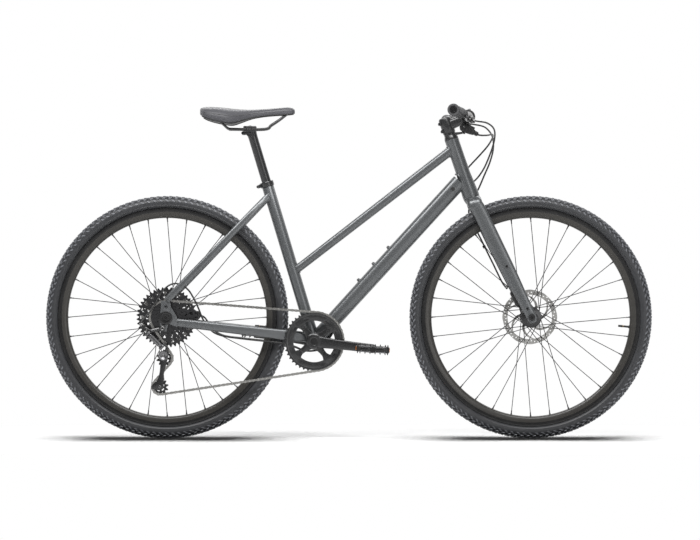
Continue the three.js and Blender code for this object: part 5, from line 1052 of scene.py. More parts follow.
def teeth_outline(teeth, phase, centre, tip=3.1):
    """A toothed edge: round valleys for the rollers and narrow rounded tips."""
    pitch = pitch_radius(teeth)
    points = []
    for i in range(teeth):
        middle = phase + TURN * i / teeth
        half = math.pi / teeth
        for share, reach in ((-0.30, -3.0), (-0.17, -4.35), (0, -4.6), (0.17, -4.35), (0.30, -3.0),
                (0.62, 0.6), (0.86, tip - 0.3), (1.0, tip), (1.14, tip - 0.3), (1.38, 0.6)):
            radius = pitch + reach * MM
            width = 3.9 * MM / pitch / half
            angle = middle + half * (share * width / 0.3 * 0.55 if abs(share) <= 0.3 else share)
            points.append((centre.x + radius * math.cos(angle), centre.z + radius * math.sin(angle)))
    return points


def slot_outline(centre, inner, outer, start, end, steps=5):
    """A window between two radii and two angles, with its corners cut."""
    cut = (end - start) * 0.16
    lift = (outer - inner) * 0.22
    spots = [(inner, start + cut + (end - start - 2 * cut) * i / steps) for i in range(steps + 1)]
    spots += [(inner + lift, end), (outer - lift, end)]
    spots += [(outer, end - cut - (end - start - 2 * cut) * i / steps) for i in range(steps + 1)]
    spots += [(outer - lift, start), (inner + lift, start)]
    return [(centre.x + r * math.cos(a), centre.z + r * math.sin(a)) for r, a in spots]


class BICYCLE_OT_cassette(bpy.types.Operator):
    """Make the nine sprockets with their driver body and lockring"""

    bl_idname = "bicycle.cassette"
    bl_label = "Cassette"

    def execute(self, context):
        outer_face = -CHAIN_LINE - DRIVEN * SPROCKET_STEP
        parts = []
        for i, teeth in enumerate(SPROCKETS):
            phase = tooth_phase(0) if i == DRIVEN else 0.13 * i
            y = outer_face + i * SPROCKET_STEP
            outlines = [teeth_outline(teeth, phase, REAR_AXLE), circle(16.4 * MM, 40, REAR_AXLE.x,
                REAR_AXLE.z)]
            root = pitch_radius(teeth) - 4.6 * MM
            if teeth >= 18:
                windows = max(5, teeth // 3)
                step = TURN / windows
                for k in range(windows):
                    start = step * (k + 0.22) + i
                    outlines.append(slot_outline(
                        REAR_AXLE, 19.5 * MM, min(root - 3.2 * MM, 30 * MM), start, start + step * 0.56))
            if teeth >= 28:
                windows = teeth // 2
                step = TURN / windows
                for k in range(windows):
                    start = step * (k + 0.2)
                    outlines.append(slot_outline(
                        REAR_AXLE, 34 * MM, root - 4 * MM, start, start + step * 0.6, 3))
            parts.append(plate(f"sprocket_{teeth}", outlines, y - 0.9 * MM, y + 0.9 * MM))
        inner_face = outer_face + 8 * SPROCKET_STEP + 0.9 * MM
        profile = [(6.5, outer_face / MM - 0.9), (16.8, outer_face / MM - 0.9)]
        for i in range(8):
            low = outer_face / MM + i * 4.34
            profile += [(16.8, low + 0.9), (15.6, low + 1.1), (15.6, low + 3.2), (16.8, low + 3.44)]
        profile += [(16.8, inner_face / MM), (6.5, inner_face / MM)]
        body = turned("driver", [(r * MM, y * MM) for r, y in profile], REAR_AXLE, LEFT, 36)
        face = outer_face - 2.5 * MM
        ring = [circle(13.4 * MM, 48, REAR_AXLE.x, REAR_AXLE.z), [
            (REAR_AXLE.x + r * MM * math.cos(a), REAR_AXLE.z + r * MM * math.sin(a))
            for k in range(24) for r, a in ((9.6, TURN * k / 24), (9.6, TURN * (k + 0.45) / 24),
                                            (10.8, TURN * (k + 0.5) / 24), (10.8, TURN * (k + 0.95) / 24))]]
        lockring = plate("lockring", ring, face, face + 1.6 * MM, bevel=0.2 * MM)
        cassette = joined("cassette_dressed", *[paint(part, "dark steel") for part in parts],
                          paint(body, "black alloy"), paint(lockring, "bolt steel"))
        finish(cassette, None, "cassette_body", ["cassette"], angle=30)
        return {"FINISHED"}


def link_outline(radius, waist, steps=5):
    """A side plate round two pins, narrower at the middle."""
    points = []
    for side in (1, -1):
        middle = side * PITCH / 2
        for i in range(steps + 1):
            angle = -math.pi / 2 * 0.86 + math.pi * 0.86 * i / steps + (math.pi if side < 0 else 0)
            points.append((middle + radius * math.cos(angle), radius * math.sin(angle)))
        points.append((0, side * waist))
    return points


def chain_stretch(place):
    """The stretch that a link is in: run and feed go with the derailleur's cage, drive stays."""
    if place.z < GUIDE.z + 15 * MM and place.x < BRACKET.x - 5 * MM:
        return "run"
    if place.z < REAR_AXLE.z - 37 * MM and place.x < GUIDE.x + 60 * MM:
        return "feed"
    return "drive"


class BICYCLE_OT_chain(bpy.types.Operator):
    """Make the chain: wide and narrow links, rollers and pins"""

    bl_idname = "bicycle.chain"
    bl_label = "Chain"

    def execute(self, context):
        middle = Vector((0, -CHAIN_LINE, 0))
        stretches = {name: {"wide": [], "narrow": [], "pins": []} for name in ("drive", "run", "feed")}
        for i, pin in enumerate(PINS):
            following = PINS[(i + 1) % LINKS]
            way = (following - pin).normalized()
            turn = Matrix((way, LEFT, way.cross(LEFT))).transposed().to_4x4()
            stretch = stretches[chain_stretch((pin + following) / 2)]
            stretch["narrow" if i % 2 else "wide"].append(
                Matrix.Translation((pin + following) / 2 + middle) @ turn)
            stretch["pins"].append(Matrix.Translation(pin + middle) @ turn)
        origin = Vector((0, 0, 0))
        pieces = {}
        for name, places in stretches.items():
            parts = []
            for kind, inside, outside, waist in (("wide", 2.2, 3.0, 2.7), ("narrow", 1.35, 2.1, 3.0)):
                for side in (1, -1):
                    low, high = sorted((side * inside * MM, side * outside * MM))
                    pattern = plate(f"side_{kind}_{side}", [link_outline(3.95 * MM, waist * MM)], low, high)
                    parts.append(copies(f"plates_{kind}_{side}", pattern, places[kind]))
            roller = turned("roller", in_mm([(3.5, -1.3), (3.86, -1.1), (3.86, 1.1), (3.5, 1.3)]), origin,
                LEFT, 12)
            stud = turned("stud", in_mm([(1.3, -3.35), (1.75, -3.15), (1.75, 3.15), (1.3, 3.35)]), origin,
                LEFT, 10)
            parts += [copies("rollers", roller, places["pins"]), copies("studs", stud, places["pins"])]
            pieces[name] = joined(f"chain_{name}", *parts)
        finish(pieces["drive"], "chain steel", "frame", ["chain"], angle=30)
        for name, start, end in (("run", BRACKET + mm(-10, 0, -83), TENSION + mm(46, 0, -18)),
                                 ("feed", GUIDE + mm(-30, 0, 83), GUIDE + mm(8, 0, 18))):
            finish(pieces[name], "chain steel", None, angle=30)
            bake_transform(pieces[name])
        return {"FINISHED"}


RING_FACE = -CHAIN_LINE - 1 * MM
GUARD_FACE = RING_FACE - 3.6 * MM
ARMS = [CRANK_ANGLE + TURN * (i + 0.5) / 4 for i in range(4)]


def tabbed_circle(centre, radius, reach, half_width, steps=10):
    """A round inner edge with four tabs that point to the middle."""
    points = []
    lead = (half_width + 5 * MM) / radius
    for angle in ARMS:
        span = TURN / 4 - 2 * lead
        for side in (-1, 1):
            for out, across in (((reach + 3 * MM, half_width * 0.95), (reach, half_width * 0.5)) if side < 0
                                else ((reach, half_width * 0.5), (reach + 3 * MM, half_width * 0.95))):
                across = -across if side < 0 else across
                points.append((centre.x + out * math.cos(angle) - across * math.sin(angle),
                               centre.z + out * math.sin(angle) + across * math.cos(angle)))
        for k in range(steps + 1):
            turn = angle + lead + span * k / steps
            points.append((centre.x + radius * math.cos(turn), centre.z + radius * math.sin(turn)))
    return points


class BICYCLE_OT_crankset(bpy.types.Operator):
    """Make the chainring, its guard, the bolts and both crank arms"""

    bl_idname = "bicycle.crankset"
    bl_label = "Crankset"

    def execute(self, context):
        bolt_circle = 52 * MM
        inner = tabbed_circle(BRACKET, 60 * MM, bolt_circle - 7.5 * MM, 7.5 * MM)
        places = [(BRACKET.x + bolt_circle * math.cos(a),
            BRACKET.z + bolt_circle * math.sin(a)) for a in ARMS]
        ring = plate("ring", [teeth_outline(CHAINRING_TEETH, tooth_phase(1), BRACKET), inner],
                     RING_FACE, RING_FACE + 2 * MM)
        finish(ring, "dark steel", "crankset", ["chainring"], angle=30)
        slits = []
        for angle in ARMS:
            for side in (-1, 1):
                start = angle + side * 0.22
                slits.append(slot_outline(BRACKET, 65.5 * MM, 69 * MM, min(start, start + side * 0.18),
                                          max(start, start + side * 0.18)))
        guard = plate("guard", [circle(82.4 * MM, 120, BRACKET.x, BRACKET.z), inner] + slits,
                      GUARD_FACE - 3 * MM, GUARD_FACE, bevel=0.8 * MM)
        rim = turned("guard_rim", [(76.0 * MM, GUARD_FACE - 2.8 * MM), (78.1 * MM, GUARD_FACE - 3.8 * MM),
                                   (82.1 * MM, GUARD_FACE - 3.7 * MM), (83.0 * MM, GUARD_FACE - 2.6 * MM),
                                   (82.8 * MM, GUARD_FACE + 0.2 * MM), (76.0 * MM, GUARD_FACE - 0.6 * MM)],
                     BRACKET, LEFT, 120, closed=True)
        bolts = []
        for x, z in places:
            foot = Vector((x, RING_FACE + 2 * MM, z))
            head = turned("bolt", in_mm([(5, 0), (5, 7.6), (5.6, 7.8), (5.6, 8.9), (5.0, 9.5), (2.9, 9.5),
                (2.7, 7.4)]), foot, -LEFT, 20)
            bolts.append(paint(head, "dark steel"))
        finish(joined("guard_dressed", paint(guard, "satin black"), paint(rim, "satin black"), *bolts), None,
               "crankset", ["chain_guard"], angle=32)
        spider = []
        for angle in ARMS:
            along = Vector((math.cos(angle), 0, math.sin(angle)))
            across = Vector((-along.z, 0, along.x))
            tip = [(52 + 8.2 * math.cos(a),
                8.2 * math.sin(a)) for a in (TURN * (k - 3) / 12 for k in range(7))]
            for out, side in [(19.5, -13.5), (27, -10.4), (35, -8.6), (44, -7.8), *tip, (44, 7.8), (35, 8.6),
                    (27, 10.4), (19.5, 13.5)]:
                spot = BRACKET + (along * out + across * side) * MM
                spider.append((spot.x, spot.z))
        star = plate("spider", [spider], GUARD_FACE + 0.3 * MM, GUARD_FACE + 3.3 * MM, bevel=0.7 * MM)
        collar = turned("collar", in_mm([(12, -50), (20.4, -50), (23.6, -47.4), (24, -44.2), (22, -43.4),
            (12, -43.4)]), BRACKET, LEFT, 56, closed=True)
        spindle = rod("spindle", BRACKET - LEFT * 55 * MM, BRACKET + LEFT * 57 * MM, 12 * MM, 32)
        # Painted shade: the recess cup in the boss and the spindle's end within it are near-black gloss, to
        # read as the dark of the hollow.
        recess = turned("recess", in_mm([(10.3, 64.2), (9.7, 64.4), (9.4, 64.0), (9.2, 57.4), (4.4, 57.0),
            (4.2, 55.6)]), BRACKET, -LEFT, 32)
        parts = crank_blade(1) + [paint(part, "black alloy") for part in (star, collar)]
        parts.append(paint(spindle, "gloss black"))
        finish(joined("crank_right", *parts, paint(recess, "gloss black")), None, "crankset",
            ["crank_arm_right"], angle=40)
        cap = turned("cap", in_mm([(10.3, 62.0), (9.4, 63.0), (8.4, 63.2), (4.2, 63.2), (4.0, 61.6)]),
            BRACKET, LEFT, 32)
        finish(joined("crank_left", *crank_blade(-1), paint(cap, "black alloy")), None, "crankset",
               ["crank_arm_left"], angle=40)
        return {"FINISHED"}


def crank_blade(side):
    """The blade, boss, pedal eye and pedal axle of one crank; side is 1 on the right and -1 on the left."""
    way = Vector((math.cos(CRANK_ANGLE), 0, math.sin(CRANK_ANGLE))) * side
    out = -LEFT * side
    tip = BRACKET + way * 170 * MM
    shares = [(0.05, 33.5, 0), (0.12, 33.4, 0.1), (0.35, 29.0, 0.7), (0.65, 26.6, 1), (1, 26, 1)]
    rows = [(BRACKET + way * along * 170 * MM + out * (57 + 12 * step) * MM, 14 * MM, tall * MM)
            for along, tall, step in eased(shares, 6)]
    boss = [(10.3, 47.2), (19.6, 47.2), (20.4, 48.0), (20.6, 62.4), (19.4, 64.4), (17.6, 65.0), (12.0, 65.0),
            (10.8, 64.6), (10.3, 63.8)]
    eye = [(8.8, 62), (12.6, 62), (13, 62.6), (13, 74.6), (12.2, 75.8), (11, 76), (8.8, 76)]
    parts = [paint(shaped_tube("blade", rows, 36, 0.5), "black alloy"),
        paint(turned("boss", [(r * MM, y * MM) for r, y in boss], BRACKET, out, 64, closed=True),
        "black alloy"), paint(turned("eye", [(r * MM, y * MM) for r, y in eye], tip, out, 44, closed=True),
        "black alloy"), paint(rod("pedal_axle", tip + out * 62.4 * MM, tip + out * 160 * MM, 4.5 * MM, 20),
        "bolt steel"), paint(rod("axle_collar", tip + out * 75.6 * MM, tip + out * 79.6 * MM, 7.6 * MM, 6,
        bevel=0.3 * MM), "bolt steel")]
    return parts


def make_pedal(side, sign, centre):
    """Platform body with grip teeth along its edges, end reflectors and a dust cap."""
    tilt = Matrix.Rotation(math.radians(4), 3, "Y")
    body = paint(refined(f"pedal_{side}", f"{side}_platform", sharp=35, crease=0.8), "black plastic")

    def place(x, y, z):
        return centre + tilt @ mm(x, y, z)

    tooth = block("tooth", Vector((0, 0, 0)), (3.2 * MM, 3.6 * MM, 4.2 * MM), 0, taper=0.6)
    spots = []
    for level in (1, -1):
        flip = Matrix.Rotation(0 if level > 0 else math.pi, 4, "X")
        for end in (-1, 1):
            for i in range(11):
                spots.append(Matrix.Translation(place(end * 43.0, (i - 5) * 6.6, level * 11.4))
                             @ tilt.to_4x4() @ flip)
        for side_y in (-40.5, 40.5):
            for i in range(6):
                spots.append(Matrix.Translation(place((i - 2.5) * 14.4, side_y, level * 11.4))
                             @ tilt.to_4x4() @ flip)
    teeth = paint(copies("teeth", tooth, spots), "black plastic")
    axes = tilt.copy()
    parts = [body, teeth]
    for end in (-1, 1):
        lens = block("lens", place(end * 47.4, 0, 0), (2.4 * MM, 54 * MM, 11.5 * MM), 0.7 * MM, axes=axes)
        frame_edge = block("lens_frame", place(end * 45.6, 0, 0), (4.0 * MM, 58 * MM, 14.6 * MM), 1.2 * MM,
            axes=axes)
        parts += [paint(lens, "amber reflector"), paint(frame_edge, "black plastic")]
    for end in (-1, 1):
        for y in (-1, 1):
            # Painted shade: each side window is filled with a gloss-black block that stands for the dark
            # opening.
            window = block("window", place(end * 22, y * 45.2, 0), (26 * MM, 2.6 * MM, 9 * MM), 1.0 * MM,
                axes=axes)
            parts.append(paint(window, "gloss black"))
            for level in (-1, 1):
                bar = block("bar", place(end * 22, y * 46.2, level * 7.4), (30 * MM, 1.6 * MM, 3.0 * MM),
                    0.6 * MM, axes=axes)
                parts.append(paint(bar, "grey alloy"))
    for y in (-17, 17):
        rib = block("rib", place(0, y, 0), (70 * MM, 3.2 * MM, 9 * MM), 0.8 * MM, axes=axes)
        parts.append(paint(rib, "black plastic"))
    cap_out = -1 if sign < 0 else 1
    dust = rod("dust_cap", place(0, cap_out * 45.2, 0), place(0, cap_out * 46.4, 0), 7.4 * MM, 28,
        bevel=0.5 * MM)
    parts.append(paint(dust, "gloss black"))
    collar = rod("bead", place(0, -cap_out * 46.2, 0), place(0, -cap_out * 45, 0), 8.2 * MM, 28,
        bevel=0.4 * MM)
    parts.append(paint(collar, "amber reflector"))
    finish(joined(f"pedal_{side}_dressed", *parts), None, f"{side}_pedal", [f"pedal_{side}"], angle=38)


class BICYCLE_OT_pedals(bpy.types.Operator):
    """Make both platform pedals"""

    bl_idname = "bicycle.pedals"
    bl_label = "Pedals"

    def execute(self, context):
        reach = Vector((math.cos(CRANK_ANGLE), 0, math.sin(CRANK_ANGLE))) * 170 * MM
        make_pedal("right", -1, BRACKET + reach - LEFT * 126 * MM)
        make_pedal("left", 1, BRACKET - reach + LEFT * 126 * MM)
        return {"FINISHED"}


# Frame: tubes with rippled weld beads, stays, dropouts and small fittings
def weld(name, start, way, size, squareness, axis_foot, axis, radius, bead, ripples=52):
    """A softly rippled bead where a tube of this size, running along way, meets a round tube."""
    way = way.normalized()
    side = (LEFT - way * way.y).normalized()
    up = way.cross(side)
    count = 2 * ripples
    path, outs = [], []
    for spot in section(start, side, up, size[0], size[1], count, squareness):
        flat_spot = (spot - axis_foot) - axis * (spot - axis_foot).dot(axis)
        flat_way = way - axis * way.dot(axis)
        a, b = flat_way.dot(flat_way), 2 * flat_way.dot(flat_spot)
        under = b * b - 4 * a * (flat_spot.dot(flat_spot) - radius * radius)
        travel = (-b - math.sqrt(max(under, 0.0))) / (2 * a)
        path.append(spot + way * travel)
        outs.append((spot - start).normalized())
    rings = []
    for i, place in enumerate(path + path[:1]):
        i = i % count
        tangent = (path[(i + 1) % count] - path[i - 1]).normalized()
        out = (outs[i] - tangent * outs[i].dot(tangent)).normalized()
        rise = tangent.cross(out)
        swell = bead * (1.0 + (0.03 if i % 2 else -0.03))
        rings.append(section(place, out, rise, 2 * swell, 2 * swell, 8))
    return paint(skin(name, rings, capped=False), "frame paint")


def socket_bolt(centre, out, radius, height, finish_name="bolt steel"):
    """A round bolt head with a hexagon socket, standing out of a face."""
    head = turned("bolt", [(radius * 0.9, -1 * MM), (radius, 0), (radius, height * 0.75), (radius * 0.86,
        height), (radius * 0.52, height), (radius * 0.48, height * 0.45)], centre, out, 18)
    # Painted shade: the socket's hollow is stood in for by a near-black hexagon standing in the head's
    # recess.
    hollow = rod("socket", centre + out * height * 0.3, centre + out * (height + 0.05 * MM), radius * 0.46, 6)
    return [paint(head, finish_name), paint(hollow, "gloss black")]


DOWN_TOP = on_steerer(449)
DOWN_WAY = (DOWN_TOP - BRACKET).normalized()
DOWN_UP = Vector((-DOWN_WAY.z, 0, DOWN_WAY.x))


def on_down_tube(distance, rise=0.0, left=0.0):
    """A place by its distance along the down tube and its height over the axis, in millimetres."""
    return BRACKET + DOWN_WAY * distance * MM + DOWN_UP * rise * MM + LEFT * left * MM


def head_profile():
    """Head tube: flared foot, slim waist and a collar at each end."""
    return [(17.6, 386.0), (24.0, 386.0), (24.5, 386.6), (24.5, 397), (24.3, 400), (23.8, 407), (22.9, 420),
            (21.8, 436), (21.0, 448), (20.5, 458), (20.4, 475), (20.3, 500), (20.3, 551), (20.5, 552.5),
            (20.5, 562.3), (20.0, 563.0), (17.6, 563.0)]


def on_steer(profile):
    """A profile in millimetres above the steerer's foot, in metres."""
    return [(radius * MM, height * MM) for radius, height in profile]


class BICYCLE_OT_main_frame(bpy.types.Operator):
    """Make the main tubes with their welds, bosses and cable ports"""

    bl_idname = "bicycle.main_frame"
    bl_label = "Main frame"

    def execute(self, context):
        sizes = context.scene.frame_sizes
        width, height, steps = sizes.down_tube_width, sizes.down_tube_height, sizes.tube_steps
        bead = sizes.weld_radius
        length = (DOWN_TOP - BRACKET).length / MM
        down = []
        for share, wide, tall in ((0.02, 1, 0.96), (0.25, 1, 0.98), (0.5, 1, 1), (0.82, 1, 1),
                (0.97, 0.86, 1)):
            down.append((on_down_tube(share * length), width * wide, height * tall))
        low, high = on_seat(210), on_steerer(538)
        top_way = (high - low).normalized()
        middle = (low + high) / 2
        top = [(low, 26 * MM, 24 * MM), (middle, 28 * MM, 26 * MM), (high, 30 * MM, 28 * MM)]
        head = turned("head", on_steer(head_profile()), STEER_FOOT, STEER_UP, 64, closed=True)
        down_tube = cut_back(shaped_tube("down", down, steps, 0.85), on_steerer(360), on_steerer(566),
            20.2 * MM)
        top_tube = cut_back(shaped_tube("top", top, steps, 0.8), on_steerer(480), on_steerer(600), 19 * MM)
        cut_back(top_tube, on_seat(150), on_seat(270), 15.5 * MM)
        shell_ends = (BRACKET - LEFT * 50 * MM, BRACKET + LEFT * 50 * MM)
        cut_back(down_tube, *shell_ends, 19.5 * MM)
        parts = [head, down_tube, top_tube,
            cut_back(turned("seat", in_mm([(13.8, 0), (17.2, 0), (17.2, 477.2), (16.8, 478), (13.8, 478)]),
            BRACKET, SEAT_UP, 40, closed=True), *shell_ends, 19.5 * MM), turned("shell",
            in_mm([(18.4, -36.5), (21.1, -36.5), (21.5, -36.1), (21.5, 36.1), (21.1, 36.5), (18.4, 36.5)]),
            BRACKET, LEFT, 56, closed=True)]
        parts = [paint(part, "frame paint") for part in parts]
        parts += [weld("weld_down_head", on_down_tube(length - 90), DOWN_WAY, (width * 0.87, height), 0.85,
            STEER_FOOT, STEER_UP, 21.9 * MM, bead), weld("weld_top_head", middle, top_way, (30 * MM, 28 * MM),
            0.8, STEER_FOOT, STEER_UP, 20.5 * MM, bead), weld("weld_top_seat", middle, -top_way,
            (26 * MM, 24 * MM), 0.8, BRACKET, SEAT_UP, 17.3 * MM, bead, 44), weld("weld_down_shell",
            on_down_tube(90), -DOWN_WAY, (width, height * 0.96), 0.85, BRACKET, LEFT, 21.4 * MM, bead),
            weld("weld_seat_shell", on_seat(90), -SEAT_UP, (34.4 * MM, 34.4 * MM), 1.0, BRACKET, LEFT,
            21.4 * MM, bead)]
        for i in range(3):
            foot = on_down_tube(218 + 64 * i, 22)
            parts.append(paint(turned("boss", in_mm([(7.6, -1.5), (7.4, 0.8), (5.2, 1.9), (5.0, 4.6),
                (4.6, 5.0)]), foot, DOWN_UP, 28), "frame paint"))
            parts += socket_bolt(on_down_tube(218 + 64 * i, 26.8), DOWN_UP, 4.2 * MM, 2.6 * MM)
        tilt = math.atan2(DOWN_WAY.z, DOWN_WAY.x)
        port = on_down_tube(598)
        for side, long, tall in ((-1, 8.3, 8.0), (1, 18.0, 9.0)):
            for kind, grow, proud, name in (("lip", 1.0, 22.9, "frame paint"), ("plug", 0.72, 23.5,
                    "hose rubber")):
                outline = []
                for i in range(40):
                    along, across = math.cos(TURN * i / 40) * long * grow, math.sin(
                        TURN * i / 40) * tall * grow
                    outline.append((port.x + (along * math.cos(tilt) - across * math.sin(tilt)) * MM,
                                    port.z + (along * math.sin(tilt) + across * math.cos(tilt)) * MM))
                low_y, high_y = sorted((side * 17 * MM, side * (proud - 0.9) * MM))
                parts.append(paint(plate(kind, [outline], low_y, high_y, bevel=0.7 * MM), name))
        guide = on_down_tube(52, -22.5)
        parts.append(paint(block("cable_guide", guide, (46 * MM, 22 * MM, 5 * MM), 1.8 * MM,
                                 axes=facing(DOWN_WAY, DOWN_UP)), "black plastic"))
        finish(joined("main_frame", *parts), None, "frame",
               ["head_tube", "down_tube", "top_tube", "seat_tube", "bottom_bracket_shell"], angle=35)
        collar = paint(refined("seat_collar", "collar", sharp=40, levels=2), "satin black")
        lug = on_seat(476.5) - Vector((SEAT_UP.z, 0, -SEAT_UP.x)) * 28 * MM
        bolt = socket_bolt(lug - LEFT * 8.6 * MM, -LEFT, 4.2 * MM, 4.5 * MM)
        finish(joined("seat_clamp", collar, *bolt), None, "frame", ["seat_collar"])
        return {"FINISHED"}


CHAINSTAY = [(0.02, 0.29, 0.9, 0.82), (0.12, 0.4, 1, 0.82), (0.2, 0.48, 1, 0.76), (0.4, 0.63, 0.96, 1),
             (0.7, 0.84, 0.88, 1), (0.9, 0.965, 0.8, 0.82), (1, 0.985, 0.74, 0.74)]
SEATSTAY = [(0, 0.13), (0.05, 0.2), (0.12, 0.35), (0.22, 0.5), (0.5, 0.74), (0.85, 0.96), (1, 1)]


def stay_rows():
    """Stations of the right chainstay and seatstay: place, width and depth."""
    start, end = BRACKET + mm(0, 0, 9), REAR_AXLE + mm(31, 0, -14.5)
    low = [(start.lerp(end, along) - LEFT * spread * 67.5 * MM, wide * 17 * MM, deep * 30 * MM)
           for along, spread, deep, wide in CHAINSTAY]
    start, end = on_seat(445), REAR_AXLE + mm(2, 0, 49)
    high = [(start.lerp(end, along) - LEFT * spread * 70.5 * MM, 14 * MM, 20 * MM) for along,
        spread in SEATSTAY]
    smooth = []
    for rows in (low, high):
        flat = [(*place, width, height) for place, width, height in rows]
        smooth.append([(Vector(row[:3]), row[3], row[4]) for row in eased(flat, 7)])
    return smooth


def make_stays(side):
    """Chainstay, seatstay and dropout of one side, with their welds and fittings."""
    low, high = stay_rows()
    chainstay = cut_back(shaped_tube("chainstay", low, 28, 0.72), BRACKET - LEFT * 50 * MM,
                         BRACKET + LEFT * 50 * MM, 19.5 * MM)
    seatstay = cut_back(shaped_tube("seatstay", high, 24, 0.8), on_seat(300), on_seat(500), 15.5 * MM)
    parts = [paint(chainstay, "frame paint"), paint(seatstay, "frame paint")]
    way = (low[3][0] - low[12][0]).normalized()
    parts.append(weld("weld_shell", low[12][0], way, (13.5 * MM, 29 * MM), 0.72, BRACKET, LEFT, 21.3 * MM,
                      2.2 * MM, 36))
    way = (high[1][0] - high[14][0]).normalized()
    parts.append(weld("weld_seat", high[10][0], way, (14 * MM, 20 * MM), 0.8, BRACKET, SEAT_UP, 17.1 * MM,
                      2.1 * MM, 32))
    for name, rows, at, size in (("low", low, -2, (13.0, 23.2)), ("high", high, -2, (14.4, 20.4))):
        place = rows[at][0]
        way = (rows[at + 1][0] - rows[at - 1][0]).normalized()
        across = (LEFT - way * way.y).normalized()
        rings = []
        for i in range(65):
            angle = TURN * (i % 64) / 64
            out = across * math.cos(angle) * size[0] / 2 + way.cross(across) * math.sin(angle) * size[1] / 2
            swell = (3.4 + (0.06 if i % 2 else -0.06)) * MM
            rings.append(section(place + out * MM, out.normalized(), way, swell, swell, 6))
        parts.append(paint(skin(f"weld_{name}", rings, capped=False), "frame paint"))
    drop = refined("dropout_right" if side == "right" else "dropout_left", "drop", sharp=40, levels=0,
                   bevel=0.9 * MM)
    eyelet = mm(-528, -74.4, 384)
    rim = turned("eyelet", in_mm([(2.8, -0.6), (6.0, -0.6), (6.1, -0.2), (5.8, 0), (3.1, 0), (2.8, -0.3)]),
        eyelet, -LEFT, 28, closed=True)
    parts.append(paint(rim, "frame paint"))
    if side == "right":
        bolt = mm(-537, -73.4, 322)
        parts.append(paint(rod("hanger_bolt", bolt + LEFT * 7 * MM, bolt - LEFT * 0.2 * MM, 6.5 * MM, 28,
                               bevel=0.5 * MM), "black alloy"))
        hub_end = circle(20 * MM, 40, REAR_AXLE.x - 1 * MM, REAR_AXLE.z - 2 * MM)
        cover = plate("cover", [hub_end, circle(10.4 * MM, 32, REAR_AXLE.x, REAR_AXLE.z)], -75.2 * MM,
            -73.6 * MM, bevel=0.4 * MM)
        parts.append(paint(cover, "black alloy"))
        stays = joined("stays_right", *parts)
    else:
        stays = mirror_copy(joined("stays_pattern", *parts), "stays_left")
        pattern = bpy.data.objects["stays_pattern"]
        bpy.data.objects.remove(pattern)
    piece = joined(f"stays_{side}_dressed", stays, paint(drop, "frame paint"))
    finish(piece, None, "frame", [f"chainstay_{side}", f"seatstay_{side}", f"dropout_{side}"], angle=35)


def axle_piece(name, axle, face, body, node):
    """Through axle with a chamfered head at each end and a hexagon socket."""
    profile = [(6.0, -face - 0.2), (9.0, -face - 0.3), (9.5, -face - 0.8), (9.5, -face - 3.6),
        (8.9, -face - 4.2), (4.0, -face - 4.2), (3.8, -face - 1.6)]
    parts = [paint(turned("head", [(r * MM, y * MM) for r, y in profile], axle, LEFT, 36), "black alloy"),
        paint(turned("far_head", [(r * MM, -y * MM) for r, y in profile], axle, LEFT, 36), "black alloy"),
        paint(rod("shaft", axle - LEFT * face * MM, axle + LEFT * face * MM, 6 * MM, 20), "black alloy")]
    # Painted shade: a near-black hexagon in each head's recess stands for the dark of the hexagon socket.
    for side in (-1, 1):
        start = axle + LEFT * side * (face + 1.2) * MM
        parts.append(paint(rod("socket", start, start + LEFT * side * 1.4 * MM, 3.6 * MM, 6), "gloss black"))
    finish(joined(name, *parts), None, body, [node], angle=35)


class BICYCLE_OT_stays(bpy.types.Operator):
    """Make the stays, the dropouts and the rear axle"""

    bl_idname = "bicycle.stays"
    bl_label = "Stays and dropouts"

    def execute(self, context):
        make_stays("right")
        make_stays("left")
        axle_piece("rear_axle_dressed", REAR_AXLE, 73.7, "frame", "rear_axle")
        return {"FINISHED"}


def leg_stations():
    """The right fork leg: height along it, distance out, depth and thickness in millimetres."""
    top = on_steerer(368.4) + STEER_FORWARD * 4 * MM
    down = FRONT_AXLE - top
    shares = [(0.07, 0.0, 1, 1), (0.3, 0.18, 1, 1), (0.62, 0.56, 0.93, 0.88), (0.86, 0.88, 0.76, 0.74),
              (0.96, 0.98, 0.70, 0.69), (1, 1, 0.68, 0.68), (1 + 12 * MM / down.length, 1, 0.56, 0.66),
              (1 + 16.6 * MM / down.length, 1, 0.3, 0.6)]
    return [(top + down * along - LEFT * (36 + spread * 20.96) * MM, 19 * thick, 42 * deep)
            for along, spread, deep, thick in shares]


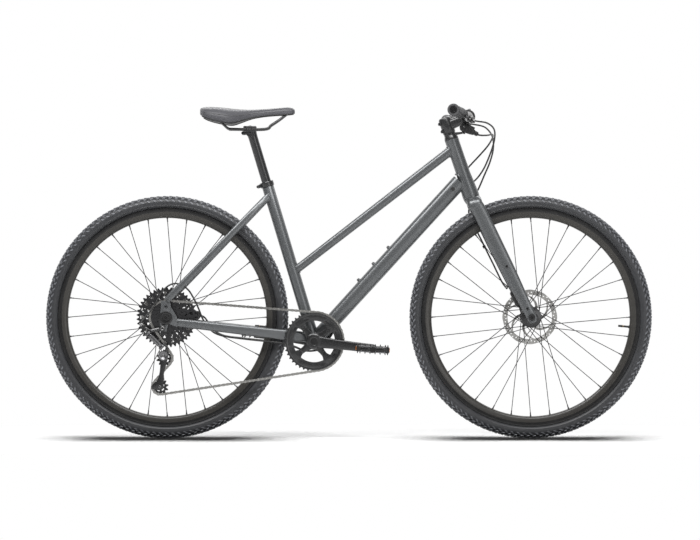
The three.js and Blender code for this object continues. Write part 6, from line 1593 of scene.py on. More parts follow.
class BICYCLE_OT_fork(bpy.types.Operator):
    """Make the fork, its crown and the front axle"""

    bl_idname = "bicycle.fork"
    bl_label = "Fork"

    def execute(self, context):
        crown = [(0, 377.3, 16.4, 42), (-12, 377.0, 17.4, 42.5), (-23, 374.6, 20.5, 43), (-31.5, 368.0, 22,
            43), (-35.4, 358.0, 20, 42.6)]
        half = []
        for y, height, width, depth in crown:
            half.append((*(on_steerer(height) + STEER_FORWARD * 3 * MM + LEFT * y * MM), width, depth))
        half += [(*place, width, depth) for place, width, depth in leg_stations()]
        half = eased(half, 5)
        rows = [(Vector(row[:3]), row[3], row[4]) for row in half]
        mirrored = [(Vector((place.x, -place.y, place.z)), width, depth) for place, width, depth in rows]
        rows = list(reversed(mirrored)) + rows[1:]
        ways = headings([row[0] for row in rows])
        rings = []
        for (place, width, depth), way in zip(rows, ways):
            side = STEER_FORWARD.cross(way).normalized()
            rings.append(section(place, side, way.cross(side), width * MM, depth * MM, 36, 0.78))
        blades = paint(skin("blades", rings), "frame paint")
        race = turned("race", on_steer([(13.0, 366), (19.0, 368), (21.6, 374), (23.6, 380.5), (24.4, 385.2),
                                        (24.2, 385.7), (17, 385.7), (17, 394), (14.3, 395), (14.3, 400)]),
                      STEER_FOOT, STEER_UP, 56)
        steerer = rod("steerer", on_steerer(396), on_steerer(626), 14.3 * MM, 40)
        parts = [blades, paint(race, "frame paint"), paint(steerer, "black alloy")]
        for side in (-1, 1):
            end = FRONT_AXLE + LEFT * side * 56.9 * MM
            lug = turned("lug", in_mm([(6.3, -6.4), (13.2, -6.4), (13.8, -5.8), (13.8, 5.4), (13.0, 6.4),
                (10.2, 6.6), (9.8, 6.2), (6.3, 6.2)]), end, LEFT * side, 44, closed=True)
            parts.append(paint(lug, "frame paint"))
            top = on_steerer(368.4) + STEER_FORWARD * 4 * MM
            down = FRONT_AXLE - top
            place = top + down * 0.865 + LEFT * side * (36 + 0.885 * 20.96) * MM
            step = [section(place + down.normalized() * z * MM, LEFT * side, STEER_FORWARD,
                (14.2 + grow) * MM, (32.2 + grow) * MM, 36, 0.78) for z, grow in ((-1.6, 0.0), (-1.2, 0.9),
                (1.2, 0.8), (1.6, 0))]
            parts.append(paint(skin("step", step), "frame paint"))
            for share, out in ((0.56, 55.0), (0.925, 62.6)):
                boss = top + down * share
                boss.y = side * out * MM
                ring = turned("boss", in_mm([(5.6, -3), (5.6, 0), (5.0, 0.7), (2.0, 0.8)]), boss, LEFT * side,
                    28)
                parts.append(paint(ring, "frame paint"))
                parts += socket_bolt(boss + LEFT * side * 0.6 * MM, LEFT * side, 4.0 * MM, 0.8 * MM,
                    "gloss black")
        post = mm(463, 44, 436)
        parts += socket_bolt(post + mm(-2, -3, 2), Vector((-0.3, 0.2, 0.9)).normalized(), 3.6 * MM, 3 * MM)
        finish(joined("fork", *parts), None, "steering", ["fork_crown", "fork_leg_right", "fork_leg_left"],
            angle=35)
        axle_piece("front_axle_dressed", FRONT_AXLE, 63.6, "steering", "front_axle")
        return {"FINISHED"}


# Cockpit: headset, stem, bar, grips and controls
STEM_TURN = math.radians(90 - 71.1 + 4)
STEM_WAY = Vector((math.cos(STEM_TURN), 0, math.sin(STEM_TURN)))
STEM_UP = Vector((-math.sin(STEM_TURN), 0, math.cos(STEM_TURN)))
BAR_CENTRE = on_steerer(604.5) + STEM_WAY * 65 * MM


def on_bar(y):
    """A place on the bar's axis, by its distance left of the middle in millimetres."""
    share = max(abs(y) - 85, 0) / 233
    bend = min(max((abs(y) - 28) / 57, 0), 1)
    early = 52 * 28.5 / 233
    return BAR_CENTRE + mm(-(early * bend ** 2 + (52 - early) * share), y, 6 * share)


OUTBOARD = (on_bar(-318) - on_bar(-85)).normalized()
REACH = Vector((math.cos(math.radians(-31)), 0, math.sin(math.radians(-31))))
REACH = (REACH - OUTBOARD * REACH.dot(OUTBOARD)).normalized()
LEVER_UP = OUTBOARD.cross(REACH).normalized()


def on_control(distance, reach=0.0, out=0.0, up=0.0):
    """A place by the right half of the bar, in millimetres from its axis."""
    return on_bar(-distance) + (REACH * reach + OUTBOARD * out + LEVER_UP * up) * MM


def both_sides(parts, name, body_right, body_left, nodes, angle=38):
    """Joins the parts of the right side and mirrors them for the left side."""
    right = joined(f"{name}_right_dressed", *parts)
    left = mirror_copy(right, f"{name}_left_dressed")
    finish(right, None, body_right, [f"{nodes}_right"], angle=angle)
    finish(left, None, body_left, [f"{nodes}_left"], angle=angle)


def half_ring(facing):
    """Half of the bar clamp's ring from the side: behind the bar with -1, before it with 1."""
    ring = []
    for radius, turns in ((16.2, range(-8, 9)), (21.2, range(8, -9, -1))):
        for k in turns:
            angle = k * math.pi / 17
            way = STEM_WAY * facing * math.cos(angle) + STEM_UP * math.sin(angle)
            spot = BAR_CENTRE + way * radius * MM
            ring.append((spot.x + facing * STEM_WAY.x * 0.6 * MM, spot.z + facing * STEM_WAY.z * 0.6 * MM))
    return ring


class BICYCLE_OT_cockpit(bpy.types.Operator):
    """Make the headset cover, spacer, stem, handlebar and grips"""

    bl_idname = "bicycle.cockpit"
    bl_label = "Cockpit"

    def execute(self, context):
        cover = turned("cover", on_steer([(14.8, 556), (17.0, 556), (17.0, 563.3), (20.4, 563.3),
            (20.6, 564.2), (20.5, 566), (19.4, 569.5), (17.8, 574.6), (17.3, 575.9), (17.0, 576.1),
            (14.8, 576.1)]), STEER_FOOT, STEER_UP, 56, closed=True)
        spacer = turned("spacer", on_steer([
            (14.8, 576.2), (16.9, 576.2), (17.3, 576.6), (17.3, 582.3), (16.9, 582.7), (14.8, 582.7)]),
            STEER_FOOT, STEER_UP, 56, closed=True)
        finish(joined("headset", paint(cover, "satin black"), paint(spacer, "black alloy")), None, "steering",
               ["headset_cover"])
        sleeve = turned("sleeve", on_steer([
            (14.6, 583), (18.0, 583), (18.6, 583.8), (18.7, 600), (18.6, 624.6), (18.0, 626), (14.6, 626.2)]),
            STEER_FOOT, STEER_UP, 56, closed=True)
        places = [(0.1, 30, 32), (0.25, 30.4, 31.6), (0.45, 31.4, 30.4), (0.7, 33.2, 29.2),
            (0.86, 34.4, 28.6)]
        rows = [(on_steerer(604.5) + STEM_WAY * along * 65 * MM, width * MM, tall * MM)
                for along, width, tall in eased(places, 5)]
        tube = shaped_tube("stem_tube", rows, 40, 0.7)
        clamp = plate("clamp", [half_ring(-1)], -21 * MM, 21 * MM, bevel=1.2 * MM)
        body = [sleeve, tube, clamp]
        for rise in (-11.5, 11.5):
            ear = on_steerer(604.5 + rise) - STEER_FORWARD * 18.4 * MM
            body.append(rod("ear", ear - LEFT * 14.4 * MM, ear + LEFT * 14.4 * MM, 5.0 * MM, 28,
                bevel=0.8 * MM))
        parts = [paint(part, "satin black") for part in body]
        cap = turned("cap", on_steer([(0.4, 629.9), (9.0, 630.2), (12.5, 630.0), (15.4, 629.0), (17.2, 627.2),
                                      (17.5, 626.3), (16, 626.0)]), STEER_FOOT, STEER_UP, 44)
        parts.append(paint(cap, "black alloy"))
        parts += socket_bolt(on_steerer(629.2), STEER_UP, 4.2 * MM, 1.4 * MM, "black alloy")
        for side in (-1, 1):
            centre = on_steerer(604.5 + side * 11.5) - STEER_FORWARD * 18.8 * MM
            parts += socket_bolt(centre - LEFT * side * 14.6 * MM, -LEFT * side, 3.7 * MM, 0.8 * MM,
                "dark steel")
        finish(joined("stem_dressed", *parts), None, "steering", ["stem"], angle=40)
        face = paint(plate("face", [half_ring(1)], -21 * MM, 21 * MM, bevel=1.2 * MM), "satin black")
        bolts = []
        for y in (-13.5, 13.5):
            for rise in (-16.2, 16.2):
                place = BAR_CENTRE + STEM_WAY * 12.4 * MM + STEM_UP * rise * MM + LEFT * y * MM
                bolts.append(paint(rod("seat", place - STEM_WAY * 9 * MM, place + STEM_WAY * 1.2 * MM,
                    4.9 * MM, 24, bevel=0.5 * MM), "satin black"))
                bolts += socket_bolt(place + STEM_WAY * 1.2 * MM, STEM_WAY, 3.7 * MM, 2.6 * MM, "dark steel")
        finish(joined("faceplate", face, *bolts), None, "steering", ["stem_faceplate"], angle=40)
        spans = [28 + 57 * i / 10 for i in range(11)] + [120, 160, 200, 240, 280, 314.6]
        spans = [-y for y in reversed(spans)] + [0] + spans
        radii = [(15.9 - 4.8 * min(max((abs(y) - 28) / 57, 0), 1) ** 1.2) * MM for y in spans]
        bar = round_tube("bar", [on_bar(y) for y in spans], radii, 36)
        finish(bar, "satin black", "steering", ["handlebar"])
        start, length = on_bar(-190), (on_bar(-318) - on_bar(-190)).length / MM
        profile = [(11.3, 0), (15.4, 0), (16.2, 0.5), (16.4, 1.2), (16.4, 7.4), (16.0, 8.2)]
        collar = turned("collar", [(r * MM, a * MM) for r, a in profile + [(11.3, 8.4)]], start, OUTBOARD, 44)
        profile = [(11.3, 8.6), (15.2, 8.6), (15.5, 9.4)]
        for i in range(6):
            low = 11 + i * 3.1
            profile += [(15.6, low), (15.6, low + 1.7), (14.9, low + 2.1), (14.9, low + 2.7)]
        profile += [(15.5, 31), (15.6, 45), (15.8, 62), (15.8, 84), (15.4, 100)]
        for i in range(4):
            low = 103 + i * 3.1
            profile += [(15.5, low), (15.5, low + 1.7), (14.9, low + 2.1), (14.9, low + 2.7)]
        profile += [(15.6, length - 12), (16.5, length - 6), (17.1, length - 4), (17.2, length - 2.4),
                    (16.8, length - 0.8), (15.8, length - 0.2), (11.8, length - 0.2), (11.4, length - 1.4),
                    (4.0, length - 1.4)]
        rubber = turned("rubber", [(r * MM, a * MM) for r, a in profile], start, OUTBOARD, 56)
        screw = socket_bolt(start + OUTBOARD * 4.2 * MM - REACH * 15.6 * MM, -REACH, 2.4 * MM, 1.4 * MM)
        plug = turned("plug", [(10.6 * MM, (length - 1.6) * MM), (10.6 * MM, (length - 0.9) * MM),
                               (9.8 * MM, (length - 0.3) * MM), (4.2 * MM, (length - 0.1) * MM),
                               (3.6 * MM, (length - 0.9) * MM)], start, OUTBOARD, 40)
        both_sides([paint(collar, "black alloy"), paint(rubber, "grip rubber"), paint(plug, "gloss black"),
            *screw], "grip", "steering", "steering", "grip", angle=30)
        return {"FINISHED"}


POD = on_bar(-150) + mm(14, 0, -43)
POD_ALONG = Vector((math.cos(math.radians(28)), 0, -math.sin(math.radians(28))))
POD_DOWN = Vector((POD_ALONG.z, 0, -POD_ALONG.x))


class BICYCLE_OT_controls(bpy.types.Operator):
    """Make the brake levers with their perches, and the gear shifter with its paddle"""

    bl_idname = "bicycle.controls"
    bl_label = "Controls"

    def execute(self, context):
        perch = paint(refined("brake_perch_right", "perch", sharp=45, crease=0.55), "satin black")
        parts = [perch]
        for out in (2.6, 9.4):
            parts += socket_bolt(on_control(178, -16.2, out, 5), -REACH, 2.3 * MM, 1.6 * MM)
        for inward in (-12, -40):
            parts += socket_bolt(on_control(178, 28, inward, 8.0), LEVER_UP, 2.2 * MM, 1.2 * MM)
        lid = block("lid", on_control(178, 28, -26, 7.4), (44 * MM, 11 * MM, 2.6 * MM), 1.1 * MM,
                    axes=facing(OUTBOARD, LEVER_UP))
        parts.append(paint(lid, "black plastic"))
        boot = turned("boot", in_mm([(6.6, -9), (6.4, -4), (5.2, 0), (4.6, 4), (3.6, 5.4)]), on_control(178,
            28, -56, 0), -OUTBOARD, 28)
        parts.append(paint(boot, "black alloy"))
        both_sides(parts, "perch", "steering", "steering", "brake_perch")
        lever = paint(refined("brake_lever_right", "lever", sharp=60, crease=0.35), "black alloy")
        pivot = on_control(178, 39, 17)
        parts = [lever]
        for side in (-1, 1):
            parts += socket_bolt(pivot + LEVER_UP * side * 5.4 * MM, LEVER_UP * side, 3.2 * MM, 1.6 * MM)
        parts += socket_bolt(pivot + OUTBOARD * 14 * MM - REACH * 2.6 * MM, -REACH, 2.6 * MM, 3 * MM)
        both_sides(parts, "lever", "right_brake_lever", "left_brake_lever", "brake_lever")
        pod = paint(refined("shifter", "pod", sharp=45, crease=0.5), "black plastic")
        axes = facing(POD_ALONG, -POD_DOWN)
        lid = block("pod_lid", POD - POD_DOWN * 11.0 * MM + POD_ALONG * 3 * MM, (28 * MM, 24 * MM, 4.6 * MM),
                    1.8 * MM, axes=axes)
        seam = block("pod_seam", POD, (49.6 * MM, 34.8 * MM, 1.0 * MM), 0.4 * MM, axes=axes)
        nut = turned("adjuster", in_mm([(6.4, 0), (6.6, 1), (6.6, 6.8), (5.6, 8.6), (4.4, 9.8), (3.6, 10.4)]),
            POD + POD_ALONG * 23 * MM, POD_ALONG, 20)
        parts = [pod, paint(lid, "gloss black"), paint(seam, "hose rubber"), paint(nut, "black plastic")]
        parts += socket_bolt(on_control(150, -16.2, 0, 5), -REACH, 2.3 * MM, 1.6 * MM)
        parts += socket_bolt(POD - LEFT * 16.6 * MM + POD_ALONG * -12 * MM, -LEFT, 2.6 * MM, 1 * MM)
        finish(joined("shifter_dressed", *parts), None, "steering", ["shifter"])
        paddle = paint(refined("shift_lever", "paddle_body", sharp=50, crease=0.6), "black plastic")
        pivot = POD - POD_ALONG * 6.25 * MM + POD_DOWN * 16.6 * MM
        parts = [paddle, *socket_bolt(pivot, POD_DOWN, 3.4 * MM, 1.4 * MM)]
        finish(joined("paddle", *parts), None, "shift_paddle", ["shift_lever"])
        return {"FINISHED"}


def calliper_piece(side, axle, centre_y, turn, lean, body, hose_end):
    """Two-piece calliper with its body bolts, fixing bolts, pad fins and hose fitting."""
    centre = axle + Vector((math.cos(turn), 0, math.sin(turn))) * 67 * MM + LEFT * centre_y * MM
    along = Vector((math.cos(lean), 0, math.sin(lean)))
    over = Vector((-along.z, 0, along.x))
    if over.dot(centre - axle) < 0:
        over = -over
    body_piece = paint(refined(f"{side}_calliper", "calliper", sharp=42, crease=0.75), "black alloy")
    parts = [body_piece]
    for share in (-1, 1):
        parts += socket_bolt(centre + along * share * 17 * MM + over * 4 * MM + LEFT * 13 * MM, LEFT,
            3.6 * MM, 2.2 * MM)
    cap = turned("piston_cap", in_mm([(9.0, 0), (9.0, 1.4), (8.2, 2.2), (4, 2.2), (3.8, 1.2)]),
        centre - over * 3.5 * MM + LEFT * 12.9 * MM, LEFT, 32)
    parts.append(paint(cap, "black alloy"))
    fins = []
    for i in range(5):
        fins.append(paint(block("fin",
            centre + along * (i - 2) * 4.2 * MM + over * 14.6 * MM - LEFT * 1.4 * MM, (1.2 * MM, 15 * MM,
            5 * MM), 0.4 * MM, axes=facing(along, over)), "grey alloy"))
    parts += fins
    fitting = centre + along * (hose_end * 25) * MM + LEFT * 4 * MM
    parts.append(paint(rod("fitting", fitting, fitting + along * hose_end * 6 * MM, 4.4 * MM, 6,
        bevel=0.5 * MM), "bolt steel"))
    finish(joined(f"{side}_calliper_dressed", *parts), None, body, [f"{side}_calliper"], angle=38)


class BICYCLE_OT_brakes(bpy.types.Operator):
    """Make both brake callipers"""

    bl_idname = "bicycle.brakes"
    bl_label = "Brake callipers"

    def execute(self, context):
        top = on_steerer(368.4) + STEER_FORWARD * 4 * MM
        lean = math.atan2(FRONT_AXLE.z - top.z, FRONT_AXLE.x - top.x)
        calliper_piece("front", FRONT_AXLE, 41.2, math.radians(124), lean, "steering", -1)
        calliper_piece("rear", REAR_AXLE, 53.8, math.radians(5), math.radians(-5.75), "frame", 1)
        return {"FINISHED"}


# Seat: post, rails and the padded saddle
CLAMP = mm(-286.36, 0, 899)
SADDLE_ROWS = [
    (0, 0.52, 0.6, 0.46), (0.05, 0.83, 0.05, 0.66), (0.15, 0.98, 0, 0.84), (0.26, 1, 0.3, 0.96),
    (0.34, 0.9, 0.62, 1), (0.43, 0.7, 0.9, 0.86), (0.54, 0.46, 1, 0.66), (0.67, 0.32, 0.8, 0.54),
    (0.8, 0.27, 0.45, 0.48), (0.91, 0.245, 0.1, 0.45), (0.97, 0.19, 0.3, 0.42), (1, 0.1, 1.1, 0.38)]
RAIL = [(-0.33, 2.1, 0.66), (-0.29, 2.1, 0.4), (-0.235, 1.5, 0.06), (-0.17, 1.05, 0), (0.15, 1, 0),
        (0.22, 0.92, 0.3), (0.3, 0.7, 0.68), (0.37, 0.45, 1.06), (0.4, 0, 1.2)]


def saddle_outline(row):
    """One ring of the saddle's skin at a row of shares: along, width, dip and depth."""
    along, wide, dip, deep = row
    x = -432 + along * 275
    top = 963.2 - dip * 7.5
    base = 963.5 - deep * 50
    half = wide * 78 * 0.985
    groove = max(0.0, 1 - (abs(along - 0.34) / 0.34) ** 2) * 1.8
    cross = [(0, groove / (top - base), 0), (0.1, groove * 0.8 / (top - base), 0), (0.22, 0.004, 0),
        (0.42, 0.022, 0), (0.62, 0.07, 0), (0.78, 0.17, 0), (0.9, 0.33, 0), (0.975, 0.52, 0), (1.0, 0.72, 0),
        (0.985, 0.9, 0), (0.94, 1, 0), (0.86, 1, 0.05), (0.6, 1, 0.35), (0.3, 1, 0.5), (0, 1, 0.6)]
    spots = []
    for sign, steps in ((1, cross), (-1, cross[1:-1][::-1])):
        for across, down, hollow in steps:
            z = top - down * (top - base) + hollow * 9 * wide
            spots.append(mm(x, sign * across * half, z))
    return spots


class BICYCLE_OT_seat(bpy.types.Operator):
    """Make the seatpost, the rails and the saddle with its panels, seams and base"""

    bl_idname = "bicycle.seat"
    bl_label = "Seat"

    def execute(self, context):
        post = turned("post", in_mm([(11.8, 284), (13.6, 284), (13.6, 618), (14.0, 624), (14.0, 634),
            (11.8, 636)]), BRACKET, SEAT_UP, 48)
        yoke = CLAMP + mm(0, 0, -9.5)
        head = [post, rod("yoke", yoke - LEFT * 22 * MM, yoke + LEFT * 22 * MM, 13.5 * MM, 40,
            bevel=1.2 * MM), block("cradle", CLAMP + mm(-1, 0, -4.6), (38 * MM, 50 * MM, 8 * MM), 2.2 * MM),
            block("lid", CLAMP + mm(-1, 0, 4.9), (38 * MM, 54 * MM, 7.4 * MM), 2.4 * MM),
            rod("barrel", CLAMP + mm(-21, -15, -11.5), CLAMP + mm(-21, 15, -11.5), 5.2 * MM, 24,
            bevel=0.6 * MM), rod("neck", CLAMP + mm(-21, 0, -11.5), yoke, 5.6 * MM, 20)]
        parts = [paint(part, "satin black") for part in head]
        parts += socket_bolt(CLAMP + mm(-1, 0, 8.6), Vector((0, 0, 1)), 4.2 * MM, 2.2 * MM, "dark steel")
        parts += socket_bolt(CLAMP + mm(-21, -15, -11.5), -LEFT, 4.0 * MM, 1.2 * MM, "dark steel")
        parts += socket_bolt(yoke - LEFT * 22 * MM, -LEFT, 5.4 * MM, 1.4 * MM, "dark steel")
        finish(joined("post_dressed", *parts), None, "seat", ["seatpost"])
        half = [(CLAMP + mm(along * 275, -spread * 22, up * 38)) for along, spread, up in RAIL]
        path = half + [Vector((p.x, -p.y, p.z)) for p in reversed(half[:-1])]
        smooth = [Vector(row) for row in eased([tuple(p) for p in path], 6)]
        finish(round_tube("rails", smooth, 3.5 * MM, 18), "black alloy", "seat", ["saddle_rails"])
        rows = eased(SADDLE_ROWS, 3)
        rings = [saddle_outline(row) for row in rows]
        saddle = skin("saddle_skin", rings)
        saddle.data.materials.clear()
        for name in ("saddle cover", "saddle panel", "black plastic"):
            saddle.data.materials.append(bpy.data.materials[name])
        count = len(rings[0])
        for face in saddle.data.polygons:
            spots = []
            for place in (saddle.data.vertices[v].co for v in face.vertices):
                nearest = min(((place - spot).length, i) for ring in rings for i, spot in enumerate(ring))
                spots.append(min(nearest[1], count - nearest[1]))
            face.material_index = 2 if min(spots) >= 10 else (1 if max(spots) <= 4 else 0)
        smoothed(saddle, 2)
        seams = []
        for sign in (-1, 1):
            line = []
            for row in rows[3:-3]:
                ring = saddle_outline(row)
                place = ring[7] if sign > 0 else ring[-7]
                line.append(place.copy())
            seams.append(paint(round_tube("seam", line, 0.75 * MM, 6), "stitching"))
            edge = []
            for row in rows[2:-2]:
                ring = saddle_outline(row)
                place = ring[10] if sign > 0 else ring[-10]
                edge.append(place.copy())
            seams.append(paint(round_tube("edge", edge, 1.5 * MM, 8), "black plastic"))
        piece = joined("saddle_dressed", saddle, *seams)
        finish(piece, None, "seat", ["saddle"], angle=60)
        return {"FINISHED"}


# Rear derailleur
HANGER = mm(-537, 0, 322)
MECH_UPPER = mm(-579, -81, 307)
MECH_LOWER = mm(-540.7, -63, 268)
MECH_PIN = Vector((math.cos(math.radians(44)), 0, math.sin(math.radians(44))))


def pulley_piece(name, centre, phase, body, node):
    """A toothed pulley with windows and its sealed bearing."""
    middle = Vector((centre.x, -CHAIN_LINE, centre.z))
    outlines = [teeth_outline(PULLEY_TEETH, phase, centre, tip=2.9), circle(6.4 * MM, 28, centre.x, centre.z)]
    step = TURN / 5
    for k in range(5):
        outlines.append(slot_outline(centre, 9 * MM, 13.4 * MM, k * step + 0.15, (k + 0.68) * step, 3))
    disc = plate(f"{name}_disc", outlines, -CHAIN_LINE - 1.1 * MM, -CHAIN_LINE + 1.1 * MM)
    hub = turned("bearing", in_mm([(3.1, -3.8), (6.6, -3.8), (6.9, -3.4), (6.9, 3.4), (6.6, 3.8),
        (3.1, 3.8)]), middle, LEFT, 28, closed=True)
    finish(joined(name, paint(disc, "black plastic"), paint(hub, "bolt steel")), None, body, [node], angle=30)


class BICYCLE_OT_derailleur(bpy.types.Operator):
    """Make the rear derailleur: knuckles, link, cage and pulleys"""

    bl_idname = "bicycle.derailleur"
    bl_label = "Rear derailleur"

    def execute(self, context):
        upper = paint(refined("derailleur_knuckle_upper", "upper", sharp=45, crease=0.5), "black alloy")
        cap = Vector((HANGER.x, -90.0 * MM, HANGER.z))
        parts = [upper, paint(turned("ring", in_mm([(8.8, -2), (9.0, -0.6), (8.2, 0.4), (6.4, 0.6)]), cap,
            -LEFT, 36), "black alloy")]
        parts += socket_bolt(cap, -LEFT, 5.8 * MM, 1.4 * MM)
        pin = MECH_UPPER + MECH_PIN * 12.9 * MM
        parts += socket_bolt(pin, MECH_PIN, 3.4 * MM, 1.6 * MM)
        stop = mm(-595, -81, 329)
        along = (stop - (MECH_UPPER + MECH_PIN * 10.8 * MM)).normalized()
        parts.append(paint(turned("adjuster", in_mm([(4.2, -9), (5.0, -8), (5.0, -2), (4.0, 0), (3.2, 0.2)]),
            stop, along, 14), "black plastic"))
        finish(joined("knuckle_upper", *parts), None, "frame", ["derailleur_knuckle_upper"])
        link = paint(refined("derailleur_link", "link", sharp=60, crease=0.35), "grey alloy")
        middle = (MECH_UPPER + MECH_LOWER) / 2
        out = (MECH_LOWER - MECH_UPPER).normalized().cross(MECH_PIN).normalized()
        if out.y > 0:
            out = -out
        way = (MECH_LOWER - MECH_UPPER).normalized()
        plate_cover = block("cover", middle + out * 4.3 * MM, (40 * MM, 12.5 * MM, 2.6 * MM), 1.2 * MM,
                            axes=facing(way, out))
        rib = block("rib", middle + out * 5.6 * MM, (34 * MM, 3 * MM, 1.4 * MM), 0.6 * MM, axes=facing(way,
            out))
        parts = [link, paint(plate_cover, "grey alloy"), paint(rib, "black alloy")]
        for centre in (MECH_UPPER, MECH_LOWER):
            parts += socket_bolt(centre - MECH_PIN * 8.2 * MM, -MECH_PIN, 3.2 * MM, 1.2 * MM)
        finish(joined("link_dressed", *parts), None, "mech_link", ["derailleur_link"])
        lower = paint(refined("derailleur_knuckle_lower", "lower", sharp=45, crease=0.55), "black alloy")
        face = Vector((CAGE_PIVOT.x, -70.9 * MM, CAGE_PIVOT.z))
        cap = turned("cap", in_mm([(14.6, -3), (15.0, -0.6), (14.0, 0.7), (11.2, 1.2), (10.6, 0.5),
            (4.0, 0.7), (3.6, 0)]), face, -LEFT, 40)
        parts = [lower, paint(cap, "grey alloy")]
        parts += socket_bolt(face - LEFT * 0.4 * MM, -LEFT, 3.4 * MM, 1.2 * MM)
        finish(joined("knuckle_lower", *parts), None, "mech_knuckle", ["derailleur_knuckle_lower"])
        down = (TENSION - GUIDE).normalized()
        back = Vector((down.z, 0, -down.x))
        shares = [(-0.16, 0), (-0.1, 0.75), (0.1, 1.05), (0.5, 0.8), (0.8, 1.1), (0.95, 2.15), (1.11, 2.25),
                  (1.13, 0.6), (1.1, -0.6), (0.98, -1), (0.6, -0.5), (0.2, -0.7), (-0.08, -0.8)]
        rounded = eased(shares + shares[:1], 4)[:-1]
        outer = []
        for share, side in rounded:
            spot = GUIDE + down * share * CAGE_LENGTH + back * side * 9.9 * MM
            outer.append((spot.x, spot.z))

        def hole(share, side, radius, count=18):
            spot = GUIDE + down * share * CAGE_LENGTH + back * side * 10 * MM
            return circle(radius * MM, count, spot.x, spot.z)

        parts = []
        for low, high, holes in ((-48.2, -46.2, []),
                                 (-37.8, -35.8, [(0.28, 0.2, 4.6), (0.48, 0.15, 3.8), (0.68, 0.25, 3.4)])):
            outlines = [outer] + [hole(*one) for one in holes]
            parts.append(paint(plate("cage_plate", outlines, low * MM, high * MM, bevel=0.5 * MM),
                "black alloy"))
        for centre in (GUIDE, TENSION):
            foot = Vector((centre.x, 0, centre.z))
            parts.append(paint(rod("bolt", foot - LEFT * 47.5 * MM, foot - LEFT * 36.5 * MM, 2.5 * MM, 16),
                "bolt steel"))
            parts += socket_bolt(foot - LEFT * 48.1 * MM, -LEFT, 3.7 * MM, 1.2 * MM)
            parts += socket_bolt(foot - LEFT * 35.9 * MM, LEFT, 3.4 * MM, 0.7 * MM)
        pivot = Vector((CAGE_PIVOT.x, 0, CAGE_PIVOT.z))
        parts.append(paint(rod("axle", pivot - LEFT * 59 * MM, pivot - LEFT * 47 * MM, 4 * MM, 20),
            "bolt steel"))
        finish(joined("cage_dressed", *parts), None, "mech_cage", ["derailleur_cage"], angle=35)
        pulley_piece("guide_wheel_dressed", GUIDE, tooth_phase(3), "guide_wheel", "guide_pulley")
        pulley_piece("tension_wheel_dressed", TENSION, tooth_phase(2), "tension_wheel", "tension_pulley")
        return {"FINISHED"}


# Hoses and gear housing on their routes
HOSE_START = on_control(178, 28, -56)
PERCH_EXIT = [HOSE_START - OUTBOARD * 0.6 * MM, HOSE_START - OUTBOARD * 7.5 * MM]
STOP = mm(-595, -81, 329)
STOP_ALONG = (STOP - (MECH_UPPER + MECH_PIN * 10.8 * MM)).normalized()
REAR_HOSE = [
    (366, -104, 918), (398, -72, 914), (420, -34, 898), (423, 6, 868), (410, 37, 823), (391, 45, 781),
    (366, 43, 750), (336, 33, 735), (308, 19, 725), (284, 7, 703), (205, 7, 612), (62, 6, 455), (-4, 6, 376),
    (-34, 6, 328), (-58, 6, 290), (-80, 6, 262), (-104, 7, 255), (-130, 12, 256), (-158, 24, 267),
    (-190, 31, 277), (-300, 40, 290), (-372, 42, 301), (-402, 44, 322), (-416, 47, 344), (-424, 49, 353),
    (-433.5, 50, 356)]
HOUSING = [(394, -128, 876), (412, -92, 880), (415, -46, 872), (403, 0, 850), (377, 29, 820), (350, 37, 791),
    (326, 33, 761), (303, 20, 731), (281, 6, 708), (258, -6, 684), (200, -7, 608), (60, -6, 455),
    (-4, -6, 376), (-34, -6, 328), (-58, -6, 290), (-80, -6, 262), (-104, -7, 255), (-130, -12, 256),
    (-158, -24, 267), (-190, -31, 277), (-300, -40, 290), (-368, -41, 300), (-395, -43, 312),
    (-420, -46, 343), (-436, -49, 381), (-450, -50, 410), (-465, -51, 433), (-485, -52, 447),
    (-505, -54, 451), (-528, -57, 440), (-549, -61, 411), (-564, -66, 384), (-584, -73, 358)]
FRONT_HOSE = [
    (368, 104, 918), (400, 80, 908), (420, 62, 880), (422, 56, 845), (412, 54, 805), (395, 54, 765),
    (380, 55, 730), (364, 55, 700), (351, 49, 670), (353, 43, 640), (373, 40, 604), (418, 44, 514),
    (452, 46, 447), (463, 46, 435)]


def even_curve(places, step):
    """Points about a step apart on a centripetal curve through places."""
    ends = [places[0] * 2 - places[1]] + places + [places[-1] * 2 - places[-2]]
    points = []
    for i in range(1, len(ends) - 2):
        p = ends[i - 1:i + 3]
        knots = [0.0]
        for a, b in zip(p, p[1:]):
            knots.append(knots[-1] + max((b - a).length, 1e-6) ** 0.5)
        count = max(2, round((p[2] - p[1]).length / step))
        for k in range(count):
            t = knots[1] + (knots[2] - knots[1]) * k / count
            a = [p[j].lerp(p[j + 1], (t - knots[j]) / (knots[j + 1] - knots[j])) for j in range(3)]
            b = [a[j].lerp(a[j + 1], (t - knots[j]) / (knots[j + 2] - knots[j])) for j in range(2)]
            points.append(b[0].lerp(b[1], (t - knots[1]) / (knots[2] - knots[1])))
    points.append(places[-1])
    return points


def hose(name, places, ends=()):
    """A hose along places, with a fitting at each named end."""
    points = even_curve(places, 7 * MM)
    parts = [paint(round_tube(name, points, 2.5 * MM, 14), "hose rubber")]
    for at, material in ends:
        a, b = (points[0], points[2]) if at == 0 else (points[-1], points[-3])
        way = (b - a).normalized()
        parts.append(paint(turned("ferrule", in_mm([(2.7, 0), (3.3, 0.4), (3.3, 8), (2.9, 9.6), (2.6, 9.8)]),
            a, way, 18), material))
    piece = joined(f"{name}_dressed", *parts)
    return piece


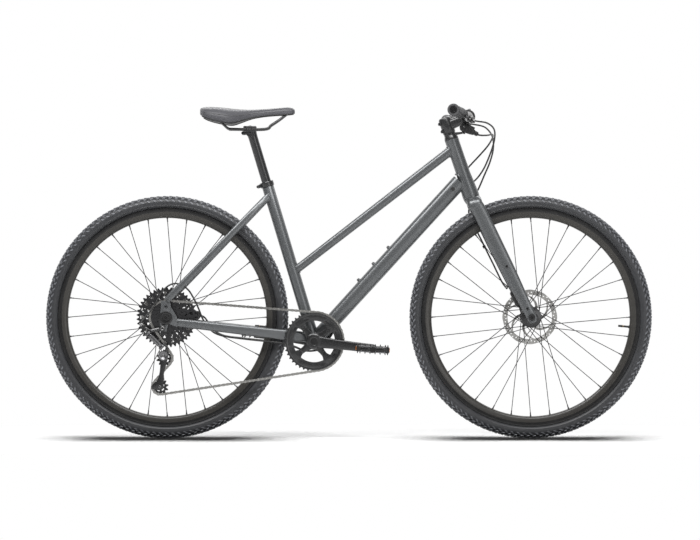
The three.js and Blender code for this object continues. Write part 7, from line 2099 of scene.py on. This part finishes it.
class BICYCLE_OT_lines(bpy.types.Operator):
    """Make both brake hoses and the gear housing"""

    bl_idname = "bicycle.lines"
    bl_label = "Hoses and housing"

    def execute(self, context):
        rear = hose("rear_brake_hose", PERCH_EXIT + [mm(*place) for place in REAR_HOSE],
                    ((0, "black alloy"), (-1, "black alloy")))
        finish(rear, None, None, ["rear_brake_hose"], angle=60)
        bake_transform(rear)
        pod_exit = [POD + POD_ALONG * (25 + away) * MM for away in (0.3, 10)]
        stop_exit = [STOP + STOP_ALONG * away * MM for away in (7.5, 0.6)]
        gear = hose("shift_housing", pod_exit + [mm(*place) for place in HOUSING] + stop_exit,
                    ((0, "black plastic"), (-1, "bolt steel")))
        finish(gear, None, None, ["shift_housing"], angle=60)
        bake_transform(gear)
        left = [Vector((place.x, -place.y, place.z)) for place in PERCH_EXIT]
        front = hose("front_brake_hose", left + [mm(*place) for place in FRONT_HOSE],
                     ((0, "black alloy"), (-1, "black alloy")))
        finish(front, None, "steering", ["front_brake_hose"], angle=60)
        clip = mm(395, 42, 558)
        band = block("clip", clip, (9 * MM, 9 * MM, 10 * MM), 1.6 * MM,
                     axes=facing(Vector((0.44, 0, -0.9)), LEFT))
        finish(band, "black plastic", "steering")
        return {"FINISHED"}


def studio_paper():
    """Pale paper: under the lamps near the bicycle, and plain white farther off where it is seen; a contact
    shadow is painted into its colour near the tyres.
    """
    material = bpy.data.materials.new("paper")
    material.use_nodes = True
    tree = material.node_tree
    shader = tree.nodes["Principled BSDF"]
    shader.inputs["Base Color"].default_value = (0.92, 0.92, 0.92, 1)
    shader.inputs["Roughness"].default_value = 0.9
    shader.inputs["Specular IOR Level"].default_value = 0.1
    glow = node(tree, "ShaderNodeEmission", {"Color": (1, 1, 1, 1), "Strength": 1.0})
    place = tree.nodes.new("ShaderNodeTexCoord").outputs["Object"]
    oval = node(tree, "ShaderNodeVectorMath", {0: place, 1: (0.62, 1.5, 1.5)}, operation="MULTIPLY").outputs[
        0]
    away = node(tree, "ShaderNodeVectorMath", {0: oval}, operation="LENGTH").outputs["Value"]
    spread = node(tree, "ShaderNodeMapRange", {"Value": away, "From Min": 0.5, "From Max": 1.3, "To Min": 0.0,
                                               "To Max": 1.0}, interpolation_type="SMOOTHSTEP")
    ray = tree.nodes.new("ShaderNodeLightPath").outputs
    seen = math_node(tree, "MAXIMUM", ray["Is Camera Ray"], ray["Is Glossy Ray"])
    seen = math_node(tree, "MAXIMUM", seen, ray["Is Transmission Ray"])
    share = math_node(tree, "MULTIPLY", seen, spread.outputs["Result"])
    # Painted shadow: where the floor is occluded within 0.25 m, its base colour turns near-black, a dark
    # patch painted under each tyre.
    contact = node(tree, "ShaderNodeAmbientOcclusion", {"Distance": 0.25}, samples=16)
    outside_painted_shadow = node(tree, "ShaderNodeMapRange", {"Value": contact.outputs["AO"], "From Min": 0.85,
        "From Max": 0.965, "To Min": 0.0, "To Max": 1.0}, interpolation_type="SMOOTHSTEP").outputs["Result"]
    tree.links.new(blend_colours(tree, outside_painted_shadow, (0.02, 0.02, 0.02, 1), (0.92, 0.92, 0.92, 1)),
        shader.inputs["Base Color"])
    mix = node(tree, "ShaderNodeMixShader", {0: share, 1: shader.outputs[0], 2: glow.outputs[0]})
    tree.links.new(mix.outputs[0], tree.nodes["Material Output"].inputs["Surface"])
    return material


class BICYCLE_OT_studio(bpy.types.Operator):
    """Set up the pale floor and backdrop, the lights and the camera, and finish carried-over solids"""

    bl_idname = "bicycle.studio"
    bl_label = "Studio"

    def execute(self, context):
        scene = context.scene
        for name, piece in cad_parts.items():
            if not piece.hide_render:
                piece.data.materials.clear()
                piece.data.materials.append(bpy.data.materials["black alloy"])
        deselect()
        bpy.ops.mesh.primitive_grid_add(x_subdivisions=24, y_subdivisions=60, size=1)
        backdrop = context.object
        backdrop.name = "backdrop"
        bpy.ops.object.transform_apply(location=True, rotation=True, scale=True)
        for vert in backdrop.data.vertices:
            y = vert.co.y * 14
            vert.co = (vert.co.x * 18, y, -0.0002)
            if y > 2.4:
                bend = min(y - 2.4, math.pi / 2)
                vert.co.y = 2.4 + math.sin(bend)
                vert.co.z = 1 - math.cos(bend) + max(y - 2.4 - math.pi / 2, 0) * 1.6 - 0.0002
        bpy.ops.object.shade_smooth()
        backdrop.data.materials.append(studio_paper())
        world = bpy.data.worlds.new("studio")
        scene.world = world
        world.use_nodes = True
        world.node_tree.nodes["Background"].inputs["Color"].default_value = (1, 1, 1, 1)
        world.node_tree.nodes["Background"].inputs["Strength"].default_value = 0.24
        for name, place, aim, size, power in (
                ("key", (-0.4, -1.9, 3.0), (0, 0, 0.3), (4.2, 1.1), 150),
                ("fill", (2.4, -4.2, 1.3), (0, 0, 0.5), (1.6, 2.4), 30),
                ("back", (0.5, 1.7, 2.8), (0, 0, 0.5), (4.0, 1.0), 50)):
            light = bpy.data.lights.new(name, "AREA")
            light.shape = "RECTANGLE"
            light.size, light.size_y = size
            light.energy = power
            lamp = bpy.data.objects.new(name, light)
            scene.collection.objects.link(lamp)
            lamp.location = place
            lamp.rotation_euler = (Vector(aim) - Vector(place)).to_track_quat("-Z", "Y").to_euler()
        view = bpy.data.cameras.new("camera")
        camera = bpy.data.objects.new("camera", view)
        scene.collection.objects.link(camera)
        scene.camera = camera
        view.sensor_width = 36
        view.lens = 159.2
        view.clip_end = 60
        camera.location = (0.003, -9.0, 0.490)
        camera.rotation_euler = (math.pi / 2, 0, 0)
        scene.view_settings.view_transform = "Standard"
        return {"FINISHED"}


# The add-on's panel, its classes and the run
PIECES = (BICYCLE_OT_finishes, BICYCLE_OT_tyres, BICYCLE_OT_rims, BICYCLE_OT_hubs, BICYCLE_OT_rotors,
    BICYCLE_OT_cassette, BICYCLE_OT_chain, BICYCLE_OT_crankset, BICYCLE_OT_pedals, BICYCLE_OT_main_frame,
    BICYCLE_OT_stays, BICYCLE_OT_fork, BICYCLE_OT_cockpit, BICYCLE_OT_controls, BICYCLE_OT_brakes,
    BICYCLE_OT_seat, BICYCLE_OT_derailleur, BICYCLE_OT_lines, BICYCLE_OT_studio)


class BICYCLE_PT_panel(bpy.types.Panel):
    """Lists the sizes, the colours and the steps that make the bicycle"""

    bl_idname = "BICYCLE_PT_panel"
    bl_label = "Step-through bicycle"
    bl_space_type = "VIEW_3D"
    bl_region_type = "UI"
    bl_category = "Bicycle"

    def draw(self, context):
        for group in (context.scene.wheel_sizes, context.scene.frame_sizes, context.scene.bicycle_colours):
            box = self.layout.box()
            for name in group.__annotations__:
                box.prop(group, name)
        column = self.layout.column(align=True)
        for piece in PIECES:
            column.operator(piece.bl_idname)


CLASSES = (WheelSizes, FrameSizes, BicycleColours, *PIECES, BICYCLE_PT_panel)


def register():
    for kind in CLASSES:
        bpy.utils.register_class(kind)
    bpy.types.Scene.wheel_sizes = PointerProperty(type=WheelSizes)
    bpy.types.Scene.frame_sizes = PointerProperty(type=FrameSizes)
    bpy.types.Scene.bicycle_colours = PointerProperty(type=BicycleColours)


def unregister():
    del bpy.types.Scene.wheel_sizes
    del bpy.types.Scene.frame_sizes
    del bpy.types.Scene.bicycle_colours
    for kind in reversed(CLASSES):
        bpy.utils.unregister_class(kind)


def main():
    """Runs each step in order."""
    register()
    for piece in PIECES:
        getattr(bpy.ops.bicycle, piece.bl_idname.split(".")[1])()


if __name__ == "__main__":
    main()
